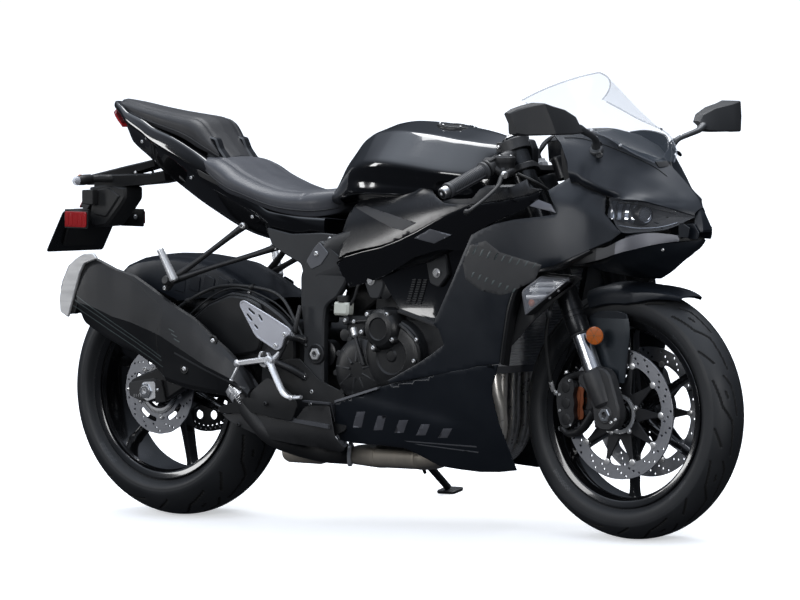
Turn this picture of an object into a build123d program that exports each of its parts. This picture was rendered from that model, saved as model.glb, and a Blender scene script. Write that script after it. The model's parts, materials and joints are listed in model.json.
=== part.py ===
from build123d import *
import math
import os

os.makedirs("parts", exist_ok=True)

# Sport motorcycle, 600 class.  Built upright with X forward from the rear axle, Y to the
# left and Z up from the ground; every piece is then leaned onto the side stand.

# ---------------------------------------------------------------- driving dimensions (mm)
WHEELBASE = 1400.0
R_FRONT, R_REAR = 300.0, 315.0          # tyre outer radii
CROWN_F, CROWN_R = 69.5, 99.6           # tread crown radii
RIM_R = 217.0                           # bead seat radius, 17 inch
RIM_HALF_F, RIM_HALF_R = 46.0, 70.0     # half width between rim flanges
RAKE = math.radians(23.5)
AXIS_FOOT = 1501.0                      # where the steering axis meets the ground
FORK_OFFSET = 29.4                      # fork line ahead of the steering axis, along X
FORK_Y = 105.0                          # fork leg centre from the middle plane
R_OUTER_TUBE, R_INNER_TUBE = 27.0, 20.5
STEM_BORE_R = 8.75                      # hollow top of the steering stem
DISC_F_R, DISC_F_Y = 155.0, 59.5        # front discs
DISC_R_R, DISC_R_Y = 110.0, -84.6       # rear disc, right side
SPROCKET_R, CHAIN_Y = 101.0, 99.0       # rear sprocket, left side
AXLE_R_RIGHT, AXLE_R_LEFT = 12.5, 13.5  # rear axle radius in the right and left arm
PIVOT_X, PIVOT_Z = 552.0, 422.0         # swingarm pivot
SPOOL, SPOOL_R, SPOOL_DEPTH = (42.0, 318.0), 4.0, 20.0   # M8 holes in the swingarm sides
LEAN = 11.0                             # lean onto the side stand, degrees to the left
SHELL = 4.0                             # thickness of the plastic panels

TAN = math.tan(RAKE)


def axis_x(z):
    """X of the steering axis at height z."""
    return AXIS_FOOT - z * TAN


def fork_x(z):
    """X of the fork leg centre at height z."""
    return axis_x(z) + FORK_OFFSET


# ---------------------------------------------------------------- shape helpers
def slab(outline, y0, y1, mode=Mode.ADD):
    """Plate with a side-view outline of (x, z) points, from y0 to y1."""
    with BuildSketch(Plane.XZ.offset(-y1)) as s:
        with BuildLine():
            Polyline(*outline, close=True)
        make_face()
    extrude(s.sketch, amount=y1 - y0, mode=mode)


def disc_y(x, z, r, y0, y1, mode=Mode.ADD):
    """Round plate about a crosswise axis, from y0 to y1."""
    with BuildSketch(Plane(origin=(x, y1, z), x_dir=(1, 0, 0), z_dir=(0, -1, 0))) as s:
        Circle(r)
    extrude(s.sketch, amount=y1 - y0, mode=mode)


def turned(x, z, profile, mode=Mode.ADD):
    """Ring turned about a crosswise axis through (x, z); profile points are (y, radius)."""
    with BuildSketch(Plane(origin=(x, 0, z), x_dir=(0, 1, 0), z_dir=(1, 0, 0))) as s:
        with BuildLine():
            Polyline(*profile, close=True)
        make_face()
    revolve(s.sketch, axis=Axis((x, 0, z), (0, 1, 0)), mode=mode)


def tyre(x, z, rim_half, flank, crown, r_out):
    """Tyre turned about its axle: straight flanks (y, radius) up to a round crown."""
    edge = flank[-1]
    with BuildSketch(Plane(origin=(x, 0, z), x_dir=(0, 1, 0), z_dir=(1, 0, 0))) as s:
        with BuildLine():
            Polyline((-edge[0], edge[1]), *[(-a, b) for a, b in reversed(flank[:-1])],
                     (-rim_half, RIM_R), (rim_half, RIM_R), *flank)
            ThreePointArc(edge, (0, r_out), (-edge[0], edge[1]))
        make_face()
    revolve(s.sketch, axis=Axis((x, 0, z), (0, 1, 0)))


def rod(p, q, r, mode=Mode.ADD):
    """Straight round bar from p to q."""
    d = Vector(*q) - Vector(*p)
    with BuildSketch(Plane(origin=p, z_dir=d.normalized())) as s:
        Circle(r)
    extrude(s.sketch, amount=d.length, mode=mode)


def pipe(points, bend, r, mode=Mode.ADD):
    """Round pipe along straight runs joined by arcs of radius bend."""
    with BuildLine() as path:
        FilletPolyline(*points, radius=bend)
    start = path.line @ 0
    with BuildSketch(Plane(origin=start, z_dir=path.line % 0)) as s:
        Circle(r)
    sweep(s.sketch, path=path.line, mode=mode)


def hull_x(stations, mode=Mode.ADD):
    """Body through cross-sections: each station is x and a ring of (y, z) points."""
    faces = []
    for x, ring in stations:
        with BuildSketch(Plane.YZ.offset(x)) as s:
            with BuildLine():
                Polyline(*ring, close=True)
            make_face()
        faces.append(s.sketch.faces()[0])
    loft(faces, ruled=True, mode=mode)


def both(half):
    """Full symmetric ring from half-ring points (y, z) given top to bottom."""
    return half + [(-y, z) for y, z in reversed(half)]


def skin(outer, s, t=SHELL):
    """Closed ring of a thin panel: outer points (y, z) with y > 0, thickness inward."""
    return [(s * y, z) for y, z in outer] + [(s * (y - t), z) for y, z in reversed(outer)]


def panel(stations, levels, s, t=SHELL):
    """Side panel: rows of x and half-widths at the given heights."""
    hull_x([(x, skin(list(zip(ys, levels)), s, t)) for x, *ys in stations])


def along(p, q, a):
    """Point at the fraction a of the way from p to q."""
    return tuple(u + (v - u) * a for u, v in zip(p, q))


# ---------------------------------------------------------------- front wheel
AXLE_F, AXLE_R = (WHEELBASE, R_FRONT), (0.0, R_REAR)

FLANK_F = [(46, 226), (57, 238), (60, 252), (58.5, 268)]      # (y, radius)
FLANK_R = [(70, 227), (85, 240), (88.5, 251), (86.8, 262)]

with BuildPart() as front_tyre:
    tyre(*AXLE_F, RIM_HALF_F, FLANK_F, CROWN_F, R_FRONT)

with BuildPart() as rear_tyre:
    tyre(*AXLE_R, RIM_HALF_R, FLANK_R, CROWN_R, R_REAR)


def rim(axle, half, hub_r, hub_half, bore, first, count=6):
    """Cast wheel: barrel with flanges, hub and thin spokes, first spoke angle in degrees."""
    x, z = axle
    turned(x, z, [(-half, 205), (half, 205), (half, 200), (half + 4.5, 200),
                  (half + 4.5, 224), (half, 224), (half, RIM_R), (-half, RIM_R),
                  (-half, 224), (-half - 4.5, 224), (-half - 4.5, 200), (-half, 200)])
    disc_y(x, z, hub_r, -hub_half, hub_half)
    for k in range(count):
        a = math.radians(first + k * 360 / count)
        c, w = math.cos(a), math.sin(a)
        pts = []
        for r, hw in ((hub_r - 4, 15), (120, 9), (207, 11)):   # radius, half width
            pts.append((r, hw))
        ring = pts + [(r, -hw) for r, hw in reversed(pts)]
        slab([(x + r * c - t * w, z + r * w + t * c) for r, t in ring], -14, 14)
    disc_y(x, z, bore, -hub_half - 1, hub_half + 1, mode=Mode.SUBTRACT)


with BuildPart() as front_rim:
    rim(AXLE_F, RIM_HALF_F, 38, 57, 14, -90)

with BuildPart() as front_discs:
    for s in (-1, 1):
        y0, y1 = sorted((s * (DISC_F_Y - 2.5), s * (DISC_F_Y + 2.5)))
        disc_y(*AXLE_F, DISC_F_R, y0, y1)
        disc_y(*AXLE_F, 120, y0, y1, mode=Mode.SUBTRACT)
        for k in range(5):
            a = math.radians(90 + 72 * k)
            c, w = math.cos(a), math.sin(a)
            ring = [(40, 9), (124, 5), (124, -5), (40, -9)]
            slab([(AXLE_F[0] + r * c - t * w, AXLE_F[1] + r * w + t * c) for r, t in ring],
                 y0, y1)
        disc_y(*AXLE_F, 48, y0, y1)
        disc_y(*AXLE_F, 22, y0, y1, mode=Mode.SUBTRACT)

# ---------------------------------------------------------------- rear wheel
HUB_R_HALF = 78.0
with BuildPart() as rear_rim:
    rim(AXLE_R, RIM_HALF_R, 52, HUB_R_HALF, 15, -79)

with BuildPart() as rear_disc:
    disc_y(*AXLE_R, DISC_R_R, DISC_R_Y - 2.5, DISC_R_Y + 2.5)
    disc_y(*AXLE_R, 22, DISC_R_Y - 2.6, DISC_R_Y + 6.6)
    disc_y(*AXLE_R, 40, DISC_R_Y + 2.5, DISC_R_Y + 6.6)
    disc_y(*AXLE_R, 18, DISC_R_Y - 3, DISC_R_Y + 7, mode=Mode.SUBTRACT)

with BuildPart() as rear_sprocket:
    disc_y(*AXLE_R, SPROCKET_R, CHAIN_Y - 3, CHAIN_Y + 3)
    disc_y(*AXLE_R, 62, HUB_R_HALF, CHAIN_Y - 3)
    disc_y(*AXLE_R, 18, HUB_R_HALF - 1, CHAIN_Y + 4, mode=Mode.SUBTRACT)

# ---------------------------------------------------------------- steering group
UP = (-math.sin(RAKE), 0.0, math.cos(RAKE))


def yoke(z, t, arm):
    """Clamp plate square to the steering axis, t thick above height z on the axis."""
    pl = Plane(origin=(axis_x(z), 0, z), x_dir=(0, 1, 0), z_dir=UP)
    off = FORK_OFFSET * math.cos(RAKE)
    with BuildSketch(pl) as s:
        with BuildLine():
            Polyline((-FORK_Y - 34, -off - arm), (FORK_Y + 34, -off - arm),
                     (FORK_Y + 34, -off + 30), (45, 26), (-45, 26),
                     (-FORK_Y - 34, -off + 30), close=True)
        make_face()
    extrude(s.sketch, amount=t)


def fork_point(z, s):
    return (fork_x(z), s * FORK_Y, z)


with BuildPart() as steering_yokes:
    yoke(705, 34, 32)
    yoke(866, 16, 30)
    rod((axis_x(700), 0, 700), (axis_x(925), 0, 925), 14)
    rod((axis_x(896), 0, 896), (axis_x(930), 0, 930), STEM_BORE_R, mode=Mode.SUBTRACT)
    for s in (-1, 1):
        rod(fork_point(690, s), fork_point(960, s), R_OUTER_TUBE, mode=Mode.SUBTRACT)

with BuildPart() as fork_legs:
    for s in (-1, 1):
        rod(fork_point(489, s), fork_point(952, s), R_OUTER_TUBE)
        rod(fork_point(340, s), fork_point(494, s), R_INNER_TUBE)
        y0, y1 = sorted((s * 86, s * 122))
        # axle bracket with the caliper lugs behind the leg
        slab([(1365, 272), (1432, 272), (1440, 315), (1405, 400), (1352, 415), (1318, 392),
              (1345, 330)], y0, y1)
        disc_y(*AXLE_F, 12.5, y0 - 1, y1 + 1, mode=Mode.SUBTRACT)

with BuildPart() as front_axle:
    disc_y(*AXLE_F, 12.5, -114, 122)
    disc_y(*AXLE_F, 19, -86, -66)
    disc_y(*AXLE_F, 19, 66, 86)
    disc_y(*AXLE_F, 7, -115, 123, mode=Mode.SUBTRACT)

with BuildPart() as front_calipers:
    for s in (-1, 1):
        y0, y1 = sorted((s * (DISC_F_Y - 24), s * (DISC_F_Y + 25)))
        slab([(1236, 300), (1262, 250), (1300, 252), (1330, 300), (1322, 352), (1300, 392),
              (1262, 385)], y0, y1)
        g0, g1 = DISC_F_Y - 8, DISC_F_Y + 8
        disc_y(*AXLE_F, DISC_F_R + 6, *sorted((s * g0, s * g1)), mode=Mode.SUBTRACT)
        disc_y(*AXLE_F, 100, *sorted((s * 30, s * 90)), mode=Mode.SUBTRACT)

# mudguard: a band bent round the tyre; ring points (y, radius), start and sweep in degrees
FENDER = [(-74, 262), (-74, 290), (-44, 306), (0, 312), (44, 306), (74, 290), (74, 262),
          (70, 262), (70, 287), (42, 302), (0, 307.5), (-42, 302), (-70, 287), (-70, 262)]


def bent_band(axle, ring, start, sweep_angle, mode=Mode.ADD):
    """Part ring about a crosswise axis: section (y, radius), angles from +X towards +Z."""
    a = math.radians(start)
    out = (math.cos(a), 0, math.sin(a))
    centre = (axle[0], 0, axle[1])
    with BuildSketch(Plane(origin=centre, x_dir=(0, 1, 0),
                           z_dir=(math.sin(a), 0, -math.cos(a)))) as s:
        with BuildLine():
            Polyline(*ring, close=True)
        make_face()
    revolve(s.sketch, axis=Axis(centre, (0, -1, 0)), revolution_arc=sweep_angle, mode=mode)


with BuildPart() as front_fender:
    bent_band(AXLE_F, FENDER, 56, 52)
    for s in (-1, 1):
        slab([(1330, 548), (1440, 560), (1400, 470), (1375, 440), (1340, 455)],
             *sorted((s * 70, s * 75)))
    add(fork_legs.part, mode=Mode.SUBTRACT)

# handlebars: side, clamp on the fork top, bar end
BAR_IN, BAR_OUT = (1131.0, 132.0, 908.0), (1094.0, 330.0, 828.0)
with BuildPart() as clip_on_bars:
    for s in (-1, 1):
        a = (BAR_IN[0], s * BAR_IN[1], BAR_IN[2])
        b = (BAR_OUT[0], s * BAR_OUT[1], BAR_OUT[2])
        rod(fork_point(918, s), fork_point(944, s), R_OUTER_TUBE + 9)
        rod(along(a, b, -0.03), b, 11)
        rod(fork_point(870, s), fork_point(960, s), R_OUTER_TUBE, mode=Mode.SUBTRACT)

with BuildPart() as hand_grips:
    for s in (-1, 1):
        a = (BAR_IN[0], s * BAR_IN[1], BAR_IN[2])
        b = (BAR_OUT[0], s * BAR_OUT[1], BAR_OUT[2])
        rod(along(a, b, 0.44), along(a, b, 1.0), 17)
        rod(along(a, b, 1.0), along(a, b, 1.09), 14)
        rod(along(a, b, 0.40), along(a, b, 1.0), 11, mode=Mode.SUBTRACT)

with BuildPart() as control_levers:
    for s in (-1, 1):
        a = (BAR_IN[0], s * BAR_IN[1], BAR_IN[2])
        b = (BAR_OUT[0], s * BAR_OUT[1], BAR_OUT[2])
        # switch housing and perch round the bar, lever in front of the grip
        rod(along(a, b, 0.14), along(a, b, 0.38), 21)
        rod(along(a, b, 0.30), (1160, s * 205, 866), 9)
        pipe([(1158, s * 196, 868), (1172, s * 235, 838), (1153, s * 335, 778)], 30, 6)
    # fluid reservoir above the right perch
    rod((1150, -176, 878), (1150, -176, 912), 24)
    add(clip_on_bars.part, mode=Mode.SUBTRACT)

# ---------------------------------------------------------------- frame
# side stand: pivot, foot, and where the foot points when folded back
LEAN_R = math.radians(LEAN)
STAND_PIVOT = (560.0, 128.0, 250.0)
STAND_FOOT = (600.0, 318.0, 318.0 * math.tan(LEAN_R) + 8.0)
STAND_FOLDED = (-265.0, 30.0, -62.0)
STAND_DOWN = Vector(*[b - a for a, b in zip(STAND_PIVOT, STAND_FOOT)])
STAND_AXIS = STAND_DOWN.cross(Vector(*STAND_FOLDED)).normalized()


def stand_pin(t):
    """Point on the stand's hinge axis, t mm out from its pivot."""
    return tuple(Vector(*STAND_PIVOT) + STAND_AXIS * t)


# spar stations: x, inner y, outer y, bottom z, top z
SPAR = [(560, 122, 146, 600, 690), (700, 124, 150, 610, 735), (900, 128, 160, 655, 790),
        (1040, 80, 118, 720, 836), (1116, 18, 50, 762, 838)]
PLATE = [(470, 612), (487, 552), (500, 425), (512, 345), (540, 275), (592, 281), (602, 430),
         (600, 548), (655, 592), (690, 640), (640, 730), (545, 690)]
with BuildPart() as frame:
    for s in (-1, 1):
        hull_x([(x, [(s * yi, zb), (s * yo, zb), (s * yo, zt), (s * yi, zt)])
                for x, yi, yo, zb, zt in SPAR])
        slab(PLATE, *sorted((s * 122, s * 146)))
    rod((560, -124, 640), (560, 124, 640), 18)
    rod((568, -124, 284), (568, 124, 284), 12)
    # lug that carries the side stand, bored for its pivot pin
    slab([(536, 290), (590, 290), (584, 206), (542, 206)], 100, 112)
    rod(stand_pin(-60), stand_pin(30), 6.4, mode=Mode.SUBTRACT)
    rod((axis_x(746), 0, 746), (axis_x(860), 0, 860), 32)
    rod((axis_x(730), 0, 730), (axis_x(900), 0, 900), 17, mode=Mode.SUBTRACT)

# rear subframe: two rails each side, from the frame up under the tail
with BuildPart() as subframe:
    for s in (-1, 1):
        slab([(470, 665), (545, 692), (545, 668), (470, 640), (60, 842), (60, 862)],
             *sorted((s * 62, s * 80)))
        slab([(500, 640), (545, 668), (470, 640)], *sorted((s * 62, s * 124)))
    slab([(60, 842), (60, 862), (110, 838), (110, 818)], -70, 70)
    add(frame.part, mode=Mode.SUBTRACT)

# chain loop: outline round the two sprockets
GEARBOX_X, GEARBOX_Z, GEARBOX_R = 640.0, 372.0, 36.0


def belt(ra, rb):
    """Tangent outline round the rear sprocket (radius ra) and the front one (rb)."""
    dx, dz = GEARBOX_X, GEARBOX_Z - R_REAR
    base, length = math.atan2(dz, dx), math.hypot(dx, dz)
    lean = math.acos((ra - rb) / length)
    top, low = base + lean, base - lean

    def at(cx, cz, r, a):
        return (cx + r * math.cos(a), cz + r * math.sin(a))
    with BuildLine() as l:
        Line(at(0, R_REAR, ra, top), at(GEARBOX_X, GEARBOX_Z, rb, top))
        ThreePointArc(at(GEARBOX_X, GEARBOX_Z, rb, top), at(GEARBOX_X, GEARBOX_Z, rb, base),
                      at(GEARBOX_X, GEARBOX_Z, rb, low))
        Line(at(GEARBOX_X, GEARBOX_Z, rb, low), at(0, R_REAR, ra, low))
        ThreePointArc(at(0, R_REAR, ra, low), at(0, R_REAR, ra, base + math.pi),
                      at(0, R_REAR, ra, top))
    return l.line


def loop_plate(outer, inner, y0, y1, mode=Mode.ADD):
    """Closed band between two belt outlines, from y0 to y1."""
    with BuildSketch(Plane.XZ.offset(-y1)) as s:
        make_face(belt(*outer))
        make_face(belt(*inner), mode=Mode.SUBTRACT)
    extrude(s.sketch, amount=y1 - y0, mode=mode)


with BuildPart() as drive_chain:
    loop_plate((120, 49), (108, 37), CHAIN_Y - 5, CHAIN_Y + 5)

with BuildPart() as chain_way:
    loop_plate((128, 57), (100, 29), CHAIN_Y - 12, CHAIN_Y + 9.5)

with BuildPart() as swingarm:
    arm = [(-62, 296), (-62, 340), (30, 372), (140, 500), (272, 566), (372, 542), (470, 478),
           (470, 398), (332, 400), (234, 388), (60, 292)]
    for s in (-1, 1):
        slab(arm, *sorted((s * 108, s * 134)))
        disc_y(PIVOT_X, PIVOT_Z, 34, *sorted((s * 84, s * 118)))
        slab([(430, 398), (430, 490), (470, 478), (552, 456), (552, 388)],
             *sorted((s * 84, s * 118)))
    slab([(372, 412), (372, 520), (470, 478), (470, 402)], -110, 110)
    # the axle is stepped: thicker where it passes the left arm
    rod((0, -140, R_REAR), (0, -100, R_REAR), AXLE_R_RIGHT, mode=Mode.SUBTRACT)
    rod((0, 100, R_REAR), (0, 140, R_REAR), AXLE_R_LEFT, mode=Mode.SUBTRACT)
    # threaded holes for the paddock stand spools
    for s in (-1, 1):
        disc_y(*SPOOL, SPOOL_R, *sorted((s * (134 - SPOOL_DEPTH), s * 135)),
               mode=Mode.SUBTRACT)
    add(chain_way.part, mode=Mode.SUBTRACT)

with BuildPart() as rear_axle:
    rod((0, -146, R_REAR), (0, 104, R_REAR), AXLE_R_RIGHT)
    rod((0, 104, R_REAR), (0, 146, R_REAR), AXLE_R_LEFT)
    for y0, y1 in ((-152, -134), (134, 152)):
        disc_y(*AXLE_R, 19, y0, y1)
    disc_y(*AXLE_R, 6, -153, 153, mode=Mode.SUBTRACT)

with BuildPart() as shock_absorber:
    rod((455, 0, 520), (520, 0, 640), 26)
    rod((440, 0, 492), (540, 0, 676), 10)

with BuildPart() as rear_caliper:
    slab([(88, 354), (85, 427), (24, 464), (-8, 429), (4, 387)], -102, -68)
    disc_y(*AXLE_R, DISC_R_R + 6, -92.5, -76.5, mode=Mode.SUBTRACT)
    slab([(40, 352), (88, 362), (88, 424), (60, 398)], -108, -102)

# ---------------------------------------------------------------- engine
with BuildPart() as engine_block:
    slab([(614, 330), (650, 250), (900, 222), (990, 262), (1000, 420), (990, 520), (640, 520)],
         -140, 140)
    slab([(600, 300), (706, 300), (706, 446), (600, 446)], 84, 141, mode=Mode.SUBTRACT)
    slab([(820, 519), (992, 519), (1006, 600), (960, 650), (850, 650)], -116, 116)

with BuildPart() as engine_covers:
    disc_y(862, 438, 98, -178, -140)
    disc_y(775, 490, 50, -192, -140)
    disc_y(884, 400, 84, 140, 180)

with BuildPart() as radiator:
    slab([(1056, 388), (1082, 388), (1146, 650), (1120, 650)], -172, 172)

with BuildPart() as exhaust_pipes:
    for y in (-78, -26, 26, 78):
        pipe([(980, y, 540), (1030, y, 500), (1030, y, 250), (985, y * .8, 172),
              (880, y * .6, 168)], 40, 17)
    add(engine_block.part, mode=Mode.SUBTRACT)
    hull_x([(600, [(-62, 146), (62, 146), (74, 172), (62, 198), (-62, 198), (-74, 172)]),
            (895, [(-62, 146), (62, 146), (74, 172), (62, 198), (-62, 198), (-74, 172)])])
    pipe([(610, -30, 172), (520, -80, 178), (420, -166, 215), (345, -188, 330),
          (300, -190, 392)], 60, 26)

# silencer: rings of a six-sided section from the front joint to the end cap
# x, then (y, z) of the section corners
SIL = [(355, [(-166, 330), (-214, 330), (-226, 352), (-214, 388), (-166, 392), (-156, 360)]),
       (110, [(-158, 318), (-222, 318), (-238, 360), (-226, 500), (-170, 508), (-152, 400)]),
       (-140, [(-158, 470), (-224, 470), (-242, 510), (-230, 640), (-176, 656), (-156, 560)]),
       (-205, [(-170, 510), (-220, 510), (-234, 530), (-224, 600), (-182, 606), (-168, 560)])]
with BuildPart() as silencer:
    hull_x(list(reversed(SIL)))
    add(exhaust_pipes.part, mode=Mode.SUBTRACT)

# ---------------------------------------------------------------- tank, seats and tail
# tank stations: x, then half ring (y, z) from the top
TANK = [(560, [(0, 852), (52, 845), (84, 815), (84, 792), (60, 782)]),
        (620, [(0, 930), (70, 916), (116, 862), (116, 800), (90, 790)]),
        (700, [(0, 986), (84, 962), (152, 892), (146, 812), (110, 800)]),
        (820, [(0, 988), (104, 958), (176, 884), (158, 806), (110, 800)]),
        (950, [(0, 972), (104, 942), (172, 866), (150, 800), (110, 794)]),
        (1020, [(0, 956), (92, 930), (138, 862), (126, 800), (100, 794)]),
        (1062, [(0, 935), (50, 918), (74, 862), (74, 815), (50, 805)])]
with BuildPart() as fuel_tank:
    hull_x([(x, both(h)) for x, h in TANK])
    add(frame.part, mode=Mode.SUBTRACT)

# seat stations: x, half width, lower z, upper z
RIDER = [(150, 100, 876, 905), (230, 126, 818, 888), (300, 130, 796, 852),
         (400, 124, 764, 822), (500, 106, 752, 824), (552, 62, 762, 818)]
PILLION = [(-176, 36, 1026, 1042), (-60, 62, 980, 1020), (60, 86, 946, 1000),
           (116, 88, 924, 992), (196, 56, 884, 904)]


def cushion(stations):
    hull_x([(x, both([(w * .55, zt), (w * .9, zt - (zt - zb) * .3), (w, zb),
                      ])) for x, w, zb, zt in stations])


with BuildPart() as rider_seat:
    cushion(RIDER)
    add(fuel_tank.part, mode=Mode.SUBTRACT)

with BuildPart() as pillion_seat:
    cushion(PILLION)
    add(rider_seat.part, mode=Mode.SUBTRACT)

# tail stations: x, half width low, z low, half width high, z high
TAIL = [(-205, 26, 1004, 44, 1034), (-120, 44, 930, 72, 1008), (-20, 58, 868, 94, 968),
        (120, 72, 800, 108, 915), (250, 84, 742, 118, 850), (380, 98, 702, 124, 770),
        (540, 104, 694, 118, 752)]
with BuildPart() as tail_cowl:
    hull_x([(x, both([(wh * .8, zh + 4), (wh, zh - 8), (wl, zl)]))
            for x, wl, zl, wh, zh in TAIL])
    for other in (rider_seat, pillion_seat, fuel_tank, frame, subframe):
        add(other.part, mode=Mode.SUBTRACT)

with BuildPart() as tail_light:
    hull_x([(-216, [(-24, 1016), (24, 1016), (30, 1030), (-30, 1030)]),
            (-150, [(-60, 955), (60, 955), (62, 975), (-62, 975)])])
    add(tail_cowl.part, mode=Mode.SUBTRACT)
    add(pillion_seat.part, mode=Mode.SUBTRACT)

with BuildPart() as plate_bracket:
    hull_x([(-330, [(-30, 826), (30, 826), (30, 838), (-30, 838)]),
            (-200, [(-36, 836), (36, 836), (36, 856), (-36, 856)]),
            (-60, [(-42, 838), (42, 838), (42, 878), (-42, 878)]),
            (20, [(-44, 850), (44, 850), (44, 880), (-44, 880)])])
    slab([(-232, 842), (-200, 842), (-252, 740), (-272, 740)], -40, 40)
    add(tail_cowl.part, mode=Mode.SUBTRACT)
    add(subframe.part, mode=Mode.SUBTRACT)
    slab([(-276, 762), (-272.5, 762), (-333, 655), (-336.5, 655)], -120, 120,
         mode=Mode.SUBTRACT)

with BuildPart() as number_plate:
    slab([(-276, 762), (-272.5, 762), (-333, 655), (-336.5, 655)], -110, 110)
    add(plate_bracket.part, mode=Mode.SUBTRACT)

HUG = [(-112, 628, 98), (-40, 650, 99), (60, 655, 99), (190, 638, 99), (300, 588, 98),
       (352, 560, 96)]
with BuildPart() as rear_hugger:
    for (xa, za, wa), (xb, zb, wb) in zip(HUG, HUG[1:]):
        hull_x([(x, [(-w, z - 34), (-w * .6, z), (w * .6, z), (w, z - 34),
                     (w - 4, z - 36), (w * .56, z - 5), (-w * .56, z - 5), (-w + 4, z - 36)])
                for x, z, w in ((xa, za, wa), (xb, zb, wb))])
    for s in (-1, 1):
        slab([(200, 585), (300, 575), (300, 548), (236, 548)], *sorted((s * 92, s * 108)))
    add(swingarm.part, mode=Mode.SUBTRACT)

# ---------------------------------------------------------------- fairing
LEVELS = (400, 500, 620, 720, 835)
# x, then half width at each level
FLANK = [(870, 196, 208, 215, 212, 205), (1060, 206, 218, 228, 226, 216),
         (1200, 210, 228, 240, 236, 222), (1330, 195, 215, 232, 228, 216),
         (1492, 168, 182, 198, 192, 176)]
SIDE_CUT = [(1296, 830), (1372, 822), (1457, 810), (1456, 780), (1488, 730), (1428, 696),
            (1329, 650), (1260, 638), (1220, 603), (1196, 535), (1187, 501), (1169, 456),
            (1156, 414), (1065, 408), (988, 459), (977, 497), (1057, 682), (1114, 710),
            (1171, 770), (1217, 780)]
COVER_LEVELS = (575, 650, 720, 790, 862)
COVER = [(600, 140, 146, 150, 146, 140), (700, 158, 164, 168, 166, 158),
         (850, 184, 192, 198, 196, 190), (1000, 200, 212, 218, 214, 206),
         (1110, 208, 220, 224, 220, 212), (1310, 212, 220, 220, 216, 208)]
COVER_CUT = [(783, 846), (856, 806), (1003, 784), (1074, 784), (1237, 856), (1294, 832),
             (1216, 781), (1170, 771), (1113, 711), (1082, 719), (984, 696), (844, 633),
             (728, 606), (611, 640), (640, 690), (700, 770)]

with BuildPart() as side_fairings:
    for s in (-1, 1):
        panel(FLANK, LEVELS, s)
    slab(SIDE_CUT, -300, 300, mode=Mode.INTERSECT)

with BuildPart() as side_covers:
    for s in (-1, 1):
        panel(COVER, COVER_LEVELS, s)
    slab(COVER_CUT, -300, 300, mode=Mode.INTERSECT)
    for other in (side_fairings, frame, fuel_tank, rider_seat, tail_cowl):
        add(other.part, mode=Mode.SUBTRACT)

# lower cowl: x, then outer (y, z) from the keel up
BELLY = [(610, [(92, 204), (132, 212), (160, 262), (166, 314)]),
         (800, [(84, 168), (128, 186), (172, 270), (190, 362)]),
         (1010, [(84, 150), (122, 168), (184, 285), (206, 404)]),
         (1135, [(84, 152), (112, 170), (186, 300), (206, 404)])]
with BuildPart() as lower_cowls:
    for s in (-1, 1):
        hull_x([(x, [(s * y, z) for y, z in o] + [(s * (y - SHELL), z + 1) for y, z in
                                                 reversed(o)]) for x, o in BELLY])
    for other in (side_fairings, engine_covers):
        add(other.part, mode=Mode.SUBTRACT)
    # air outlet low in the left cowl
    slab([(884, 202), (948, 202), (948, 300), (884, 300)], 120, 250, mode=Mode.SUBTRACT)

# nose: x, then outer (y, z) from the lower side edge to the screen edge
NOSE = [(1300, [(215, 832), (206, 868), (190, 920), (166, 984)]),
        (1400, [(210, 822), (196, 862), (170, 912), (132, 956)]),
        (1455, [(204, 813), (182, 852), (142, 892), (74, 922)]),
        (1500, [(192, 804), (160, 838), (100, 868), (0, 888)]),
        (1560, [(150, 790), (115, 812), (60, 832), (0, 842)]),
        (1598, [(60, 772), (45, 780), (25, 788), (0, 792)])]
with BuildPart() as upper_cowl:
    for s in (-1, 1):
        hull_x([(x, [(s * y, z) for y, z in o] +
                 [(s * max(y - SHELL, 0), z - SHELL) for y, z in reversed(o)])
                for x, o in NOSE])
    slab([(1540, 742), (1602, 733), (1596, 776), (1562, 834), (1530, 846)], -20, 20)
    # chin below the lamps, carried between the two sides of the nose
    hull_x([(1440, both([(150, 728), (186, 700), (180, 690), (140, 684)])),
            (1500, both([(140, 742), (178, 700), (150, 672), (60, 640)])),
            (1560, both([(90, 752), (110, 720), (80, 690), (40, 668)])),
            (1612, both([(16, 742), (22, 734), (14, 724), (6, 718)]))])
    add(side_fairings.part, mode=Mode.SUBTRACT)

with BuildPart() as headlights:
    for s in (-1, 1):
        hull_x([(1458, [(s * 120, 735), (s * 188, 735), (s * 196, 806), (s * 130, 806)]),
                (1520, [(s * 90, 745), (s * 150, 745), (s * 160, 788), (s * 90, 800)]),
                (1588, [(s * 30, 756), (s * 70, 752), (s * 66, 768), (s * 30, 776)])])
    for other in (upper_cowl, side_fairings):
        add(other.part, mode=Mode.SUBTRACT)


def arc_band(centre, edge, t):
    """Face of a bent sheet: middle point (x, z), edge point (x, y, z), thickness t."""
    mid, low = Vector(centre[0], 0, centre[1]), Vector(edge[0], 0, edge[2])
    rise, w = (mid - low).length, edge[1]
    up = (mid - low).normalized()
    pl = Plane(origin=low, x_dir=(0, 1, 0), z_dir=Vector(0, 1, 0).cross(up))
    with BuildSketch(pl) as s:
        with BuildLine():
            ThreePointArc((-w, 0), (0, rise), (w, 0))
            Line((w, 0), (w - t, 0))
            ThreePointArc((w - t, 0), (0, rise - t), (-w + t, 0))
            Line((-w + t, 0), (-w, 0))
        make_face()
    return s.sketch.faces()[0]


# screen: middle (x, z), edge (x, y, z)
SCREEN = [((1492, 898), (1478, 26, 896)), ((1463, 947), (1403, 128, 959)),
          ((1392, 1030), (1300, 160, 989)), ((1314, 1106), (1186, 160, 1034))]
with BuildPart() as windscreen:
    loft([arc_band(c, e, 3.0) for c, e in SCREEN], ruled=True)
    add(upper_cowl.part, mode=Mode.SUBTRACT)

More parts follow.
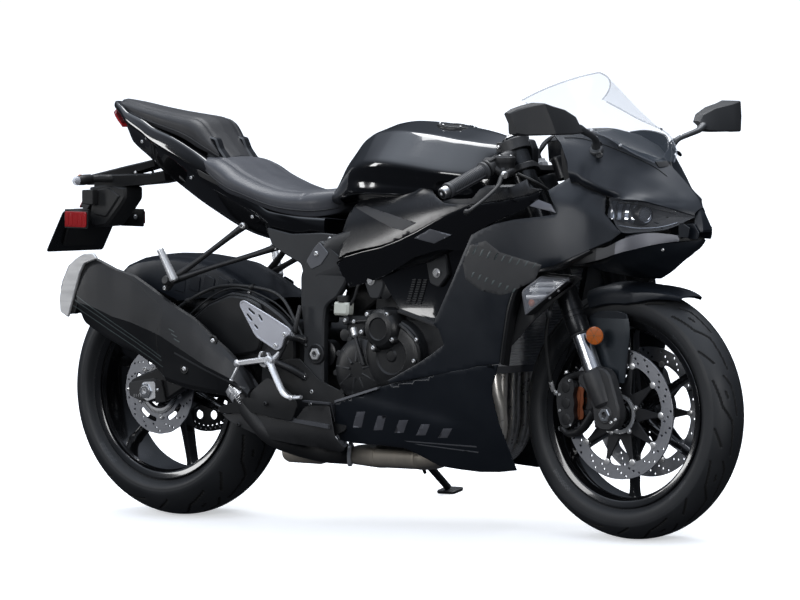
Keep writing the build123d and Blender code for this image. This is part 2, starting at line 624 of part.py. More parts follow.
with BuildPart() as mirrors:
    for s in (-1, 1):
        rod((1395, s * 160, 930), (1423, s * 250, 973), 9)
        rod((1423, s * 250, 973), (1395, s * 345, 990), 8)
        hull_x([(1352, [(s * 325, 962), (s * 440, 958), (s * 402, 1034), (s * 323, 1034)]),
                (1385, [(s * 325, 962), (s * 440, 958), (s * 402, 1034), (s * 323, 1034)]),
                (1418, [(s * 340, 972), (s * 400, 976), (s * 385, 1008), (s * 345, 1006)])])
    add(upper_cowl.part, mode=Mode.SUBTRACT)
    add(windscreen.part, mode=Mode.SUBTRACT)

with BuildPart() as turn_signals:
    for s in (-1, 1):
        hull_x([(1236, [(s * 215, 570), (s * 238, 590), (s * 238, 625), (s * 215, 625)]),
                (1300, [(s * 196, 560), (s * 222, 575), (s * 226, 634), (s * 200, 634)]),
                (1346, [(s * 186, 618), (s * 200, 618), (s * 202, 636), (s * 188, 636)])])
    add(side_fairings.part, mode=Mode.SUBTRACT)
    add(upper_cowl.part, mode=Mode.SUBTRACT)

with BuildPart() as instrument_cluster:
    slab([(1236, 915), (1262, 895), (1318, 960), (1296, 985)], -78, 78)
    # stay from the steering head through the dash to the nose
    rod((1178, 0, 814), (1275, 0, 925), 10)
    slab([(1285, 950), (1285, 930), (1484, 862), (1484, 874)], -12, 12)
    add(frame.part, mode=Mode.SUBTRACT)

# ---------------------------------------------------------------- footrests and stand
HEEL = [(364, 546), (440, 566), (512, 478), (486, 430), (430, 420), (396, 470)]
with BuildPart() as rider_footrests:
    for s in (-1, 1):
        slab(HEEL, *sorted((s * 190, s * 194)))
        rod((500, s * 146, 450), (440, s * 192, 440), 9)
        rod((500, s * 146, 450), (470, s * 192, 500), 8)
        rod((432, s * 188, 418), (400, s * 275, 408), 11)
    add(frame.part, mode=Mode.SUBTRACT)

with BuildPart() as passenger_footrests:
    for s in (-1, 1):
        rod((366, s * 80, 700), (120, s * 190, 592), 8)
        rod((366, s * 80, 700), (280, s * 80, 735), 8)
        rod((120, s * 190, 592), (300, s * 90, 722), 8)
        rod((120, s * 190, 592), (128, s * 228, 664), 10)
    for other in (subframe, tail_cowl, silencer):
        add(other.part, mode=Mode.SUBTRACT)

with BuildPart() as foot_levers:
    pipe([(470, -200, 418), (520, -205, 372), (560, -218, 320)], 20, 7)
    rod((560, -212, 320), (560, -244, 318), 8)
    rod((470, -194, 418), (470, -206, 418), 12)
    pipe([(470, 200, 418), (540, 205, 396), (590, 215, 372)], 30, 7)
    rod((590, 208, 372), (590, 246, 372), 8)
    rod((470, 194, 418), (470, 206, 418), 12)
    add(rider_footrests.part, mode=Mode.SUBTRACT)

DROP_F, DROP_R = CROWN_F * (1 - math.cos(LEAN_R)), CROWN_R * (1 - math.cos(LEAN_R))
PITCH = math.atan2(DROP_R - DROP_F, WHEELBASE)
# height of the ground plane, in the upright frame, under the foot
GROUND = (STAND_FOOT[0] * math.tan(PITCH) - DROP_R) / math.cos(LEAN_R)
with BuildPart() as side_stand:
    rod(STAND_PIVOT, along(STAND_PIVOT, STAND_FOOT, 0.985), 10)
    rod(STAND_PIVOT, along(STAND_PIVOT, STAND_FOOT, 0.12), 13)
    rod(stand_pin(-38), stand_pin(12), 6)
    hull_x([(x, [(y, y * math.tan(LEAN_R) + GROUND + h)
                 for y, h in ((300, 0), (345, 0), (345, 9), (300, 9))]) for x in (572, 628)])

# ---------------------------------------------------------------- lean and write
NODES = dict(
    front_tyre=front_tyre, front_rim=front_rim, front_discs=front_discs,
    rear_tyre=rear_tyre, rear_rim=rear_rim, rear_disc=rear_disc, rear_sprocket=rear_sprocket,
    steering_yokes=steering_yokes, fork_legs=fork_legs, front_axle=front_axle,
    front_calipers=front_calipers, front_fender=front_fender, clip_on_bars=clip_on_bars,
    hand_grips=hand_grips, control_levers=control_levers,
    frame=frame, subframe=subframe, swingarm=swingarm, rear_axle=rear_axle,
    shock_absorber=shock_absorber, drive_chain=drive_chain, rear_caliper=rear_caliper,
    engine_block=engine_block, engine_covers=engine_covers, radiator=radiator,
    exhaust_pipes=exhaust_pipes, silencer=silencer, fuel_tank=fuel_tank,
    rider_seat=rider_seat, pillion_seat=pillion_seat, tail_cowl=tail_cowl,
    tail_light=tail_light, plate_bracket=plate_bracket, number_plate=number_plate,
    rear_hugger=rear_hugger, side_fairings=side_fairings, side_covers=side_covers,
    lower_cowls=lower_cowls, upper_cowl=upper_cowl, headlights=headlights,
    windscreen=windscreen, mirrors=mirrors, turn_signals=turn_signals,
    instrument_cluster=instrument_cluster, rider_footrests=rider_footrests,
    passenger_footrests=passenger_footrests, foot_levers=foot_levers, side_stand=side_stand)

# Leaning rolls the bike about the X axis onto the edge of its tread crowns; the small
# pitch puts both tyres on the ground.
roll = Location((0, 0, 0), (-LEAN, 0, 0))
pitch = Location((0, 0, DROP_R), (0, math.degrees(PITCH), 0))
leaned = {n: p.part.moved(pitch * roll) for n, p in NODES.items()}
boxes = {n: p.bounding_box() for n, p in leaned.items()}
low = [min(getattr(b.min, a) for b in boxes.values()) for a in "XYZ"]
high = [max(getattr(b.max, a) for b in boxes.values()) for a in "XYZ"]
shift = Location((-(low[0] + high[0]) / 2, -(low[1] + high[1]) / 2, -low[2]))
print("box", [round(v, 3) for v in low + high])
for name, part in NODES.items():
    part.part.label = name
    placed = leaned[name].moved(shift)
    placed.label = name
    export_step(placed, f"parts/{name}.step")
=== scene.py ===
import bpy
import json
import math
import numpy as np
from mathutils import Matrix, Vector
from mathutils.geometry import delaunay_2d_cdt


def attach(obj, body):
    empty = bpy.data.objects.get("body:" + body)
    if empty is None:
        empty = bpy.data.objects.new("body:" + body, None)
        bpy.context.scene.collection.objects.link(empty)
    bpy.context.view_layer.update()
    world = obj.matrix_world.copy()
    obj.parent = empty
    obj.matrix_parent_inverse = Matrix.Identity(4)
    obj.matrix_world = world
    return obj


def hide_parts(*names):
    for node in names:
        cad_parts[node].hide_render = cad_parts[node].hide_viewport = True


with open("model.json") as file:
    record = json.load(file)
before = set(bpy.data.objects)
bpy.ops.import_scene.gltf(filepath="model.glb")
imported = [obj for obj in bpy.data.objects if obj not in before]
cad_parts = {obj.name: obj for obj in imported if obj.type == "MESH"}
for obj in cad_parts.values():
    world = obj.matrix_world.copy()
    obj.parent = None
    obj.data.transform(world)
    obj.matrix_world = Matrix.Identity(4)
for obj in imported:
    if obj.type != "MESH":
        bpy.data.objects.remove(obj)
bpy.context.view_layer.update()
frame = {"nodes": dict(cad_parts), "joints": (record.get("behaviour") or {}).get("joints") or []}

# ------------------------------------------------------------------ the bike's own frame
# Everything below is laid out on the upright bike in millimetres: X forward from the rear
# axle, Y to the left, Z up from the ground.  M leans it onto the side stand, in metres.
LEAN = math.radians(11.0)
CROWN_F, CROWN_R, WHEELBASE = 69.5, 99.6, 1400.0
PITCH = math.atan2((CROWN_R - CROWN_F) * (1 - math.cos(LEAN)), WHEELBASE)
ROT = Matrix.Rotation(PITCH, 4, "Y") @ Matrix.Rotation(-LEAN, 4, "X")
JOINT = {j["name"]: j for j in frame["joints"]}
_rear = Vector(JOINT["rear_wheel_spin"]["pos_m"])
M = Matrix.Translation(_rear - ROT @ Vector((0, 0, 0.315))) @ ROT @ Matrix.Scale(0.001, 4)

RF, RR = 300.0, 315.0
AXF, AXR = (1400.0, 300.0), (0.0, 315.0)
RAKE = math.radians(23.5)
TAN = math.tan(RAKE)
UP = Vector((-math.sin(RAKE), 0, math.cos(RAKE)))
FORK_Y = 105.0


def axis_x(z):
    return 1501.0 - z * TAN


def fork_x(z):
    return axis_x(z) + 29.4


def fork_pt(z, s, dy=0.0):
    return Vector((fork_x(z), s * (FORK_Y + dy), z))


# ------------------------------------------------------------------ mesh gathering
class Geo:
    """Vertices and faces of one piece, with a material index for each face."""

    def __init__(self):
        self.v, self.f, self.m = [], [], []

    def add(self, part, m=0):
        v, f = part
        off = len(self.v)
        self.v += [tuple(map(float, p)) for p in v]
        self.f += [tuple(int(i) + off for i in q) for q in f]
        self.m += [m] * len(f)
        return self

    def both(self, part, m=0):
        """Adds the part and its mirror image across the middle plane."""
        v, f = part
        self.add(part, m)
        self.add(([(p[0], -p[1], p[2]) for p in v], [tuple(reversed(q)) for q in f]), m)
        return self


def piece(name, geo, mats, body="chassis", replaces=(), sub=0, bevel=0.0,
          solid=0.0, angle=35.0, crease=None, recalc=True, bevel_seg=2, weld=True):
    """Makes the Blender object of one piece, hangs it on the empty of the body it rides on and hides the CAD parts it
    replaces.
    """
    if isinstance(geo, tuple):
        geo = Geo().add(geo)
    me = bpy.data.meshes.new(name)
    me.from_pydata(geo.v, [], geo.f)
    for m in (mats if isinstance(mats, (list, tuple)) else [mats]):
        me.materials.append(m)
    me.polygons.foreach_set("material_index", geo.m)
    me.transform(M)
    import bmesh
    bm = bmesh.new()
    bm.from_mesh(me)
    if weld:
        bmesh.ops.remove_doubles(bm, verts=bm.verts, dist=2e-6)
    bad = [f for f in bm.faces if f.calc_area() < 1e-13]
    if bad:
        bmesh.ops.delete(bm, geom=bad, context="FACES_ONLY")
    if recalc:
        bmesh.ops.recalc_face_normals(bm, faces=bm.faces)
    if crease is not None:
        lay = bm.edges.layers.float.get("crease_edge") or bm.edges.layers.float.new("crease_edge")
        for e in bm.edges:
            if len(e.link_faces) == 2 and e.calc_face_angle(0) > math.radians(crease):
                e[lay] = 1.0
    bm.to_mesh(me)
    bm.free()
    me.shade_smooth()
    if not sub:
        me.set_sharp_from_angle(angle=math.radians(angle))
    ob = bpy.data.objects.new(name, me)
    bpy.context.scene.collection.objects.link(ob)
    if solid:
        mod = ob.modifiers.new("thickness", "SOLIDIFY")
        mod.thickness, mod.offset = solid * 0.001, -1.0
        mod.use_even_offset = False
    if bevel:
        mod = ob.modifiers.new("edges", "BEVEL")
        mod.width, mod.segments = bevel * 0.001, bevel_seg
        mod.limit_method, mod.angle_limit = "ANGLE", math.radians(30)
        mod.harden_normals = True
    if sub:
        mod = ob.modifiers.new("smooth", "SUBSURF")
        mod.levels = mod.render_levels = sub
    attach(ob, body)
    if replaces:
        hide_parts(*([replaces] if isinstance(replaces, str) else replaces))
    return ob


# ------------------------------------------------------------------ shapes
def grid(rows, ring=False, wrap=False, cap=False):
    """Quads through rows of points; ring closes each row, wrap joins last row to first."""
    n, k = len(rows), len(rows[0])
    v = [tuple(p) for r in rows for p in r]
    f = []
    for i in range(n if wrap else n - 1):
        a, b = i * k, ((i + 1) % n) * k
        for j in range(k if ring else k - 1):
            jj = (j + 1) % k
            f.append((a + j, a + jj, b + jj, b + j))
    if cap and ring and not wrap:
        f.append(tuple(range(k - 1, -1, -1)))
        f.append(tuple((n - 1) * k + j for j in range(k)))
    return v, f


def lathe(profile, centre=AXF, n=96, closed=True, a0=0.0, a1=360.0):
    """Turned about a crosswise axis: profile points (y, radius), angles from +X to +Z."""
    full = abs(a1 - a0 - 360.0) < 1e-6
    cnt = n if full else n + 1
    rows = []
    for i in range(cnt):
        a = math.radians(a0 + (a1 - a0) * i / n)
        rows.append([(centre[0] + r * math.cos(a), y, centre[1] + r * math.sin(a))
                     for y, r in profile])
    v, f = grid(rows, ring=closed, wrap=full)
    if closed and not full:
        k = len(profile)
        f.append(tuple(range(k - 1, -1, -1)))
        f.append(tuple((cnt - 1) * k + j for j in range(k)))
    return v, f


def basis(d):
    d = Vector(d).normalized()
    ref = Vector((0, 0, 1)) if abs(d.z) < 0.9 else Vector((1, 0, 0))
    u = d.cross(ref).normalized()
    return u, d.cross(u).normalized(), d


def cyl(p, q, r, r1=None, n=28, ch=0.0, cap=True):
    """Round bar from p to q, with chamfered ends."""
    r1 = r if r1 is None else r1
    p, q = Vector(p), Vector(q)
    u, w, d = basis(q - p)
    L = (q - p).length
    st = [(0, r), (L, r1)]
    if ch:
        st = [(0, r - ch), (ch * .3, r - ch * .3), (ch, r), (L - ch, r1),
              (L - ch * .3, r1 - ch * .3), (L, r1 - ch)]
    rows = [[p + d * t + (u * math.cos(a) + w * math.sin(a)) * rr
             for a in [2 * math.pi * k / n for k in range(n)]] for t, rr in st]
    return grid(rows, ring=True, cap=cap)


def spun(p, q, profile, n=32):
    """Turned about the line p to q: profile points (distance along, radius)."""
    p, q = Vector(p), Vector(q)
    u, w, d = basis(q - p)
    rows = [[p + d * t + (u * math.cos(a) + w * math.sin(a)) * max(r, 0.01)
             for a in [2 * math.pi * k / n for k in range(n)]] for t, r in profile]
    return grid(rows, ring=True, cap=True)


def spline(points, per=8):
    """Smooth line through points (Catmull-Rom, centripetal ends)."""
    P = [np.array(p, float) for p in points]
    if len(P) == 2:
        return [tuple(P[0] + (P[1] - P[0]) * t) for t in np.linspace(0, 1, per + 1)]
    Q = [2 * P[0] - P[1]] + P + [2 * P[-1] - P[-2]]
    out = []
    for i in range(1, len(Q) - 2):
        a, b, c, d = Q[i - 1:i + 3]
        for t in np.linspace(0, 1, per, endpoint=False):
            out.append(0.5 * ((2 * b) + (c - a) * t + (2 * a - 5 * b + 4 * c - d) * t * t
                              + (3 * b - a - 3 * c + d) * t ** 3))
    out.append(P[-1])
    return [tuple(p) for p in out]


def tube(points, r, n=12, per=8, cap=True, smooth=True, flat=None):
    """Round (or flattened) bar along a smooth line; r may be a list, one per point."""
    rs = r if isinstance(r, (list, tuple)) else [r] * len(points)
    if smooth:
        line = spline(points, per)
        rr = [x[0] for x in spline([(a, 0, 0) for a in rs], per)]
    else:
        line, rr = [tuple(p) for p in points], list(rs)
    L = [Vector(p) for p in line]
    d0 = (L[1] - L[0]).normalized()
    u, w, _ = basis(d0)
    rows = []
    for i, p in enumerate(L):
        d = (L[min(i + 1, len(L) - 1)] - L[max(i - 1, 0)]).normalized()
        u = (u - d * u.dot(d)).normalized()
        w = d.cross(u)
        fl = flat or 1.0
        rows.append([p + (u * math.cos(a) + w * math.sin(a) * fl) * rr[i]
                     for a in [2 * math.pi * k / n for k in range(n)]])
    return grid(rows, ring=True, cap=cap)


def offset2d(poly, d):
    """Polygon moved inward by d (counter-clockwise polygon), mitred with a limit."""
    P = np.array(poly, float)
    n = len(P)
    out = []
    for i in range(n):
        a, b, c = P[i - 1], P[i], P[(i + 1) % n]
        e1, e2 = b - a, c - b
        e1 /= max(np.hypot(*e1), 1e-9)
        e2 /= max(np.hypot(*e2), 1e-9)
        n1, n2 = np.array((-e1[1], e1[0])), np.array((-e2[1], e2[0]))
        m = n1 + n2
        l2 = m.dot(m)
        m = m * (2.0 / l2) if l2 > 0.25 else m / max(math.sqrt(l2), 1e-6)
        out.append(b + m * d)
    return np.array(out)


def area2(poly):
    P = np.array(poly, float)
    x, y = P[:, 0], P[:, 1]
    return float(np.sum(x * np.roll(y, -1) - np.roll(x, -1) * y)) / 2


def ccw(poly):
    return list(poly) if area2(poly) > 0 else list(reversed(poly))


def rounded(poly, r=6.0, k=4):
    """Closed outline with its corners rounded; r is one radius or one for each corner."""
    P = [np.array(p[:2], float) for p in poly]
    n = len(P)
    rs = r if isinstance(r, (list, tuple)) else [r] * n
    out = []
    for i in range(n):
        a, b, c = P[i - 1], P[i], P[(i + 1) % n]
        la, lc = np.hypot(*(a - b)), np.hypot(*(c - b))
        t = min(rs[i], la * .45, lc * .45)
        if t < 0.05:
            out.append(tuple(b))
            continue
        s, e = b + (a - b) / la * t, b + (c - b) / lc * t
        for q in np.linspace(0, 1, k + 1):
            out.append(tuple((1 - q) ** 2 * s + 2 * q * (1 - q) * b + q * q * e))
    return out


def divide(poly, step, closed=True):
    out = []
    n = len(poly)
    for i in range(n if closed else n - 1):
        a, b = np.array(poly[i][:2], float), np.array(poly[(i + 1) % n][:2], float)
        k = max(1, int(math.ceil(np.hypot(*(b - a)) / step)))
        out += [tuple(a + (b - a) * t / k) for t in range(k)]
    if not closed:
        out.append(tuple(poly[-1][:2]))
    return out


def inside(pts, poly):
    P = np.array(poly, float)
    pts = np.asarray(pts, float)
    res = np.zeros(len(pts), bool)
    j = len(P) - 1
    for i in range(len(P)):
        xi, yi, xj, yj = P[i][0], P[i][1], P[j][0], P[j][1]
        c = ((yi > pts[:, 1]) != (yj > pts[:, 1])) & (
            pts[:, 0] < (xj - xi) * (pts[:, 1] - yi) / (yj - yi + 1e-12) + xi)
        res ^= c
        j = i
    return res


def fill(outer, holes=(), step=None):
    """Triangles over an outline with holes; step adds a grid of inner points."""
    pts, edges = [], []
    for ring in [outer] + list(holes):
        o = len(pts)
        pts += [tuple(p) for p in ring]
        edges += [(o + i, o + (i + 1) % len(ring)) for i in range(len(ring))]
    if step:
        P = np.array(outer, float)
        x0, y0, x1, y1 = P[:, 0].min(), P[:, 1].min(), P[:, 0].max(), P[:, 1].max()
        g = []
        row = 0
        y = y0 + step * .5
        while y < y1:
            g += [(x, y) for x in np.arange(x0 + step * (.5 if row % 2 else .25), x1, step)]
            y += step * .87
            row += 1
        if g:
            g = np.array(g)
            keep = inside(g, offset2d(ccw(outer), step * .35)) & inside(g, outer)
            for h in holes:
                keep &= ~inside(g, offset2d(ccw(h), -step * .35))
            pts += [tuple(p) for p in g[keep]]
    res = delaunay_2d_cdt([Vector(p) for p in pts], edges, [], 0, 1e-5)
    V = np.array([tuple(p) for p in res[0]])
    T = np.array([tuple(t) for t in res[2] if len(t) == 3])
    C = V[T].mean(axis=1)
    keep = inside(C, outer)
    for h in holes:
        keep &= ~inside(C, h)
    return V, T[keep]


def slab(outer, y0, y1, holes=(), bev=0.8, place=None, step=None):
    """Plate with eased edges: outline (a, b), thickness y0 to y1 along the third axis."""
    place = place or (lambda a, b, y: (a, y, b))
    outer = ccw(outer)
    holes = [list(reversed(ccw(h))) for h in holes]
    v, f = [], []
    inner = [offset2d(outer, bev)] + [offset2d(h, bev) for h in holes]
    rings = [np.array(outer)] + [np.array(h) for h in holes]
    for ring, inn in zip(rings, inner):
        o, n = len(v), len(ring)
        for pts, y in ((inn, y0), (ring, y0 + bev), (ring, y1 - bev), (inn, y1)):
            v += [place(p[0], p[1], y) for p in pts]
        for k in range(3):
            for i in range(n):
                j = (i + 1) % n
                f.append((o + k * n + i, o + k * n + j, o + (k + 1) * n + j,
                          o + (k + 1) * n + i))
    V, T = fill([tuple(p) for p in inner[0]], [[tuple(p) for p in h] for h in inner[1:]], step)
    for y, flip in ((y0, True), (y1, False)):
        o = len(v)
        v += [place(p[0], p[1], y) for p in V]
        f += [tuple(o + i for i in (reversed(t) if flip else t)) for t in T]
    return v, f


def sheet(outline, fn, t=3.0, step=9.0, edge=1.2, holes=(), back=True):
    """Bodywork panel over an (a, b) outline: fn maps arrays (a, b) to points (n, 3).
    The rim turns back over a small radius and the panel is t thick."""
    outer = ccw(divide(ccw(outline), step * .8))
    holes = [list(reversed(ccw(divide(h, step * .8)))) for h in holes]

    def at(pts, depth):
        P = np.array(pts, float)
        e = 0.8
        q = fn(P[:, 0], P[:, 1])
        du = fn(P[:, 0] + e, P[:, 1]) - fn(P[:, 0] - e, P[:, 1])
        dv = fn(P[:, 0], P[:, 1] + e) - fn(P[:, 0], P[:, 1] - e)
        nr = np.cross(du, dv)
        nr /= np.maximum(np.linalg.norm(nr, axis=1, keepdims=True), 1e-9)
        return q + nr * np.asarray(depth).reshape(-1, 1) * SHEET_SIDE[0]
    v, f = [], []
    rings = [np.array(outer)] + [np.array(h) for h in holes]
    ins = [offset2d(r, edge) for r in rings]
    mid = [offset2d(r, edge * .3) for r in rings]
    for ring, m_, i_ in zip(rings, mid, ins):
        o, n = len(v), len(ring)
        layers = [at(i_, 0.0), at(m_, edge * .3), at(ring, edge), at(ring, t)]
        if back:
            layers.append(at(i_, t))
        for L in layers:
            v += [tuple(p) for p in L]
        for k in range(len(layers) - 1):
            for i in range(n):
                j = (i + 1) % n
                f.append((o + k * n + i, o + k * n + j, o + (k + 1) * n + j,
                          o + (k + 1) * n + i))
    V, T = fill([tuple(p) for p in ins[0]], [[tuple(p) for p in h] for h in ins[1:]], step)
    for depth in ((0.0, t) if back else (0.0,)):
        o = len(v)
        v += [tuple(p) for p in at(V, depth)]
        f += [tuple(o + i for i in (t3 if depth == 0.0 else reversed(t3))) for t3 in T]
    return v, f


SHEET_SIDE = [1.0]      # which way a panel's thickness goes


def soft(d, w=10.0):
    """Smooth version of max(d, 0) with a rounded corner about w wide."""
    return w * np.logaddexp(0.0, np.asarray(d, float) / w)


def tps(points, smooth=0.0):
    """Smooth height field through scattered (a, b, h) points."""
    P = np.array(points, float)
    X, h = P[:, :2] / 100.0, P[:, 2]
    n = len(P)

    def U(r2):
        return np.where(r2 > 1e-12, 0.5 * r2 * np.log(np.maximum(r2, 1e-12)), 0.0)
    K = U(((X[:, None] - X[None]) ** 2).sum(-1)) + np.eye(n) * smooth
    A = np.zeros((n + 3, n + 3))
    A[:n, :n] = K
    A[:n, n] = 1
    A[:n, n + 1:] = X
    A[n:, :n] = A[:n, n:].T
    sol = np.linalg.solve(A, np.concatenate([h, np.zeros(3)]))

    def fn(a, b):
        q = np.stack([np.asarray(a, float), np.asarray(b, float)], -1) / 100.0
        shp = q.shape[:-1]
        q = q.reshape(-1, 2)
        r = U(((q[:, None] - X[None]) ** 2).sum(-1)) @ sol[:n] + sol[n] + q @ sol[n + 1:]
        return r.reshape(shp)
    return fn


def pchip(xs, ys, q):
    """Monotone cubic through (xs, ys), columns of ys together."""
    xs, ys, q = np.asarray(xs, float), np.asarray(ys, float), np.asarray(q, float)
    h = np.diff(xs)
    d = np.diff(ys, axis=0) / h.reshape((-1,) + (1,) * (ys.ndim - 1))
    m = np.zeros_like(ys)
    m[0], m[-1] = d[0], d[-1]
    for i in range(1, len(xs) - 1):
        w1, w2 = 2 * h[i] + h[i - 1], h[i] + 2 * h[i - 1]
        a, b = d[i - 1], d[i]
        ok = (a * b) > 0
        with np.errstate(divide="ignore", invalid="ignore"):
            hm = (w1 + w2) / (w1 / a + w2 / b)
        m[i] = np.where(ok, hm, 0.0)
    i = np.clip(np.searchsorted(xs, q) - 1, 0, len(xs) - 2)
    t = ((q - xs[i]) / h[i]).reshape((-1,) + (1,) * (ys.ndim - 1))
    H = h[i].reshape(t.shape)
    return ((2 * t ** 3 - 3 * t ** 2 + 1) * ys[i] + (t ** 3 - 2 * t ** 2 + t) * H * m[i]
            + (-2 * t ** 3 + 3 * t ** 2) * ys[i + 1] + (t ** 3 - t ** 2) * H * m[i + 1])


def ring2d(ctrl, r=10.0, k=4, m=3, closed=False):
    """Row through control points (a, b) with rounded corners; fixed number of points."""
    P = [np.array(p, float) for p in ctrl]
    n = len(P)
    rs = list(r) if isinstance(r, (list, tuple)) else [r] * n
    segs = []
    for i in range(n):
        if not closed and i in (0, n - 1):
            segs.append([P[i]] )
            continue
        a, b, c = P[i - 1], P[i], P[(i + 1) % n]
        la, lc = np.linalg.norm(a - b), np.linalg.norm(c - b)
        t = min(rs[i], la * .46, lc * .46)
        s, e = b + (a - b) / max(la, 1e-9) * t, b + (c - b) / max(lc, 1e-9) * t
        segs.append([(1 - q) ** 2 * s + 2 * q * (1 - q) * b + q * q * e
                     for q in np.linspace(0, 1, k + 1)])
    out = []
    for i in range(n):
        out += segs[i]
        if i < n - 1 or closed:
            nxt = segs[(i + 1) % n][0]
            for q in range(1, m + 1):
                out.append(segs[i][-1] + (nxt - segs[i][-1]) * q / (m + 1))
    return np.array(out)


def skin_x(stations, r=10.0, k=4, m=3, nu=6, closed=False, sym=False, smooth=True):
    """Smooth body through stations of x and (y, z) rows; sym mirrors the row to a ring.
    Returns rows of points from the first station to the last."""
    xs = [s[0] for s in stations]
    rows = []
    for s in stations:
        rr = s[2] if len(s) > 2 else r
        row = ring2d(s[1], rr, k, m, closed)
        if sym:
            row = np.concatenate([row, (row * np.array([-1, 1]))[::-1]])
        rows.append(row)
    rows = np.array(rows)
    q = []
    for a, b in zip(xs, xs[1:]):
        q += list(np.linspace(a, b, nu, endpoint=False))
    q.append(xs[-1])
    q = np.array(q)
    order = 1 if xs[-1] > xs[0] else -1
    if smooth:
        res = pchip(np.array(xs)[::order], rows[::order], q[::order])[::order]
    else:
        res = np.stack([[np.interp(q[::order], np.array(xs)[::order], rows[::order][:, i, c])[::order]
                         for c in (0, 1)] for i in range(rows.shape[1])], 0).transpose(2, 0, 1)
    return [[(float(x), float(p[0]), float(p[1])) for p in row] for x, row in zip(q, res)]


def bolt(p, d, r=5.0, h=4.0, kind="hex"):
    """Bolt head at p pointing along d: a dome head with a socket, or a hexagon."""
    p, d = Vector(p), Vector(d).normalized()
    if kind == "hex":
        v, f = spun(p, p + d, [(0, r * 1.25), (h * .15, r * 1.25), (h * .2, r), (h * .85, r),
                               (h, r * .88), (h, r * .3)], n=6)
        v2, f2 = spun(p, p + d, [(0, r * 1.35), (h * .16, r * 1.3), (h * .16, r * .5)], n=20)
        o = len(v)
        return v + v2, f + [tuple(i + o for i in q) for q in f2]
    return spun(p, p + d, [(0, r * 1.02), (h * .35, r), (h * .8, r * .82), (h, r * .62),
                           (h * .98, r * .46), (h * .45, r * .42), (h * .42, r * .02)], n=18)


# ------------------------------------------------------------------ materials
def _nodes(name):
    m = bpy.data.materials.new(name)
    m.use_nodes = True
    nt = m.node_tree
    bsdf = nt.nodes["Principled BSDF"]
    return m, nt, bsdf


def _coord(nt, scale=(1, 1, 1), upright=True):
    """Object coordinates in metres, turned upright so that patterns follow the bike."""
    tc = nt.nodes.new("ShaderNodeTexCoord")
    mp = nt.nodes.new("ShaderNodeMapping")
    mp.inputs["Rotation"].default_value = (LEAN if upright else 0.0, 0, 0)
    mp.inputs["Scale"].default_value = scale
    nt.links.new(tc.outputs["Object"], mp.inputs["Vector"])
    return mp.outputs["Vector"]


def _noise(nt, vec, scale, detail=3.0, rough=0.55):
    n = nt.nodes.new("ShaderNodeTexNoise")
    n.inputs["Scale"].default_value = scale
    n.inputs["Detail"].default_value = detail
    n.inputs["Roughness"].default_value = rough
    nt.links.new(vec, n.inputs["Vector"])
    return n.outputs["Fac"]


def _range(nt, fac, lo, hi, a=0.3, b=0.7):
    r = nt.nodes.new("ShaderNodeMapRange")
    r.inputs["From Min"].default_value, r.inputs["From Max"].default_value = a, b
    r.inputs["To Min"].default_value, r.inputs["To Max"].default_value = lo, hi
    nt.links.new(fac, r.inputs["Value"])
    return r.outputs["Result"]


def _mix(nt, fac, a, b):
    x = nt.nodes.new("ShaderNodeMix")
    x.data_type = "RGBA"
    x.inputs["A"].default_value = (*a, 1)
    x.inputs["B"].default_value = (*b, 1)
    nt.links.new(fac, x.inputs["Factor"])
    return x.outputs["Result"]


def paint(name, color, rough, metal=0.0, coat=0.0, coat_rough=0.03, grain=600.0, bump=0.0,
          vary=0.15, rvary=0.25, spec=0.5, edge_lighten=0.0, stretch=(1, 1, 1), bump_scale=None,
          ior=None, sheen=0.0, dust=0.0):
    """Surface with grain in its colour, gloss and relief; edge_lighten lightens the sharp convex edges."""
    m, nt, b = _nodes(name)
    b.inputs["Metallic"].default_value = metal
    b.inputs["Specular IOR Level"].default_value = spec
    b.inputs["Coat Weight"].default_value = coat
    b.inputs["Coat Roughness"].default_value = coat_rough
    if ior:
        b.inputs["IOR"].default_value = ior
    if sheen:
        b.inputs["Sheen Weight"].default_value = sheen
    vec = _coord(nt, stretch)
    fine = _noise(nt, vec, grain, 2.0)
    broad = _noise(nt, vec, 9.0, 4.0)
    fac = nt.nodes.new("ShaderNodeMath")
    fac.operation = "MULTIPLY_ADD"
    nt.links.new(broad, fac.inputs[0])
    fac.inputs[1].default_value = 0.6
    half = nt.nodes.new("ShaderNodeMath")
    half.operation = "MULTIPLY"
    half.inputs[1].default_value = 0.4
    nt.links.new(fine, half.inputs[0])
    nt.links.new(half.outputs[0], fac.inputs[2])
    lo = tuple(c * (1 - vary) for c in color)
    hi = tuple(min(1, c * (1 + vary)) for c in color)
    col = _mix(nt, _range(nt, fac.outputs[0], 0, 1), lo, hi)
    if edge_lighten:
        g = nt.nodes.new("ShaderNodeNewGeometry")
        w = _range(nt, g.outputs["Pointiness"], 0, edge_lighten, 0.52, 0.62)
        x = nt.nodes.new("ShaderNodeMix")
        x.data_type = "RGBA"
        nt.links.new(w, x.inputs["Factor"])
        nt.links.new(col, x.inputs["A"])
        x.inputs["B"].default_value = (*[min(1, c * 3 + .05) for c in color], 1)
        col = x.outputs["Result"]
    nt.links.new(col, b.inputs["Base Color"])
    nt.links.new(_range(nt, fac.outputs[0], rough * (1 - rvary), min(1, rough * (1 + rvary))),
                 b.inputs["Roughness"])
    if bump:
        bp = nt.nodes.new("ShaderNodeBump")
        bp.inputs["Strength"].default_value = bump
        bp.inputs["Distance"].default_value = 0.0004
        src = fine if bump_scale is None else _noise(nt, vec, bump_scale, 4.0)
        nt.links.new(src, bp.inputs["Height"])
        nt.links.new(bp.outputs["Normal"], b.inputs["Normal"])
    return m


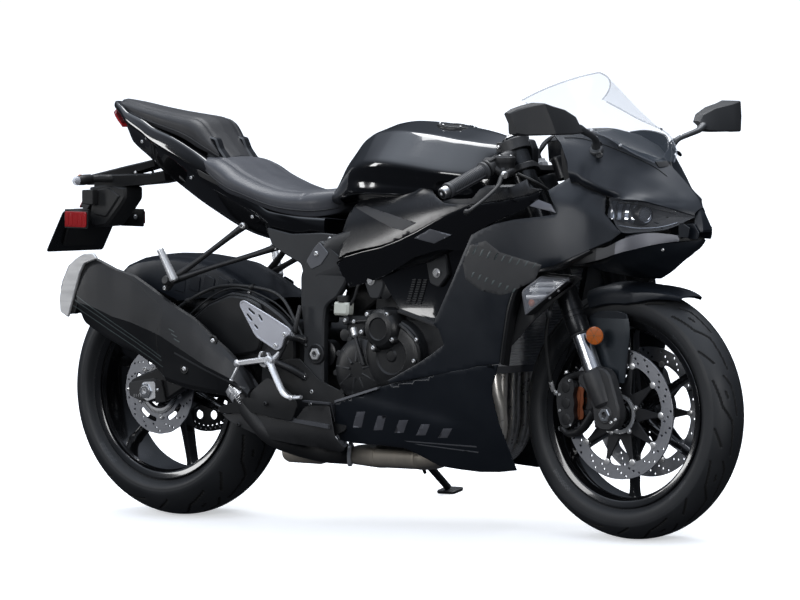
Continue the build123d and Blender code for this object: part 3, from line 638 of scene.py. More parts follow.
def turned_metal(name, color, rough, centre, metal=1.0, freq=900.0):
    """Metal with fine turning marks round a wheel centre (upright x, z in mm)."""
    m, nt, b = _nodes(name)
    b.inputs["Metallic"].default_value = metal
    tc = nt.nodes.new("ShaderNodeTexCoord")
    sub = nt.nodes.new("ShaderNodeVectorMath")
    sub.operation = "SUBTRACT"
    c = M @ Vector((centre[0], 0, centre[1]))
    sub.inputs[1].default_value = c
    nt.links.new(tc.outputs["Object"], sub.inputs[0])
    dot = nt.nodes.new("ShaderNodeVectorMath")
    dot.operation = "MULTIPLY"
    dot.inputs[1].default_value = (1, 0.0, 1)
    nt.links.new(sub.outputs[0], dot.inputs[0])
    ln = nt.nodes.new("ShaderNodeVectorMath")
    ln.operation = "LENGTH"
    nt.links.new(dot.outputs[0], ln.inputs[0])
    n = nt.nodes.new("ShaderNodeTexNoise")
    n.noise_dimensions = "1D"
    n.inputs["Scale"].default_value = freq
    n.inputs["Detail"].default_value = 3.0
    nt.links.new(ln.outputs["Value"], n.inputs["W"])
    nt.links.new(_range(nt, n.outputs["Fac"], rough * .75, rough * 1.3), b.inputs["Roughness"])
    nt.links.new(_mix(nt, _range(nt, n.outputs["Fac"], 0, 1), tuple(x * .85 for x in color),
                      tuple(min(1, x * 1.12) for x in color)), b.inputs["Base Color"])
    bp = nt.nodes.new("ShaderNodeBump")
    bp.inputs["Strength"].default_value = 0.25
    bp.inputs["Distance"].default_value = 0.0001
    nt.links.new(n.outputs["Fac"], bp.inputs["Height"])
    nt.links.new(bp.outputs["Normal"], b.inputs["Normal"])
    return m


def glassy(name, color, rough=0.03, alpha=0.25, trans=0.0, tint_noise=0.0, ior=1.45, coat=0.0):
    """Clear or tinted plastic; thin sheets use alpha."""
    m, nt, b = _nodes(name)
    b.inputs["Alpha"].default_value = alpha
    b.inputs["Transmission Weight"].default_value = trans
    b.inputs["IOR"].default_value = ior
    b.inputs["Coat Weight"].default_value = coat
    vec = _coord(nt)
    broad = _noise(nt, vec, 14.0, 3.0)
    nt.links.new(_mix(nt, _range(nt, broad, 0, 1), tuple(c * .94 for c in color), color),
                 b.inputs["Base Color"])
    nt.links.new(_range(nt, broad, rough * .8, rough * 1.3), b.inputs["Roughness"])
    return m


MATT = paint("matt_blue_black", (0.0105, 0.0135, 0.019), 0.38, metal=0.25, grain=2600, bump=0.05,
             vary=0.10, spec=0.55)
GLOSS_SOFT = paint("gloss_black_cover", (0.0040, 0.0042, 0.0052), 0.24, coat=0.35, coat_rough=0.22,
                   grain=500, vary=0.15)
GLOSS = paint("gloss_black", (0.0030, 0.0032, 0.0040), 0.10, coat=1.0, coat_rough=0.02,
              grain=900, vary=0.2, spec=0.5)
TANK_PAINT = paint("tank_gloss_black", (0.0030, 0.0034, 0.0044), 0.12, coat=1.0,
                   coat_rough=0.015, grain=1500, vary=0.2, spec=0.5)
STRIPE = paint("stripe_metallic_grey", (0.050, 0.050, 0.052), 0.55, metal=0.0, coat=0.0,
               coat_rough=0.05, grain=3000, vary=0.15)
FLAP = paint("satin_slate_grey", (0.020, 0.026, 0.033), 0.34, metal=0.3, grain=2600, bump=0.05,
             vary=0.10, spec=0.55)
SILVER_TRIM = paint("trim_metallic_grey", (0.145, 0.15, 0.165), 0.38, metal=0.5, coat=0.3,
                    grain=3000, vary=0.12)
DECAL = paint("decal_dark_grey", (0.030, 0.031, 0.033), 0.42, grain=1200, vary=0.12)
DECAL_LIGHT = paint("decal_grey_green", (0.060, 0.075, 0.076), 0.4, grain=1200, vary=0.15)
GRAPHIC = paint("graphic_blue_grey", (0.115, 0.118, 0.135), 0.38, metal=0.3, grain=1500,
                vary=0.12)
TRIM = paint("grained_black_plastic", (0.012, 0.0125, 0.0135), 0.52, grain=1400, bump=0.35,
             vary=0.2, spec=0.4)
TRIM_SOFT = paint("smooth_black_plastic", (0.010, 0.0105, 0.0115), 0.36, grain=1500, bump=0.08,
                  vary=0.15)
MIRROR_ARM = paint("mirror_arm_grey", (0.062, 0.065, 0.070), 0.42, metal=0.3, grain=1500, bump=0.1,
                   vary=0.15)
MIRROR_GREY = paint("mirror_housing_plastic", (0.020, 0.021, 0.023), 0.50, grain=1700, bump=0.3,
                    vary=0.15, spec=0.45)
# rider seat vinyl made lighter than seat_vinyl_side: painted highlight of the lit seat top
SEAT_LIT_VINYL = paint("seat_vinyl_lit_top", (0.048, 0.051, 0.060), 0.42, grain=1100, bump=0.55, vary=0.15,
             spec=0.45, bump_scale=1300)
SEAT_SIDE = paint("seat_vinyl_side", (0.018, 0.019, 0.022), 0.50, grain=900, bump=0.5, vary=0.18,
                  spec=0.45, bump_scale=1000)
RUBBER = paint("tyre_rubber", (0.0175, 0.0190, 0.0215), 0.52, grain=700, bump=0.25, vary=0.18,
               spec=0.45)
RUBBER_BAND = paint("tyre_sidewall_band", (0.042, 0.045, 0.050), 0.50, grain=900, bump=0.15,
                    vary=0.15)
# near-black rubber for the tread grooves: painted shade in the grooves
GROOVE_PAINTED_SHADE = paint("tyre_groove_painted_shade", (0.0035, 0.0038, 0.0042), 0.8, grain=700, vary=0.2)
GRIP = paint("grip_rubber", (0.040, 0.042, 0.047), 0.55, grain=800, bump=0.3, vary=0.15)
HOSE = paint("hose_rubber", (0.016, 0.017, 0.018), 0.45, grain=900, bump=0.2, vary=0.15)
WHEEL = paint("wheel_gloss_black", (0.0040, 0.0042, 0.0048), 0.16, coat=0.8, coat_rough=0.05,
              grain=900, vary=0.2)
BLACK_METAL = paint("satin_black_metal", (0.010, 0.0105, 0.012), 0.34, metal=0.2, grain=1500,
                    bump=0.06, vary=0.15, edge_lighten=0.35)
FORK = paint("fork_tube_black", (0.013, 0.014, 0.016), 0.26, metal=0.5, grain=1800, vary=0.12)
CASTING = paint("cast_black", (0.016, 0.0165, 0.018), 0.48, metal=0.15, grain=900, bump=0.5,
                vary=0.2, edge_lighten=0.4)
FRAME_PAINT = paint("frame_dark_grey", (0.022, 0.0235, 0.026), 0.44, metal=0.3, grain=1300,
                    bump=0.18, vary=0.15, edge_lighten=0.3)
ENGINE = paint("engine_black", (0.0085, 0.009, 0.010), 0.40, metal=0.15, grain=900, bump=0.35,
               vary=0.2, edge_lighten=0.35)
SILENCER = paint("silencer_black", (0.0155, 0.0165, 0.0185), 0.40, metal=0.35, grain=1600,
                 bump=0.12, vary=0.12)
STEEL = paint("brushed_steel", (0.50, 0.50, 0.50), 0.30, metal=1.0, grain=500, bump=0.12,
              vary=0.10, stretch=(1, 1, 14))
END_CAP = paint("end_cap_steel", (0.78, 0.78, 0.78), 0.36, metal=0.75, grain=500, bump=0.1,
                vary=0.08, stretch=(1, 1, 12))
ALU = paint("satin_aluminium", (0.74, 0.75, 0.77), 0.40, metal=0.72, grain=900, bump=0.15,
            vary=0.10)
HEEL = paint("heel_plate_silver", (0.56, 0.57, 0.62), 0.42, metal=0.55, grain=1500, bump=0.1,
             vary=0.06)
BOLT = paint("bolt_zinc", (0.80, 0.80, 0.80), 0.30, metal=0.75, grain=1200, vary=0.12)
CHROME = paint("polished_chrome", (0.84, 0.85, 0.87), 0.12, metal=0.9, grain=600, vary=0.05)
INNER_TUBE = paint("fork_inner_tube", (0.62, 0.63, 0.66), 0.22, metal=1.0, grain=900, vary=0.06)
HEADER = paint("header_steel", (0.80, 0.77, 0.72), 0.30, metal=0.7, grain=60, vary=0.25)
CATALYST = paint("catalyst_titanium", (0.46, 0.42, 0.36), 0.45, metal=0.5, grain=500,
                 bump=0.1, vary=0.08, stretch=(14, 1, 1))
# light grey of aluminium fins, made lighter still for fins that sit in shade: partly own colour, partly painted light
FIN_LIGHTENED = paint("radiator_fins_lightened", (0.50, 0.51, 0.53), 0.50, metal=0.3, grain=700, vary=0.2)
COPPER = paint("pad_copper", (0.34, 0.105, 0.045), 0.42, metal=0.5, grain=900, vary=0.15)
CHAIN = paint("chain_dark_steel", (0.055, 0.055, 0.056), 0.36, metal=0.9, grain=900, vary=0.25)
PLATE = paint("plate_blank_black", (0.0045, 0.0050, 0.0060), 0.30, grain=900, vary=0.15)
DISC_F = turned_metal("front_disc_steel", (0.46, 0.47, 0.50), 0.38, AXF)
DISC_R = turned_metal("rear_disc_steel", (0.42, 0.43, 0.46), 0.38, AXR)
CARRIER = paint("disc_carrier_dark", (0.030, 0.031, 0.034), 0.42, metal=0.6, grain=900,
                bump=0.2, vary=0.15)
RED_LENS = paint("red_lens", (0.33, 0.010, 0.012), 0.16, coat=1.0, grain=300, vary=0.25)
RED_DARK = paint("red_reflector_dark", (0.085, 0.003, 0.004), 0.20, coat=0.8, grain=300,
                 vary=0.25)
AMBER = paint("amber_reflector", (0.46, 0.105, 0.010), 0.30, coat=0.8, grain=500, vary=0.3)
AMBER_RIM = paint("amber_rim", (0.16, 0.085, 0.030), 0.35, grain=500, vary=0.2)
SCREEN = glassy("screen_clear", (0.16, 0.19, 0.23), 0.02, alpha=0.11)
LENS = glassy("lamp_lens", (0.30, 0.32, 0.36), 0.03, alpha=0.30)
LENS_CLEAR = glassy("signal_lens", (0.62, 0.64, 0.70), 0.06, alpha=0.55)
LAMP_LENS = glassy("headlamp_cover", (0.16, 0.17, 0.19), 0.03, alpha=0.10)
SIGNAL_LENS = glassy("signal_cover", (0.40, 0.42, 0.47), 0.05, alpha=0.22)
LAMP_DARK = paint("lamp_inner_black", (0.17, 0.176, 0.19), 0.25, grain=500, vary=0.2)
LAMP_CHROME = paint("lamp_chrome", (0.60, 0.62, 0.66), 0.08, metal=1.0, grain=300, vary=0.15)
BULB = paint("orange_bulb", (0.65, 0.24, 0.05), 0.2, coat=0.6, grain=300, vary=0.2)
RESERVOIR = paint("reservoir_white", (0.62, 0.64, 0.58), 0.30, grain=200, vary=0.08)
MIRROR_GLASS = paint("mirror_glass", (0.75, 0.77, 0.80), 0.03, metal=1.0, grain=100, vary=0.03)
# near-black for dark joints, and as painted shade inside slots, intakes, recesses and the middle of the bike
DARK_JOINTS_AND_SHADE = paint("inner_dark_joints_and_painted_shade", (0.0040, 0.0042, 0.0046), 0.6, grain=300, vary=0.2)
DISPLAY = paint("display_glass", (0.008, 0.009, 0.011), 0.08, coat=1.0, grain=300, vary=0.2)

# ------------------------------------------------------------------ stage, light, camera
scene = bpy.context.scene
scene.view_settings.view_transform = "Standard"
scene.view_settings.exposure = 0.0


def up_pt(x, y, z):
    return M @ Vector((x, y, z))


def up_dir(v):
    return (ROT.to_3x3() @ Vector(v)).normalized()


cam_data = bpy.data.cameras.new("camera")
cam = bpy.data.objects.new("camera", cam_data)
scene.collection.objects.link(cam)
scene.camera = cam
cam_data.sensor_width = 36.0
cam_data.sensor_fit = "HORIZONTAL"
cam_data.lens = 6253.338 * 36.0 / 800.0
cam_data.clip_end = 200.0
_r = up_dir((0.7884438, 0.6150999, -0.0028908))
_u = up_dir((-0.0216989, 0.0325101, 0.9992358))
_b = up_dir((0.6147239, -0.7877786, 0.0389794))
cam.matrix_world = Matrix.Translation(up_pt(10062.079, -12004.029, 1145.785)) @ \
    Matrix((_r, _u, _b)).transposed().to_4x4()

world = bpy.data.worlds.new("studio")
scene.world = world
world.use_nodes = True
wt = world.node_tree
bg = wt.nodes["Background"]
wout = next(n for n in wt.nodes if n.type == "OUTPUT_WORLD")
wtc = wt.nodes.new("ShaderNodeTexCoord")
wsep = wt.nodes.new("ShaderNodeSeparateXYZ")
wt.links.new(wtc.outputs["Generated"], wsep.inputs[0])
wramp = wt.nodes.new("ShaderNodeValToRGB")
wt.links.new(wsep.outputs["Z"], wramp.inputs["Fac"])
els = wramp.color_ramp.elements
els[0].position, els[0].color = 0.0, (0.030, 0.033, 0.040, 1)
els[1].position, els[1].color = 1.0, (1.30, 1.42, 1.62, 1)
for pos, c in ((0.10, (0.040, 0.045, 0.055, 1)), (0.42, (0.11, 0.125, 0.15, 1)),
               (0.62, (0.42, 0.46, 0.54, 1)), (0.78, (1.00, 1.10, 1.26, 1))):
    e = els.new(pos)
    e.color = c
wt.links.new(wramp.outputs["Color"], bg.inputs["Color"])
bg.inputs["Strength"].default_value = 1.0
white = wt.nodes.new("ShaderNodeBackground")
white.inputs["Color"].default_value = (1.0, 1.0, 1.0, 1)
white.inputs["Strength"].default_value = 1.05
wmix = wt.nodes.new("ShaderNodeMixShader")
wlp = wt.nodes.new("ShaderNodeLightPath")
wt.links.new(wlp.outputs["Is Camera Ray"], wmix.inputs["Fac"])
wt.links.new(bg.outputs[0], wmix.inputs[1])
wt.links.new(white.outputs[0], wmix.inputs[2])
wt.links.new(wmix.outputs[0], wout.inputs["Surface"])


def plane_xy(name, size, z=0.0, mat=None):
    me = bpy.data.meshes.new(name)
    s = size / 2
    me.from_pydata([(-s, -s, z), (s, -s, z), (s, s, z), (-s, s, z)], [], [(0, 1, 2, 3)])
    me.materials.append(mat)
    ob = bpy.data.objects.new(name, me)
    scene.collection.objects.link(ob)
    return ob


FLOOR = paint("floor_white", (0.88, 0.89, 0.91), 0.7, grain=3, vary=0.008, rvary=0.05, spec=0.1)
_fb = FLOOR.node_tree.nodes["Principled BSDF"]
_fb.inputs["Emission Color"].default_value = (0.96, 0.98, 1.0, 1)
_fb.inputs["Emission Strength"].default_value = 0.50
floor = plane_xy("floor", 160.0, 0.0, FLOOR)
floor.visible_glossy = False
floor.visible_diffuse = False


def area(name, where, aim, size, power, size_y=None, color=(1, 1, 1)):
    """Soft box: where and aim in row metres."""
    d = bpy.data.lights.new(name, "AREA")
    d.shape = "RECTANGLE"
    d.size, d.size_y = size, size_y or size
    d.energy = power
    d.color = color
    ob = bpy.data.objects.new(name, d)
    scene.collection.objects.link(ob)
    ob.location = where
    ob.rotation_euler = (Vector(aim) - Vector(where)).to_track_quat("-Z", "Y").to_euler()
    return ob


area("top_box", (-0.3, 1.4, 4.0), (0.0, 0.0, 0.6), 3.6, 150, 2.0)
area("right_strip", (0.2, -5.2, 2.9), (0.1, 0, 0.6), 4.2, 95, 1.1)
area("front_strip", (4.6, -1.6, 1.6), (0.5, 0, 0.6), 0.7, 46, 2.0)
area("rear_strip", (-4.4, -2.6, 2.2), (-0.4, 0, 0.7), 0.9, 45, 2.0)


# ------------------------------------------------------------------ wheels
def tread_profile(half, flank, crown, radius, n=26):
    """Half of the tyre's outside (y, radius), from the crown's middle to the bead."""
    y0, r0 = flank[-1]
    # crown: a circle through the top and the shoulder
    d = radius - r0
    R = (y0 * y0 + d * d) / (2 * d)
    a = math.asin(min(1.0, y0 / R))
    top = [(R * math.sin(a * t), radius - R + R * math.cos(a * t)) for t in np.linspace(0, 1, n)]
    side = spline([(p[0], p[1], 0) for p in [top[-2], flank[-1]] + list(reversed(flank[:-1]))], 6)
    side = [(p[0], p[1]) for p in side[6:]]
    return top + side[1:]


def arc_len(prof):
    P = np.array(prof)
    return np.concatenate([[0], np.cumsum(np.hypot(*np.diff(P, axis=0).T))])


def tyre_mesh(name, axle, half, flank, crown, radius, grooves, seg, body, band):
    """Tyre whose tread grooves are pressed into a fine grid: grooves give (t, s) lines in
    turns and distance from the crown's middle."""
    prof = tread_profile(half, flank, crown, radius)
    s = arc_len(prof)
    shoulder = s[25]
    P = np.array(prof)
    # even rows over the tread, coarser on the sidewall
    sq = np.concatenate([np.linspace(0, shoulder * 1.04, 34, endpoint=False),
                         np.linspace(shoulder * 1.04, s[-1], 18)])
    y = np.interp(sq, s, P[:, 0])
    r = np.interp(sq, s, P[:, 1])
    t = np.gradient(np.stack([y, r], 1), axis=0)
    t /= np.linalg.norm(t, axis=1, keepdims=True)
    nrm = np.stack([-t[:, 1], t[:, 0]], 1)          # outward (y, r)
    nrm[nrm[:, 1] < 0] *= -1
    full_s = np.concatenate([-sq[::-1], sq[1:]])
    fy = np.concatenate([-y[::-1], y[1:]])
    fr = np.concatenate([r[::-1], r[1:]])
    ny = np.concatenate([-nrm[::-1, 0], nrm[1:, 0]])
    nr = np.concatenate([nrm[::-1, 1], nrm[1:, 1]])
    A = np.arange(seg) / seg
    cut = np.zeros((seg, len(full_s)))
    circ = 2 * math.pi * radius
    for pts, width, depth, rep in grooves:
        for a, b in zip(pts, pts[1:]):
            for sg in (1, -1):
                for shift_t in (0.0,):
                    a_t, a_s, b_t, b_s = a[0], a[1] * sg, b[0], b[1] * sg
                    off = 0.5 if sg < 0 else 0.0
                    # distance of each grid point (folded into one pitch) to the line
                    T = (A * rep + off) % 1.0
                    for k in (-1, 0, 1):
                        u = (T[:, None] + k) * circ / rep
                        du, ds = (b_t - a_t) * circ / rep, b_s - a_s
                        L2 = du * du + ds * ds
                        pu, ps = u - a_t * circ / rep, full_s[None] - a_s
                        q = np.clip((pu * du + ps * ds) / L2, 0, 1)
                        d = np.hypot(pu - q * du, ps - q * ds)
                        c = depth * np.clip((width / 2 + .7 - d) / .9, 0, 1)
                        cut = np.maximum(cut, c)
    # shallow marks on the sidewall: two steps and a fine rib
    rib = np.zeros(len(full_s))
    for s0 in (shoulder * 1.10, s[-1] * .965):
        rib += 0.5 * np.exp(-((np.abs(full_s) - s0) / 1.3) ** 2)
    h = -cut + rib[None]
    ang = A * 2 * math.pi
    rr = fr[None] + h * nr[None]
    yy = fy[None] + h * ny[None]
    v = np.stack([axle[0] + rr * np.cos(ang)[:, None], yy,
                  axle[1] + rr * np.sin(ang)[:, None]], -1)
    k = len(full_s)
    idx = np.arange(seg * k).reshape(seg, k)
    nx = np.roll(idx, -1, axis=0)
    f = np.stack([idx[:, :-1], idx[:, 1:], nx[:, 1:], nx[:, :-1]], -1).reshape(-1, 4)
    # faces deep in a groove get the near-black groove rubber: painted shade
    depthq = np.maximum(cut[:, :-1], cut[:, 1:])
    deep = (np.maximum(depthq, np.roll(depthq, -1, axis=0)) > 1.2).reshape(-1)
    mats = deep.astype(int)
    # slanted blocks of a lighter band low on the sidewall
    sm = (np.abs(full_s[:-1]) + np.abs(full_s[1:])) / 2
    lo, hi = band
    slant = (A[:, None] * 2 * math.pi * 230 + (sm[None] - lo) * .9)
    inband = (sm[None] > lo) & (sm[None] < hi) & ((slant % 5.5) < 2.6)
    seg_on = np.zeros(seg, bool)
    for c0 in BAND_AT:
        dd = np.abs(((A - c0 + .5) % 1.0) - .5)
        seg_on |= dd < 0.022
    mats[(inband & seg_on[:, None]).reshape(-1)] = 2
    g = Geo()
    g.v = [tuple(p) for p in v.reshape(-1, 3)]
    g.f = [tuple(q) for q in f]
    g.m = list(mats)
    # inner lip down to the rim on each side
    for sg in (-1, 1):
        yb, rb = P[-1]
        g.add(lathe([(sg * yb, rb), (sg * (yb - 3), rb - 5), (sg * (yb - 8), rb - 8)],
                    axle, 120, closed=False))
    return piece(name, g, [RUBBER, GROOVE_PAINTED_SHADE, RUBBER_BAND], body=body,
                 replaces=name.replace("_tread", ""), angle=40, weld=True)


BAND_AT = (0.12, 0.37, 0.62, 0.87)
# groove lines (turn fraction within a pitch, distance from the middle), width, depth, pitches
ZIG_F = [([(0.05, 14), (0.45, 22), (0.62, 46), (0.95, 60)], 3.4, 2.6, 9),
         ([(0.52, 8), (0.86, 16), (0.98, 30)], 3.0, 2.4, 9),
         ([(0.15, 44), (0.36, 66)], 3.2, 2.4, 9),
         ([(0.72, 30), (0.80, 34)], 3.2, 2.0, 9)]
ZIG_R = [([(0.05, 18), (0.45, 30), (0.62, 62), (0.95, 84)], 3.6, 2.8, 9),
         ([(0.52, 8), (0.88, 18), (1.0, 40)], 3.2, 2.4, 9),
         ([(0.12, 56), (0.34, 90)], 3.4, 2.4, 9),
         ([(0.72, 40), (0.80, 46)], 3.2, 2.0, 9)]
FLANK_F = [(46, 226), (57, 238), (60, 252), (58.5, 268)]
FLANK_R = [(70, 227), (85, 240), (88.5, 251), (86.8, 262)]
tyre_mesh("front_tyre_tread", AXF, 46, FLANK_F, 69.5, RF, ZIG_F, 900,
          "front_wheel", (92, 104))
tyre_mesh("rear_tyre_tread", AXR, 70, FLANK_R, 99.6, RR, ZIG_R, 900,
          "rear_wheel", (126, 139))


def barrel(axle, half, n=160):
    """Rim barrel with stepped flanges and a dropped well, as the real one is turned."""
    prof = []
    edge = [(half - 3, 206.5), (half + 0.5, 207.5), (half + 2.2, 210.5), (half + 2.6, 216),
            (half + 4.2, 219.5), (half + 4.4, 223), (half + 3.0, 224.3), (half + 1.2, 223.4),
            (half + .2, 220), (half - 1.5, 217.6)]
    well = [(half - 6, 216.6), (half - 12, 214.5), (half - 17, 210), (half * .35, 208.5),
            (0, 208.3)]
    inner = [(half - 3, 206.5), (half - 8, 203), (half - 13, 199.5), (half * .4, 198.4),
             (14, 198), (0, 198)]
    side = edge + well
    outer = side + [(-y, r) for y, r in reversed(side[:-1])]
    # outer runs from right edge through the well to the left edge; inner returns
    inn = [(-y, r) for y, r in inner[1:]] + [(y, r) for y, r in reversed(inner[1:-1])]
    return lathe(outer + inn, axle, n, closed=True)


def spoke(axle, ang, hub_r, half_w, root, mid, tip, depth, groove=2.2):
    """Cast spoke with rounded flanks and a long shallow groove along each face."""
    a = math.radians(ang)
    c, s = math.cos(a), math.sin(a)
    rows = []
    R = np.concatenate([np.linspace(hub_r - 6, 198, 16), [202.5]])
    for r in R:
        t = (r - hub_r) / (198 - hub_r)
        w = np.interp(t, [-.1, .12, .55, .9, 1.05], [root, (root + mid) / 2, mid, tip * .9, tip * 1.6])
        d = np.interp(t, [-.1, .3, 1.0], [depth[0], depth[1], depth[2]])
        gv = groove * np.clip(min((t + .02) * 6, (1.0 - t) * 7), 0, 1)
        prof = [(-w, -d * .45), (-w * .88, -d * .86), (-w * .62, -d), (-w * .38, -d + gv),
                (w * .38, -d + gv), (w * .62, -d), (w * .88, -d * .86), (w, -d * .45),
                (w, d * .45), (w * .88, d * .86), (w * .62, d), (w * .38, d - gv),
                (-w * .38, d - gv), (-w * .62, d), (-w * .88, d * .86), (-w, d * .45)]
        rows.append([(axle[0] + r * c - u * s, y, axle[1] + r * s + u * c) for u, y in prof])
    return grid(rows, ring=True, cap=True)


def wheel_rim(name, axle, half, hub, first, body, depth, widths, valve):
    g = Geo()
    g.add(barrel(axle, half))
    for k in range(6):
        g.add(spoke(axle, first + 60 * k, hub[0], half, *widths, depth))
    r, h = hub
    g.add(lathe([(-h, 16), (-h, r * .62), (-h + 2, r * .68), (-h * .62, r * .74), (-h * .5, r * .98),
                 (-h * .42, r + 3), (-14, r + 6), (14, r + 6), (h * .42, r + 3), (h * .5, r * .98),
                 (h * .62, r * .74), (h - 2, r * .68), (h, r * .62), (h, 16), (0, 14.5)],
                axle, 72, closed=True))
    # valve stem
    a = math.radians(valve)
    p = Vector((axle[0] + 200 * math.cos(a), 0, axle[1] + 200 * math.sin(a)))
    d = Vector((-math.cos(a), -.55, -math.sin(a))).normalized()
    g.add(spun(p, p + d, [(-4, 6), (3, 5.5), (8, 3.6), (24, 3.4), (24.5, 4.4), (31, 4.4),
                          (32, 3.4)], n=14), 1)
    # balance weights and bearing seals
    g.add(lathe([(h + .4, 18), (h + .4, r * .55), (h - 2, r * .6), (h - 2, 18)], axle, 48), 1)
    g.add(lathe([(-h - .4, 18), (-h - .4, r * .55), (-h + 2, r * .6), (-h + 2, 18)], axle, 48), 1)
    return piece(name, g, [WHEEL, BLACK_METAL], body=body,
                 replaces=name.replace("_cast", ""), angle=32)


wheel_rim("front_rim_cast", AXF, 46, (38, 56), -90, "front_wheel", (19, 15, 13),
          (15, 8.5, 9), 20)
wheel_rim("rear_rim_cast", AXR, 70, (52, 76), -79, "rear_wheel", (24, 18, 15),
          (17, 9.5, 10), 40)


def drilled_disc(name, axle, y, r_out, r_in, t, rows_at, body, replaces_node, mat, wave=0.0,
                 pattern="front"):
    """Brake disc: flat ring with slanted rows of holes and a scalloped inner edge."""
    n = 240
    ring = []
    for i in range(n):
        a = 2 * math.pi * i / n
        r = r_out - wave * (0.5 - 0.5 * math.cos(a * 10)) ** 3
        ring.append((r * math.cos(a), r * math.sin(a)))
    inner = []
    for i in range(n):
        a = 2 * math.pi * i / n
        lob = (0.5 + 0.5 * math.cos(a * 10)) ** 5
        r = r_in - 7 * lob
        inner.append((r * math.cos(a), r * math.sin(a)))
    holes = [inner]
    if pattern == "front":
        for k in range(20):
            for j, (r, off) in enumerate(((r_in + 9, -6.5), (r_in + 17.5, -1.5),
                                          (r_in + 26, 4.5))):
                a = math.radians(k * 18 + off * .9 + (2.5 if k % 2 else 0))
                cx, cz = r * math.cos(a), r * math.sin(a)
                rad = 3.1
                holes.append([(cx + rad * math.cos(b), cz + rad * math.sin(b))
                              for b in [2 * math.pi * q / 10 for q in range(10)]])
    else:
        for k in range(12):
            a0 = k * 30
            line = [(r, a0 + off) for r, off in ((80, 0), (86, 5), (93, 8), (101, 9.5))]
            pts = [(r * math.cos(math.radians(a)), r * math.sin(math.radians(a)))
                   for r, a in line]
            P = np.array(pts)
            tg = np.gradient(P, axis=0)
            tg /= np.linalg.norm(tg, axis=1, keepdims=True)
            nn = np.stack([-tg[:, 1], tg[:, 0]], 1) * 2.2
            slot_ = [tuple(p) for p in P + nn] + [tuple(P[-1] + tg[-1] * 2.2)] + \
                [tuple(p) for p in (P - nn)[::-1]] + [tuple(P[0] - tg[0] * 2.2)]
            holes.append(slot_)
            for r, off in ((84, 17), (97, 21)):
                a = math.radians(a0 + off)
                holes.append([(r * math.cos(a) + 2.6 * math.cos(b), r * math.sin(a) + 2.6 *
                               math.sin(b)) for b in [2 * math.pi * q / 10 for q in range(10)]])
    place = lambda a, b, yy: (axle[0] + a, yy, axle[1] + b)
    return slab(ring, y - t / 2, y + t / 2, holes, bev=0.35, place=place)


def carrier(axle, y, t, r_out, r_hub, arms, first, hub_bolts):
    """Disc carrier: a star of forked arms out to the bobbins, round the hub."""
    g = []
    n = arms
    outer = []
    for k in range(n):
        a = math.radians(first + 360 / n * k)
        w = 0.04
        for da, r in ((-math.pi / n, r_hub + 15), (-w * 1.35, r_out - 17), (-w, r_out),
                      (w, r_out), (w * 1.35, r_out - 17)):
            outer.append((r * math.cos(a + da), r * math.sin(a + da)))
    outer = rounded(outer, 7, 3)
    hole = [(r_hub * math.cos(2 * math.pi * i / 60), r_hub * math.sin(2 * math.pi * i / 60))
            for i in range(60)]
    holes = [hole]
    for k in range(n):
        a = math.radians(first + 360 / n * (k + .5))
        rr = r_hub + 8
        holes.append([(rr * math.cos(a) + 3.2 * math.cos(b), rr * math.sin(a) + 3.2 *
                       math.sin(b)) for b in [2 * math.pi * q / 10 for q in range(10)]])
    place = lambda a, b, yy: (axle[0] + a, yy, axle[1] + b)
    return slab(outer, y - t / 2, y + t / 2, holes, bev=0.8, place=place)


g = Geo()
for s in (-1, 1):
    y = s * 59.5
    g.add(drilled_disc("", AXF, y, 155, 122, 5.0, None, "", "", None), 0)
    g.add(carrier(AXF, y + s * 1.0, 5.0, 121, 40, 10, 0, 5), 1)
    for k in range(10):
        a = math.radians(36 * k)
        p = Vector((AXF[0] + 119.5 * math.cos(a), y - 4.2, AXF[1] + 119.5 * math.sin(a)))
        g.add(spun(p, p + Vector((0, 1, 0)), [(0, 5.6), (.6, 7.6), (1.6, 7.8), (1.7, 4.0),
                                              (6.7, 4.0), (6.8, 7.8), (7.8, 7.6), (8.4, 5.6)],
                   n=20), 2)
    for k in range(5):
        a = math.radians(72 * k + 18)
        p = Vector((AXF[0] + 50 * math.cos(a), y + s * 3.5, AXF[1] + 50 * math.sin(a)))
        g.add(bolt(p, (0, s, 0), 6.2, 5.5, "dome"), 2)
    # sensor ring on the right side
piece("front_discs_drilled", g, [DISC_F, CARRIER, BOLT], body="front_wheel",
      replaces="front_discs", angle=30)
g = Geo()
ring = []
for i in range(96):
    a0 = 2 * math.pi * i / 96
    for da, r in ((0, 47.5), (.022, 47.5), (.026, 44.5), (.06, 44.5)):
        ring.append((r * math.cos(a0 + da), r * math.sin(a0 + da)))
hole = [(38 * math.cos(2 * math.pi * i / 60), 38 * math.sin(2 * math.pi * i / 60))
        for i in range(60)]
g.add(slab(ring, -65.5, -63.6, [hole], bev=0.2,
           place=lambda a, b, yy: (AXF[0] + a, yy, AXF[1] + b)), 0)
piece("front_sensor_ring", g, [ALU], body="front_wheel", angle=30)

g = Geo()
def around(r, a, r2, a2=0):
    """Point at radius r2 and angle a2 about a point at radius r and angle a (degrees)."""
    return (r * math.cos(math.radians(a)) + r2 * math.cos(math.radians(a2)),
            r * math.sin(math.radians(a)) + r2 * math.sin(math.radians(a2)))


def kidney(r, a, half, w, n=10):
    """Curved slot of width 2w along radius r, from a-half to a+half degrees."""
    pts = [around(r + w, a + t, 0) for t in np.linspace(-half, half, n)]
    pts += [around(r, a + half, w, a + half + q) for q in (30, 70, 110, 150)]
    pts += [around(r - w, a + t, 0) for t in np.linspace(half, -half, n)]
    pts += [around(r, a - half, w, a - half + q) for q in (210, 250, 290, 330)]
    return pts


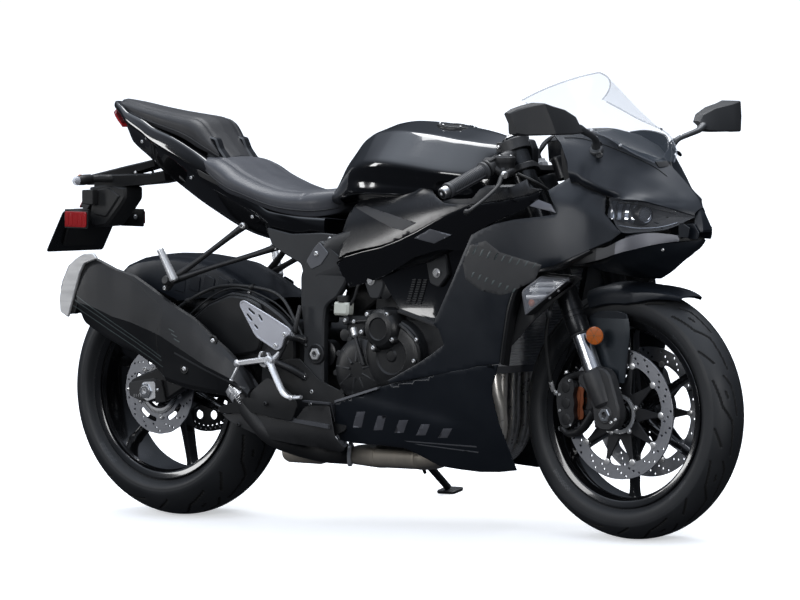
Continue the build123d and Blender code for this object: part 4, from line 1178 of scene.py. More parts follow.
REAR_DISC_TURN = 25.5
ring = [around(110 - .9 * (0.5 - 0.5 * math.cos(math.radians(q * 20))), q, 0) for q in np.arange(0, 360, 2)]
holes = [[around(59, q, 0) for q in range(0, 360, 6)]]
for k in range(5):
    holes.append(kidney(75, 240.5 + 72 * k, 17.5, 6.2))
for k in range(14):
    for r, off in ((87.5, 0), (94.5, 6.5), (102, 12.5)):
        q0 = k * 360 / 14 + off
        holes.append([around(r, q0, 2.7, 36 * q) for q in range(10)])
g.add(slab(ring, -87.1, -82.1, holes, bev=0.35,
           place=lambda a, b, yy: (AXR[0] + a, yy, AXR[1] + b)), 0)
inner = [around(66, q, 0) for q in range(0, 360, 5)]
g.add(slab(inner, -82.1, -79.6, [[around(42, q, 0) for q in range(0, 360, 6)]], bev=.6,
           place=lambda a, b, yy: (AXR[0] + a, yy, AXR[1] + b)), 1)
for k in range(5):
    a = math.radians(72 * k + 276.5)
    p = Vector((AXR[0] + 67 * math.cos(a), -87.1, AXR[1] + 67 * math.sin(a)))
    g.add(bolt(p, (0, -1, 0), 7.2, 4.5, "dome"), 2)
piece("rear_disc_slotted", g, [DISC_R, CARRIER, BOLT], body="rear_wheel",
      replaces="rear_disc", angle=30)
g = Geo()
ring = []
for i in range(80):
    a0 = 2 * math.pi * i / 80
    for da, r in ((0, 58.5), (.030, 58.5), (.034, 52), (.072, 52)):
        ring.append((r * math.cos(a0 + da), r * math.sin(a0 + da)))
hole = [(46 * math.cos(2 * math.pi * i / 60), 46 * math.sin(2 * math.pi * i / 60))
        for i in range(60)]
g.add(slab(ring, -89.6, -87.6, [hole], bev=0.2,
           place=lambda a, b, yy: (AXR[0] + a, yy, AXR[1] + b)), 0)
piece("rear_sensor_ring", g, [ALU], body="rear_wheel", angle=30)

# sprocket: toothed ring with round cut-outs, on the left
CHAIN_Y = 99.0
g = Geo()
teeth = []
NT = 43
for i in range(NT):
    a0 = 2 * math.pi * i / NT
    for da, r in ((-.035, 97.6), (-.018, 103.4), (.018, 103.4), (.035, 97.6), (.07, 95.6)):
        teeth.append((r * math.cos(a0 + da), r * math.sin(a0 + da)))
holes = [[(45 * math.cos(2 * math.pi * i / 60), 45 * math.sin(2 * math.pi * i / 60))
          for i in range(60)]]
for k in range(10):
    a = math.radians(36 * k)
    holes.append([(74 * math.cos(a) + 11.5 * math.cos(b), 74 * math.sin(a) + 11.5 * math.sin(b))
                  for b in [2 * math.pi * q / 20 for q in range(20)]])
g.add(slab(teeth, CHAIN_Y - 2.6, CHAIN_Y + 2.6, holes, bev=0.6,
           place=lambda a, b, yy: (AXR[0] + a, yy, AXR[1] + b)), 0)
for k in range(5):
    a = math.radians(72 * k + 36)
    p = Vector((AXR[0] + 57 * math.cos(a), CHAIN_Y + 2.4, AXR[1] + 57 * math.sin(a)))
    g.add(bolt(p, (0, 1, 0), 7, 2.4, "hex"), 1)
piece("rear_sprocket_toothed", g, [CHAIN, BOLT], body="rear_wheel",
      replaces="rear_sprocket", angle=30)


# chain: side plates and rollers along the loop
def chain_path():
    ra, rb, gx, gz = 114.0 - 7.0, 43.0 - 4.0, 640.0, 372.0
    ra, rb = 106.0, 40.0
    dx, dz = gx, gz - RR
    base, length = math.atan2(dz, dx), math.hypot(dx, dz)
    lean = math.acos((ra - rb) / length)
    top, low = base + lean, base - lean
    pts = []
    for t in np.linspace(0, 1, 80, endpoint=False):
        a = (ra * math.cos(top), RR + ra * math.sin(top))
        b = (gx + rb * math.cos(top), gz + rb * math.sin(top))
        pts.append((a[0] + (b[0] - a[0]) * t, a[1] + (b[1] - a[1]) * t))
    for t in np.linspace(0, 1, 16, endpoint=False):
        g_ = top + (low - top) * t
        pts.append((gx + rb * math.cos(g_), gz + rb * math.sin(g_)))
    for t in np.linspace(0, 1, 80, endpoint=False):
        a = (gx + rb * math.cos(low), gz + rb * math.sin(low))
        b = (ra * math.cos(low), RR + ra * math.sin(low))
        pts.append((a[0] + (b[0] - a[0]) * t, a[1] + (b[1] - a[1]) * t))
    end = low
    far = top - 2 * math.pi
    for t in np.linspace(0, 1, 40, endpoint=False):
        g_ = end + (far - end) * t
        pts.append((ra * math.cos(g_), RR + ra * math.sin(g_)))
    return np.array(pts)


CH = chain_path()
CH = np.vstack([CH, CH[:1]])
cs = np.concatenate([[0], np.cumsum(np.hypot(*np.diff(CH, axis=0).T))])
NL = int(round(cs[-1] / 15.875 / 2) * 2)
sp = np.linspace(0, cs[-1], NL + 1)[:-1]
pins = np.stack([np.interp(sp, cs, CH[:, 0]), np.interp(sp, cs, CH[:, 1])], 1)
g = Geo()
for i in range(NL):
    a, b = pins[i], pins[(i + 1) % NL]
    d = (b - a) / np.hypot(*(b - a))
    nn = np.array((-d[1], d[0]))
    outer_link = i % 2 == 0
    yo = 4.6 if outer_link else 3.0
    shape = []
    for c, sg in ((a, -1), (b, 1)):
        for q in np.linspace(-90, 90, 6):
            ang = math.radians(q)
            v_ = d * math.cos(ang) * sg + nn * math.sin(ang) * sg
            shape.append(tuple(c + v_ * 6.9))
    m_ = (a + b) / 2
    shape.insert(6, tuple(m_ + nn * -5.3 * 1 if False else m_ - nn * 5.3 * -1))
    shape = shape[:6] + shape[7:]
    for s in (-1, 1):
        y0 = CHAIN_Y + s * yo
        g.add(slab(shape, min(y0, y0 - s * 1.4), max(y0, y0 - s * 1.4), bev=0.3), 0)
    p = Vector((a[0], CHAIN_Y - 4.9, a[1]))
    g.add(cyl(p, p + Vector((0, 9.8, 0)), 2.4, n=10), 1)
    g.add(cyl((a[0], CHAIN_Y - 3, a[1]), (a[0], CHAIN_Y + 3, a[1]), 5.0, n=12), 0)
piece("drive_chain_links", g, [CHAIN, BOLT], replaces="drive_chain",
      angle=30)


# ------------------------------------------------------------------ fork legs
def off_pt(z, s, along=0.0, side=0.0):
    """A point on the fork leg axis at height z, moved across it."""
    return Vector((fork_x(z), s * (FORK_Y + side), z))


g = Geo()
for s in (-1, 1):
    lo, hi = off_pt(489, s), off_pt(950, s)
    L = (hi - lo).length
    g.add(spun(lo, hi, [(0, 24), (1, 26.2), (4, 27), (36, 27), (37.5, 25.6), (41, 25.6), (42.5, 27),
                        (50, 27), (51.5, 25.6), (55, 25.6), (56.5, 27), (L - 4, 27),
                        (L - 1, 26), (L, 24)], n=40), 0)
    # dust seal at the mouth of the outer tube
    g.add(spun(off_pt(484, s), off_pt(492, s), [(0, 22), (2, 24.6), (8, 25)], n=36), 2)
    a_, b_ = off_pt(350, s), off_pt(486, s)
    g.add(spun(a_, b_, [(0, 21.5), ((b_ - a_).length, 21.5)], n=48), 1)
    # fork cap with adjuster
    g.add(spun(hi - UP * 2, hi + UP * 6, [(0, 22), (4, 22), (6, 20), (8, 16)], n=6), 3)
    g.add(spun(hi + UP * 3, hi + UP * 9, [(0, 9), (5, 9), (6, 8)], n=16), 3)
    # foot casting round the leg
    q0, q1 = off_pt(392, s), off_pt(330, s)
    d = (q0 - q1).normalized()
    g.add(spun(q1 - d * 12, q0 + d * 14, [(0, 20), (6, 26), (40, 29.5), (82, 29.5), (88, 28),
                                         (92, 24)], n=40), 4)
    outer = [(1366, 274), (1388, 262), (1414, 262), (1431, 274), (1439, 292), (1439, 316),
             (1428, 350), (1412, 396), (1398, 408), (1370, 414), (1352, 412), (1330, 398),
             (1318, 388), (1322, 372), (1340, 356), (1352, 338), (1362, 312)]
    y0, y1 = sorted((s * 88, s * 120))
    g.add(slab(rounded(outer, 7, 3), y0, y1, [rounded([(1342, 384), (1352, 392), (1368, 388),
                                                       (1360, 366), (1350, 366)], 4, 2)], 4.5), 4)
    # pinch bolts under the axle
    for x, z in ((1421, 268), (1406, 262)):
        g.add(bolt((x, s * 104, z - 2), (0.25, 0, -1), 4.6, 6, "cap"), 3)
    for x, z in ((1418, 283), (1430, 290)):
        g.add(bolt((x, s * 119, z), (0, s, 0), 4.3, 4, "cap"), 3)
    # ring boss round the axle
    v = lathe([(s * 116, 13.2), (s * 116, 22), (s * 122, 20.5), (s * 123, 18.5), (s * 122.5, 13.2)],
              centre=AXF, n=48)
    g.add(v, 4)
piece("fork_legs_turned", g, [FORK, INNER_TUBE, RUBBER, BOLT, CASTING], body="steering",
      replaces="fork_legs", angle=32)

# hollow axle with its nut ends
g = Geo()
g.add(lathe([(-124, 8.5), (-124, 11.6), (-121, 12.4), (-88, 12.4), (-58, 12.4), (58, 12.4),
             (88, 12.4), (121, 12.4), (124, 11.6), (124, 8.5)], centre=AXF, n=40), 0)
g.add(lathe([(-126.5, 9.2), (-126.5, 14.5), (-125, 16.5), (-121, 17), (-121, 9.2)],
            centre=AXF, n=6), 0)
for s in (-1, 1):
    g.add(lathe([(s * 60, 12.6), (s * 60, 20), (s * 62, 21), (s * 84, 21), (s * 85.5, 20),
                 (s * 85.5, 12.6)], centre=AXF, n=36), 1)
piece("front_axle_hollow", g, [CHROME, BLACK_METAL], body="steering",
      replaces="front_axle", angle=30)

# ------------------------------------------------------------------ front calipers
g = Geo()
for s in (-1, 1):
    # outer half, three-lobed
    outer = [(1233, 302), (1230, 330), (1236, 366), (1248, 382), (1266, 386), (1280, 376),
             (1284, 358), (1279, 340), (1284, 322), (1280, 304), (1284, 288), (1276, 270),
             (1258, 260), (1242, 270)]
    g.add(slab(rounded(outer, 7, 3), *sorted((s * 67.4, s * 84))), 0)
    # inner half
    inn = [(1240, 302), (1248, 276), (1264, 256), (1290, 254), (1306, 276), (1316, 300),
           (1318, 330), (1310, 356), (1300, 380), (1278, 390), (1258, 382), (1244, 352)]
    g.add(slab(rounded(inn, 8, 3), *sorted((s * 40, s * 55)), bev=3), 0)
    br = [(1233, 302), (1240, 276), (1258, 258), (1268, 254), (1262, 276), (1254, 300),
          (1254, 334), (1262, 360), (1274, 388), (1258, 386), (1240, 368), (1231, 332)]
    g.add(slab(rounded(br, 3, 2), *sorted((s * 50, s * 70)), bev=1.5), 0)
    # pads: two warm coppery plates with a wavy edge
    for a, b, dx in ((64.6, 67.2, 0), (52.0, 55.0, 2)):
        pad = [(1262, 288), (1284, 282), (1296, 284), (1299, 298), (1294, 312), (1299, 326),
               (1297, 344), (1301, 356), (1290, 362), (1262, 358)]
        g.add(slab([(p[0] + dx, p[1]) for p in rounded(pad, 4, 2)], *sorted((s * a, s * b)),
                   bev=.6), 1)
    g.add(slab(rounded([(1264, 290), (1286, 286), (1288, 320), (1290, 354), (1264, 356)], 3, 2),
               *sorted((s * 66.8, s * 69.0)), bev=.5), 1)
    # pistons bosses on the outer face
    for z in (284, 322, 360):
        x = 1258
        g.add(spun((x, s * 82, z), (x, s * 86.5, z), [(0, 14), (2.2, 13.7), (3.8, 12), (4.4, 8)],
                   n=28), 0)
    for x, z in ((1241, 304), (1240, 342), (1272, 270), (1270, 376)):
        g.add(bolt((x, s * 83.5, z), (0, s, 0), 3.6, 3.6, "cap"), 2)
    # arms to the fork foot, above and below
    g.add(tube([(1256, s * 74, 380), (1286, s * 78, 389), (1316, s * 88, 392), (1340, s * 98, 384)],
               [9, 9.5, 10, 10], 20, 6, flat=.9), 0)
    g.add(tube([(1244, s * 74, 262), (1262, s * 76, 250), (1296, s * 82, 256), (1326, s * 92, 276),
                (1352, s * 98, 306)], [9, 10, 10.5, 11, 11], 20, 6, flat=.9), 0)
    g.add(bolt((1254, s * 73, 392), (-.3, 0, 1), 5.5, 6, "hex"), 2)
    g.add(bolt((1236, s * 73, 260), (-1, 0, -.2), 5.2, 5, "hex"), 2)
    # banjo fitting
    g.add(spun((1236, s * 76, 344), (1220, s * 80, 346), [(0, 7), (6, 7.5), (8, 6), (12, 6),
                                                          (15, 4.5)], n=6), 2)
piece("front_calipers_cast", g, [CASTING, COPPER, BOLT], body="steering",
      replaces="front_calipers", angle=32)

# ------------------------------------------------------------------ front mudguard
FC = (1400.0, 300.0)


def polar_skin(section, angles, thick=2.6, centre=FC):
    """Band round a wheel: section points (y, radius); closed by an inner skin."""
    rows = []
    for a in angles:
        ca, sa = math.cos(math.radians(a)), math.sin(math.radians(a))
        sec = section(a) if callable(section) else section
        out = [(centre[0] + r * ca, y, centre[1] + r * sa) for y, r in sec]
        inn = [(centre[0] + (r - thick) * ca, y * (1 - thick / 90.0), centre[1] + (r - thick) * sa)
               for y, r in reversed(sec)]
        rows.append(out + inn)
    return grid(rows, ring=True, cap=True)


def guard_section(a):
    """Narrower and flatter towards the front tip, with a centre ridge."""
    k = float(np.interp(a, [56, 60, 66, 80, 110], [0.42, 0.62, 0.84, 1.0, 1.0]))
    up = float(np.interp(a, [56, 62, 68, 80, 110], [17, 13.5, 9, 1, 0]))
    lo = float(np.interp(a, [56, 60, 67, 78, 86, 110], [322, 314, 299, 272, 262, 262]))
    half = []
    for w, r in ((74, 262), (74.4, 276), (73, 288), (66, 298), (55, 304), (42, 306.5), (20, 308.5),
                 (7, 310.6)):
        half.append((w * k, max(r, 0) + up))
    top = 312 + up
    half = [(w, top - (top - r) * min(1.0, (top - lo) / 50.0)) for w, r in half]
    return [(-w, r) for w, r in half] + [(0, top)] + [(w, r) for w, r in reversed(half)]


g = Geo()
g.add(polar_skin(guard_section, np.linspace(59.0, 107.5, 40)), 0)
for s in (-1, 1):
    y0, y1 = sorted((s * 70.4, s * 76))
    out = [(1318, 520), (1326, 532), (1350, 542), (1404, 544), (1430, 538), (1438, 512),
           (1438, 480), (1431, 430), (1424, 376), (1412, 370), (1388, 388), (1353, 412),
           (1336, 436)]
    g.add(slab(rounded(out, 6, 3), y0, y1, bev=1.6), 0)
    # folded face: flat panel that turns away at its front edge
    rows = []
    for z, x0, x1, x2 in ((526, 1322, 1420, 1436), (500, 1326, 1426, 1440), (478, 1331, 1424, 1438),
                          (440, 1338, 1417, 1432), (412, 1356, 1414, 1427), (390, 1388, 1412, 1425),
                          (374, 1408, 1411, 1423)):
        rows.append([(x0, s * 75.5, z), (x0 + 3, s * 79, z), (x1, s * 82, z), (x2, s * 75.5, z),
                     (x2 - 2, s * 73.5, z), (x0 + 2, s * 73.5, z)])
    g.add(grid(rows, ring=True, cap=True), 2)
    g.add(bolt((1388, s * 80.5, 402), (0, s, 0), 4.6, 3.2, "cap"), 1)
piece("front_fender_moulded", g, [MATT, BOLT, FLAP], body="steering",
      replaces="front_fender", angle=30)

# ------------------------------------------------------------------ side reflectors on the fork
g = Geo()
for s in (-1, 1):
    c = Vector((1369, s * 118, 486))
    ax = Vector((0.30, s, -0.02)).normalized()
    g.add(spun(c - ax * 18, c + ax * 1, [(0, 8), (10, 9), (15, 20), (19, 22.5)], n=40), 0)
    g.add(spun(c, c + ax * 5, [(0, 21.6), (2.2, 21.4), (4.2, 19.6), (4.9, 12), (5, 1)], n=40), 1)
    for k in range(6):
        an = k * math.pi / 3
        u, w, _ = basis(ax)
        g.add(tube([c + ax * 4.6, c + ax * 4.2 + (u * math.cos(an) + w * math.sin(an)) * 18.5],
                   .8, 6, 2), 2)
piece("fork_reflectors", g, [TRIM, AMBER, AMBER_RIM], body="steering", angle=35)

# ------------------------------------------------------------------ front brake hoses
g = Geo()
for s in (-1, 1):
    pts = [(1246, s * 84, 690), (1262, s * 112, 640), (1262, s * 130, 590), (1244, s * 131, 535),
           (1231, s * 125, 480), (1226, s * 115, 442), (1223, s * 97, 375), (1222, s * 84, 350)]
    g.add(tube(pts, 4.4, 12, 10), 0)
    for a, b in ((0, 1), (6, 7)):
        p, q = Vector(pts[a]), Vector(pts[b])
        g.add(cyl(q.lerp(p, .9), q, 5.4, 5.4, 14, .8), 1)
    g.add(spun(Vector(pts[3]) + Vector((1, 0, 8)), Vector(pts[3]) - Vector((1, 0, 8)),
               [(0, 5.4), (2, 7), (14, 7), (16, 5.4)], n=16), 2)
piece("front_brake_hoses", g, [HOSE, BOLT, RUBBER_BAND], body="steering", angle=40)

# ------------------------------------------------------------------ yokes
g = Geo()


def yoke_place(zc):
    """Outline (a forward, b sideways) in the plane across the steering axis at height zc."""
    fwd = Vector((math.cos(RAKE), 0, math.sin(RAKE)))
    o = Vector((axis_x(zc), 0, zc))
    return lambda a, b, y: tuple(o + fwd * a + Vector((0, 1, 0)) * b + UP * y)


def yoke_outline(w, neck, f):
    h = []
    half = [(-26, 0), (-24, 30), (-14, 52), (6 + f, 72), (-2 + f, 96), (4 + f, 128),
            (22 + f, w), (44 + f, w - 2), (60 + f, w - 18), (62 + f, 100), (52 + f, 76),
            (34, neck), (30, 0)]
    return half + [(a, -b) for a, b in reversed(half[1:-1])]


for zc, t, w in ((866, 16, 137), (705, 32, 138)):
    out = rounded(yoke_outline(w, 46, 0), 8, 3)
    hs = []
    if zc == 866:
        hs = [rounded([(-8, 40), (10, 54), (20, 46), (14, 28), (-4, 26)], 4, 2),
              rounded([(-8, -40), (10, -54), (20, -46), (14, -28), (-4, -26)], 4, 2)]
    g.add(slab(out, -t / 2, t / 2, hs, 2.0, yoke_place(zc)), 0)
    pl = yoke_place(zc)
    for s in (-1, 1):
        g.add(bolt(pl(-2, s * 118, 0), (-.9, 0, -.4), 4.6, 5, "cap"), 1)
# steering stem with its nut, keyed lock barrel
g.add(spun(Vector((axis_x(700), 0, 700)), Vector((axis_x(700), 0, 700)) + UP * 246,
           [(0, 13.5), (240, 13.5), (240.5, 9.2), (246, 9)], n=32), 2)
top = Vector((axis_x(874), 0, 874))
g.add(spun(top, top + UP * 22, [(0, 22), (1, 23), (12, 23), (13, 21), (16, 20), (22, 19.5)], n=6), 1)
g.add(spun(Vector(yoke_place(866)(58, 0, -40)), Vector(yoke_place(866)(58, 0, 16)),
           [(0, 17), (44, 17), (50, 18.5), (54, 18), (55, 12), (52, 11)], n=30), 2)
piece("steering_yokes_machined", g, [CASTING, BOLT, BLACK_METAL], body="steering",
      replaces="steering_yokes", angle=32)

# ------------------------------------------------------------------ bars, clamps, grips
BI, BO = Vector((1131, 132, 908)), Vector((1094, 330, 828))


def bar_pt(t, s):
    p = BI.lerp(BO, t)
    return Vector((p.x, s * p.y, p.z))


g = Geo()
for s in (-1, 1):
    # clamp round the fork tube with its pinch bolt
    c0, c1 = off_pt(918, s), off_pt(944, s)
    g.add(spun(c0, c1, [(0, 33), (1.5, 34.6), (26, 34.6), (28, 33)], n=40), 0)
    g.add(cyl(bar_pt(-.16, s), bar_pt(.12, s), 16.5, 15.5, 28, 1.5), 0)
    a = off_pt(930, s) + Vector((-34, s * 10, -2))
    g.add(slab(rounded([(-8, -12), (8, -12), (8, 12), (-8, 12)], 3, 2), -10, 10, (), 1.5,
               (lambda a_, b_, y_, o=a, s=s: tuple(o + Vector((a_, s * y_, b_))))), 0)
    g.add(bolt(a + Vector((0, s * 10, 0)), (0, s, 0), 4.6, 5, "cap"), 2)
    g.add(cyl(bar_pt(.05, s), bar_pt(1.09, s), 11, 11, 24, 1), 1)
    # end weights
    e0, e1 = bar_pt(1.0, s), bar_pt(1.088, s)
    Le = (e1 - e0).length
    g.add(spun(e0, e1, [(0, 12), (1, 14.2), (Le - 5, 14.2), (Le - 2, 13), (Le - .3, 8.4),
                        (Le, 7)], n=30), 3)
    g.add(bolt(e1 - (e1 - e0).normalized() * .4, (e1 - e0), 4.0, 2.0, "cap"), 2)
    # perch, switch cube
    p0, p1 = bar_pt(.15, s), bar_pt(.38, s)
    Lp = (p1 - p0).length
    g.add(spun(p0, p1, [(0, 14), (1.5, 16.5), (13, 16.5), (14.5, 13), (19, 13), (20.5, 19.5),
                        (Lp - 2, 20.6), (Lp, 18)], n=30), 0)
    u = (BO - BI).normalized()
    u = Vector((u.x, s * u.y, u.z))
    m0 = bar_pt(.30, s)
    nrm = Vector((0, 0, 1)) - u * u.z
    nrm.normalize()
    w_ = u.cross(nrm)
    g.add(slab(rounded([(-13, -18), (12, -20), (12, 20), (-6, 22), (-13, 14)], 4, 2), -15, 15,
               (), 2.5, (lambda a_, b_, y_, o=m0, u=u, n=nrm, w=w_: tuple(o + u * a_ + n * b_ + w * y_))), 4)
    for k in (-7, 3):
        g.add(cyl(m0 + u * k + w_ * (-15) * 1 + nrm * 5, m0 + u * k - w_ * 18 + nrm * 5, 3.4,
                  3.0, 14, .6), 4)
piece("clip_on_bars_machined", g, [CASTING, BLACK_METAL, BOLT, STEEL, TRIM], body="steering",
      replaces="clip_on_bars", angle=32)

g = Geo()
for s in (-1, 1):
    p0, p1 = bar_pt(.405, s), bar_pt(1.0, s)
    L = (p1 - p0).length
    prof = [(0, 13), (.5, 20.8), (2, 21.6), (6, 21.6), (7.5, 20), (8.5, 17.2)]
    t = 11.0
    while t < L - 12:
        prof += [(t, 16.9), (t + .5, 15.9), (t + 1.7, 15.9), (t + 2.2, 16.9)]
        t += 5.2
    prof += [(L - 9, 17.2), (L - 8, 18.6), (L - 2, 18.6), (L - .5, 17), (L, 13)]
    g.add(spun(p0, p1, prof, n=44), 0)
    # smooth thumb strips along the grip
    for k in range(3):
        an = math.radians(70 + k * 40)
        u, w, _ = basis(p1 - p0)
        d = u * math.cos(an) + w * math.sin(an)
        g.add(tube([p0.lerp(p1, .12) + d * 15.9, p0.lerp(p1, .90) + d * 15.9], 2.6, 8, 2), 0)
piece("hand_grips_ribbed", g, [GRIP], body="steering", replaces="hand_grips",
      angle=24)

# ------------------------------------------------------------------ levers and master cylinders
g = Geo()
for s in (-1, 1):
    pts = [(1158, s * 192, 869), (1166, s * 214, 858), (1173, s * 235, 840), (1172, s * 262, 822),
           (1166, s * 292, 803), (1159, s * 316, 788), (1153, s * 330, 779)]
    g.add(tube(pts, [7.2, 6.2, 5.6, 5.2, 5.0, 5.0, 5.2], 14, 8, flat=.72), 0)
    g.add(spun((1155, s * 326, 782), (1151, s * 339, 774), [(0, 3), (2, 6.5), (6, 8.2), (11, 7.4),
                                                            (14, 4)], n=20), 0)
    # pivot and adjuster wheel
    g.add(cyl((1154, s * 190, 880), (1160, s * 192, 858), 8.5, 8.5, 20, 1), 1)
    g.add(bolt((1152, s * 189.5, 882), (-.26, 0, 1), 4.6, 3, "hex"), 2)
    g.add(spun((1168, s * 206, 866), (1177, s * 209, 862), [(0, 9), (2, 9.6), (6, 9.6), (8, 8)],
               n=14), 2)
    # body of the master cylinder / cable perch
    g.add(tube([bar_pt(.30, s) + Vector((6, 0, -2)), (1148, s * 188, 872), (1158, s * 190, 868)],
               [11, 12, 11], 18, 6), 1)
    g.add(tube([(1146, s * 160, 876), (1166, s * 176, 872), (1172, s * 205, 866)], [9, 10.5, 9], 18, 6), 1)
# right side: reservoir with its cap
c = Vector((1150, -176, 884))
g.add(spun(c - Vector((0, 0, 12)), c + Vector((0, 0, 24)),
           [(0, 17), (2, 21), (20, 23.2), (22, 24.4), (33, 24.4), (35.5, 22.5), (36, 12)], n=36), 1)
g.add(spun(c + Vector((0, 0, 23.5)), c + Vector((0, 0, 26)), [(0, 20), (1.6, 19.4), (2.5, 17)],
           n=36), 3)
for x, y in ((-12, -6), (12, 6)):
    g.add(bolt(c + Vector((x, y, 25.5)), (0, 0, 1), 3.2, 1.6, "cap"), 2)
# left side: clutch cable adjuster
g.add(spun((1158, 168, 874), (1176, 128, 884), [(0, 7), (16, 7), (18, 9), (26, 9), (27, 5),
                                               (43, 4)], n=14), 2)
piece("control_levers_forged", g, [TRIM, CASTING, BOLT, MIRROR_GREY], body="steering",
      replaces="control_levers", angle=32)

# cables and hoses between the bars and the frame: held inside the steering head
g = Geo()
g.add(tube([(1166, -150, 866), (1196, -120, 846), (1222, -84, 816), (1236, -60, 770),
            (1250, -50, 726)], 4.4, 12, 10), 0)
g.add(tube([(1174, 132, 884), (1204, 104, 876), (1228, 70, 838), (1236, 52, 780)], 4.0, 12, 10), 0)
g.add(tube([(1122, -150, 900), (1136, -120, 892), (1160, -96, 872), (1190, -78, 836),
            (1204, -64, 790)], 3.6, 10, 10), 0)
piece("bar_cables", g, [HOSE], body="steering", angle=40)

# cables and switch harness between the clip-ons and the top clamp
g = Geo()
for s in (-1, 1):
    for j in range(3):
        g.add(tube([(1118, s * (100 - 3 * j), 892 + 6 * j), (1136 - 3 * j, s * (86 - 4 * j), 930 + 5 * j),
                    (1126 - 5 * j, s * (58 - 6 * j), 952 - 4 * j), (1108, s * (34 - 4 * j), 936 - 6 * j),
                    (1096, s * (26 - 3 * j), 906)], 4.4, 10, 8), 0)
    g.add(slab(rounded([(1098, 950), (1150, 946), (1160, 926), (1160, 884), (1104, 890)], 5, 3),
               *sorted((s * 56, s * 80)), bev=3), 0)
piece("bar_harness", g, [BLACK_METAL], body="steering", angle=35)


# ------------------------------------------------------------------ bodywork surfaces
# half width of each side of the bike at height z, for stations along x
LEVELS = (400, 500, 620, 720, 835)
FLANK = [(870, 196, 208, 215, 212, 205), (1060, 206, 218, 228, 226, 216),
         (1200, 210, 228, 240, 236, 222), (1330, 195, 215, 232, 228, 216),
         (1492, 168, 182, 198, 192, 176)]
COVER_LEVELS = (575, 650, 720, 790, 862)
COVER = [(600, 140, 146, 150, 146, 140), (700, 158, 164, 168, 166, 158),
         (850, 184, 192, 198, 196, 190), (1000, 200, 212, 218, 214, 206),
         (1110, 208, 220, 224, 220, 212), (1310, 212, 220, 220, 216, 208)]
BELLY = [(610, [(120, 204), (140, 222), (160, 262), (166, 314)]),
         (800, [(110, 168), (140, 196), (172, 270), (190, 362)]),
         (1010, [(105, 150), (135, 178), (184, 285), (206, 404)]),
         (1135, [(105, 152), (130, 178), (186, 300), (206, 404)])]
_flank = tps([(r[0], z, r[1 + i]) for r in FLANK for i, z in enumerate(LEVELS)], 2.0)
_cover = tps([(r[0], z, r[1 + i]) for r in COVER for i, z in enumerate(COVER_LEVELS)], 2.0)
_belly = tps([(x, z, y) for x, o in BELLY for y, z in o], 2.0)


def line_side(a, b, pa, pb):
    """Signed distance of (a, b) above the line from pa to pb."""
    d = np.array(pb, float) - np.array(pa, float)
    n = np.array((-d[1], d[0])) / np.hypot(*d)
    return (np.asarray(a) - pa[0]) * n[0] + (np.asarray(b) - pa[1]) * n[1]


def field(base, folds=(), inset=0.0, side=-1):
    """Points of a side panel: base half width with folds (pa, pb, slope, softness)."""
    def fn(a, b):
        y = base(a, b) - inset
        for pa, pb, slope, w in folds:
            y = y - slope * soft(line_side(a, b, pa, pb), w)
        return np.stack([np.asarray(a, float), side * y, np.asarray(b, float)], -1)
    return fn


def flip(part):
    v, f = part
    return [(p[0], -p[1], p[2]) for p in v], [tuple(reversed(q)) for q in f]


def side_panel(name, outline, base, mats, folds=(), inset=0.0, t=3.0, step=11.0, edge=1.4,
               holes=(), replaces=(), angle=24):
    """One panel on each side of the bike."""
    g = Geo()
    SHEET_SIDE[0] = -1.0
    part = sheet(outline, field(base, folds, inset), t, step, edge, holes)
    g.add(part)
    g.add(flip(part))
    return piece(name, nosed(g), mats, replaces=replaces, angle=angle)




_U = np.linspace(340, 520, 361)
_HIGH = pchip([340, 372, 388, 402, 419, 445, 469, 491, 508, 517, 520],
              np.array([[v] for v in (0, 0, 2, 7, 20, 41, 45, 37, 18, 7, 5)], float), _U)[:, 0]
_LOW = pchip([340, 350, 360, 372, 388, 420, 450, 520],
             np.array([[v] for v in (0, 0, 6, 21, 42, 50, 46, 8)], float), _U)[:, 0]


def nose_in(p):
    """Draws the front of the bodywork in towards the middle: plan taper of the nose."""
    x, y, z = p
    w = abs(y)
    u = .323 * x - .252 * w
    if u < 341 or z < 470 or w < 1e-3:
        return p
    low = min(1.0, max(0.0, (668 - z) / 50.0))
    low = low * low * (3 - 2 * low)
    d = float(np.interp(u, _U, _HIGH)) * (1 - low) + float(np.interp(u, _U, _LOW)) * low
    d *= float(np.interp(z, [470, 540, 800, 880, 950, 1000], [0, 1, 1, .5, .2, 0]))
    d *= w / math.sqrt(w * w + 45 * 45) * 1.03
    d = .62 * w * math.tanh(d / (.62 * w))
    return (x - .78 * d, y - math.copysign(d, y), z)


def nosed(geo):
    geo.v = [nose_in(p) for p in geo.v]
    return geo


# ------------------------------------------------------------------ side fairing
SIDE = [(1087, 722), (1121, 737), (1158, 749), (1214, 760), (1290, 768), (1334, 774),
        (1329, 789), (1298, 829), (1322, 846), (1342, 860), (1356, 850), (1402, 835), (1448, 817),
        (1453, 776),
        (1499, 731), (1476, 713), (1426, 693), (1332, 653), (1256, 636), (1218, 600),
        (1196, 554), (1180, 499), (1166, 451), (1157, 417), (1090, 411), (1058, 402),
        (814, 361), (805, 366), (906, 412), (945, 432), (990, 458), (978, 493), (961, 507),
        (1028, 614)]
SIDE_FOLDS = [((1300, 829), (1503, 733), 0.26, 3.0),
              ((1060, 745), (1340, 800), 0.30, 8.0),
              ((1250, 500), (1150, 400), -0.10, 12.0)]
side_panel("side_fairing_skins", SIDE, _flank, [MATT], SIDE_FOLDS,
           replaces="side_fairings", t=3.2)

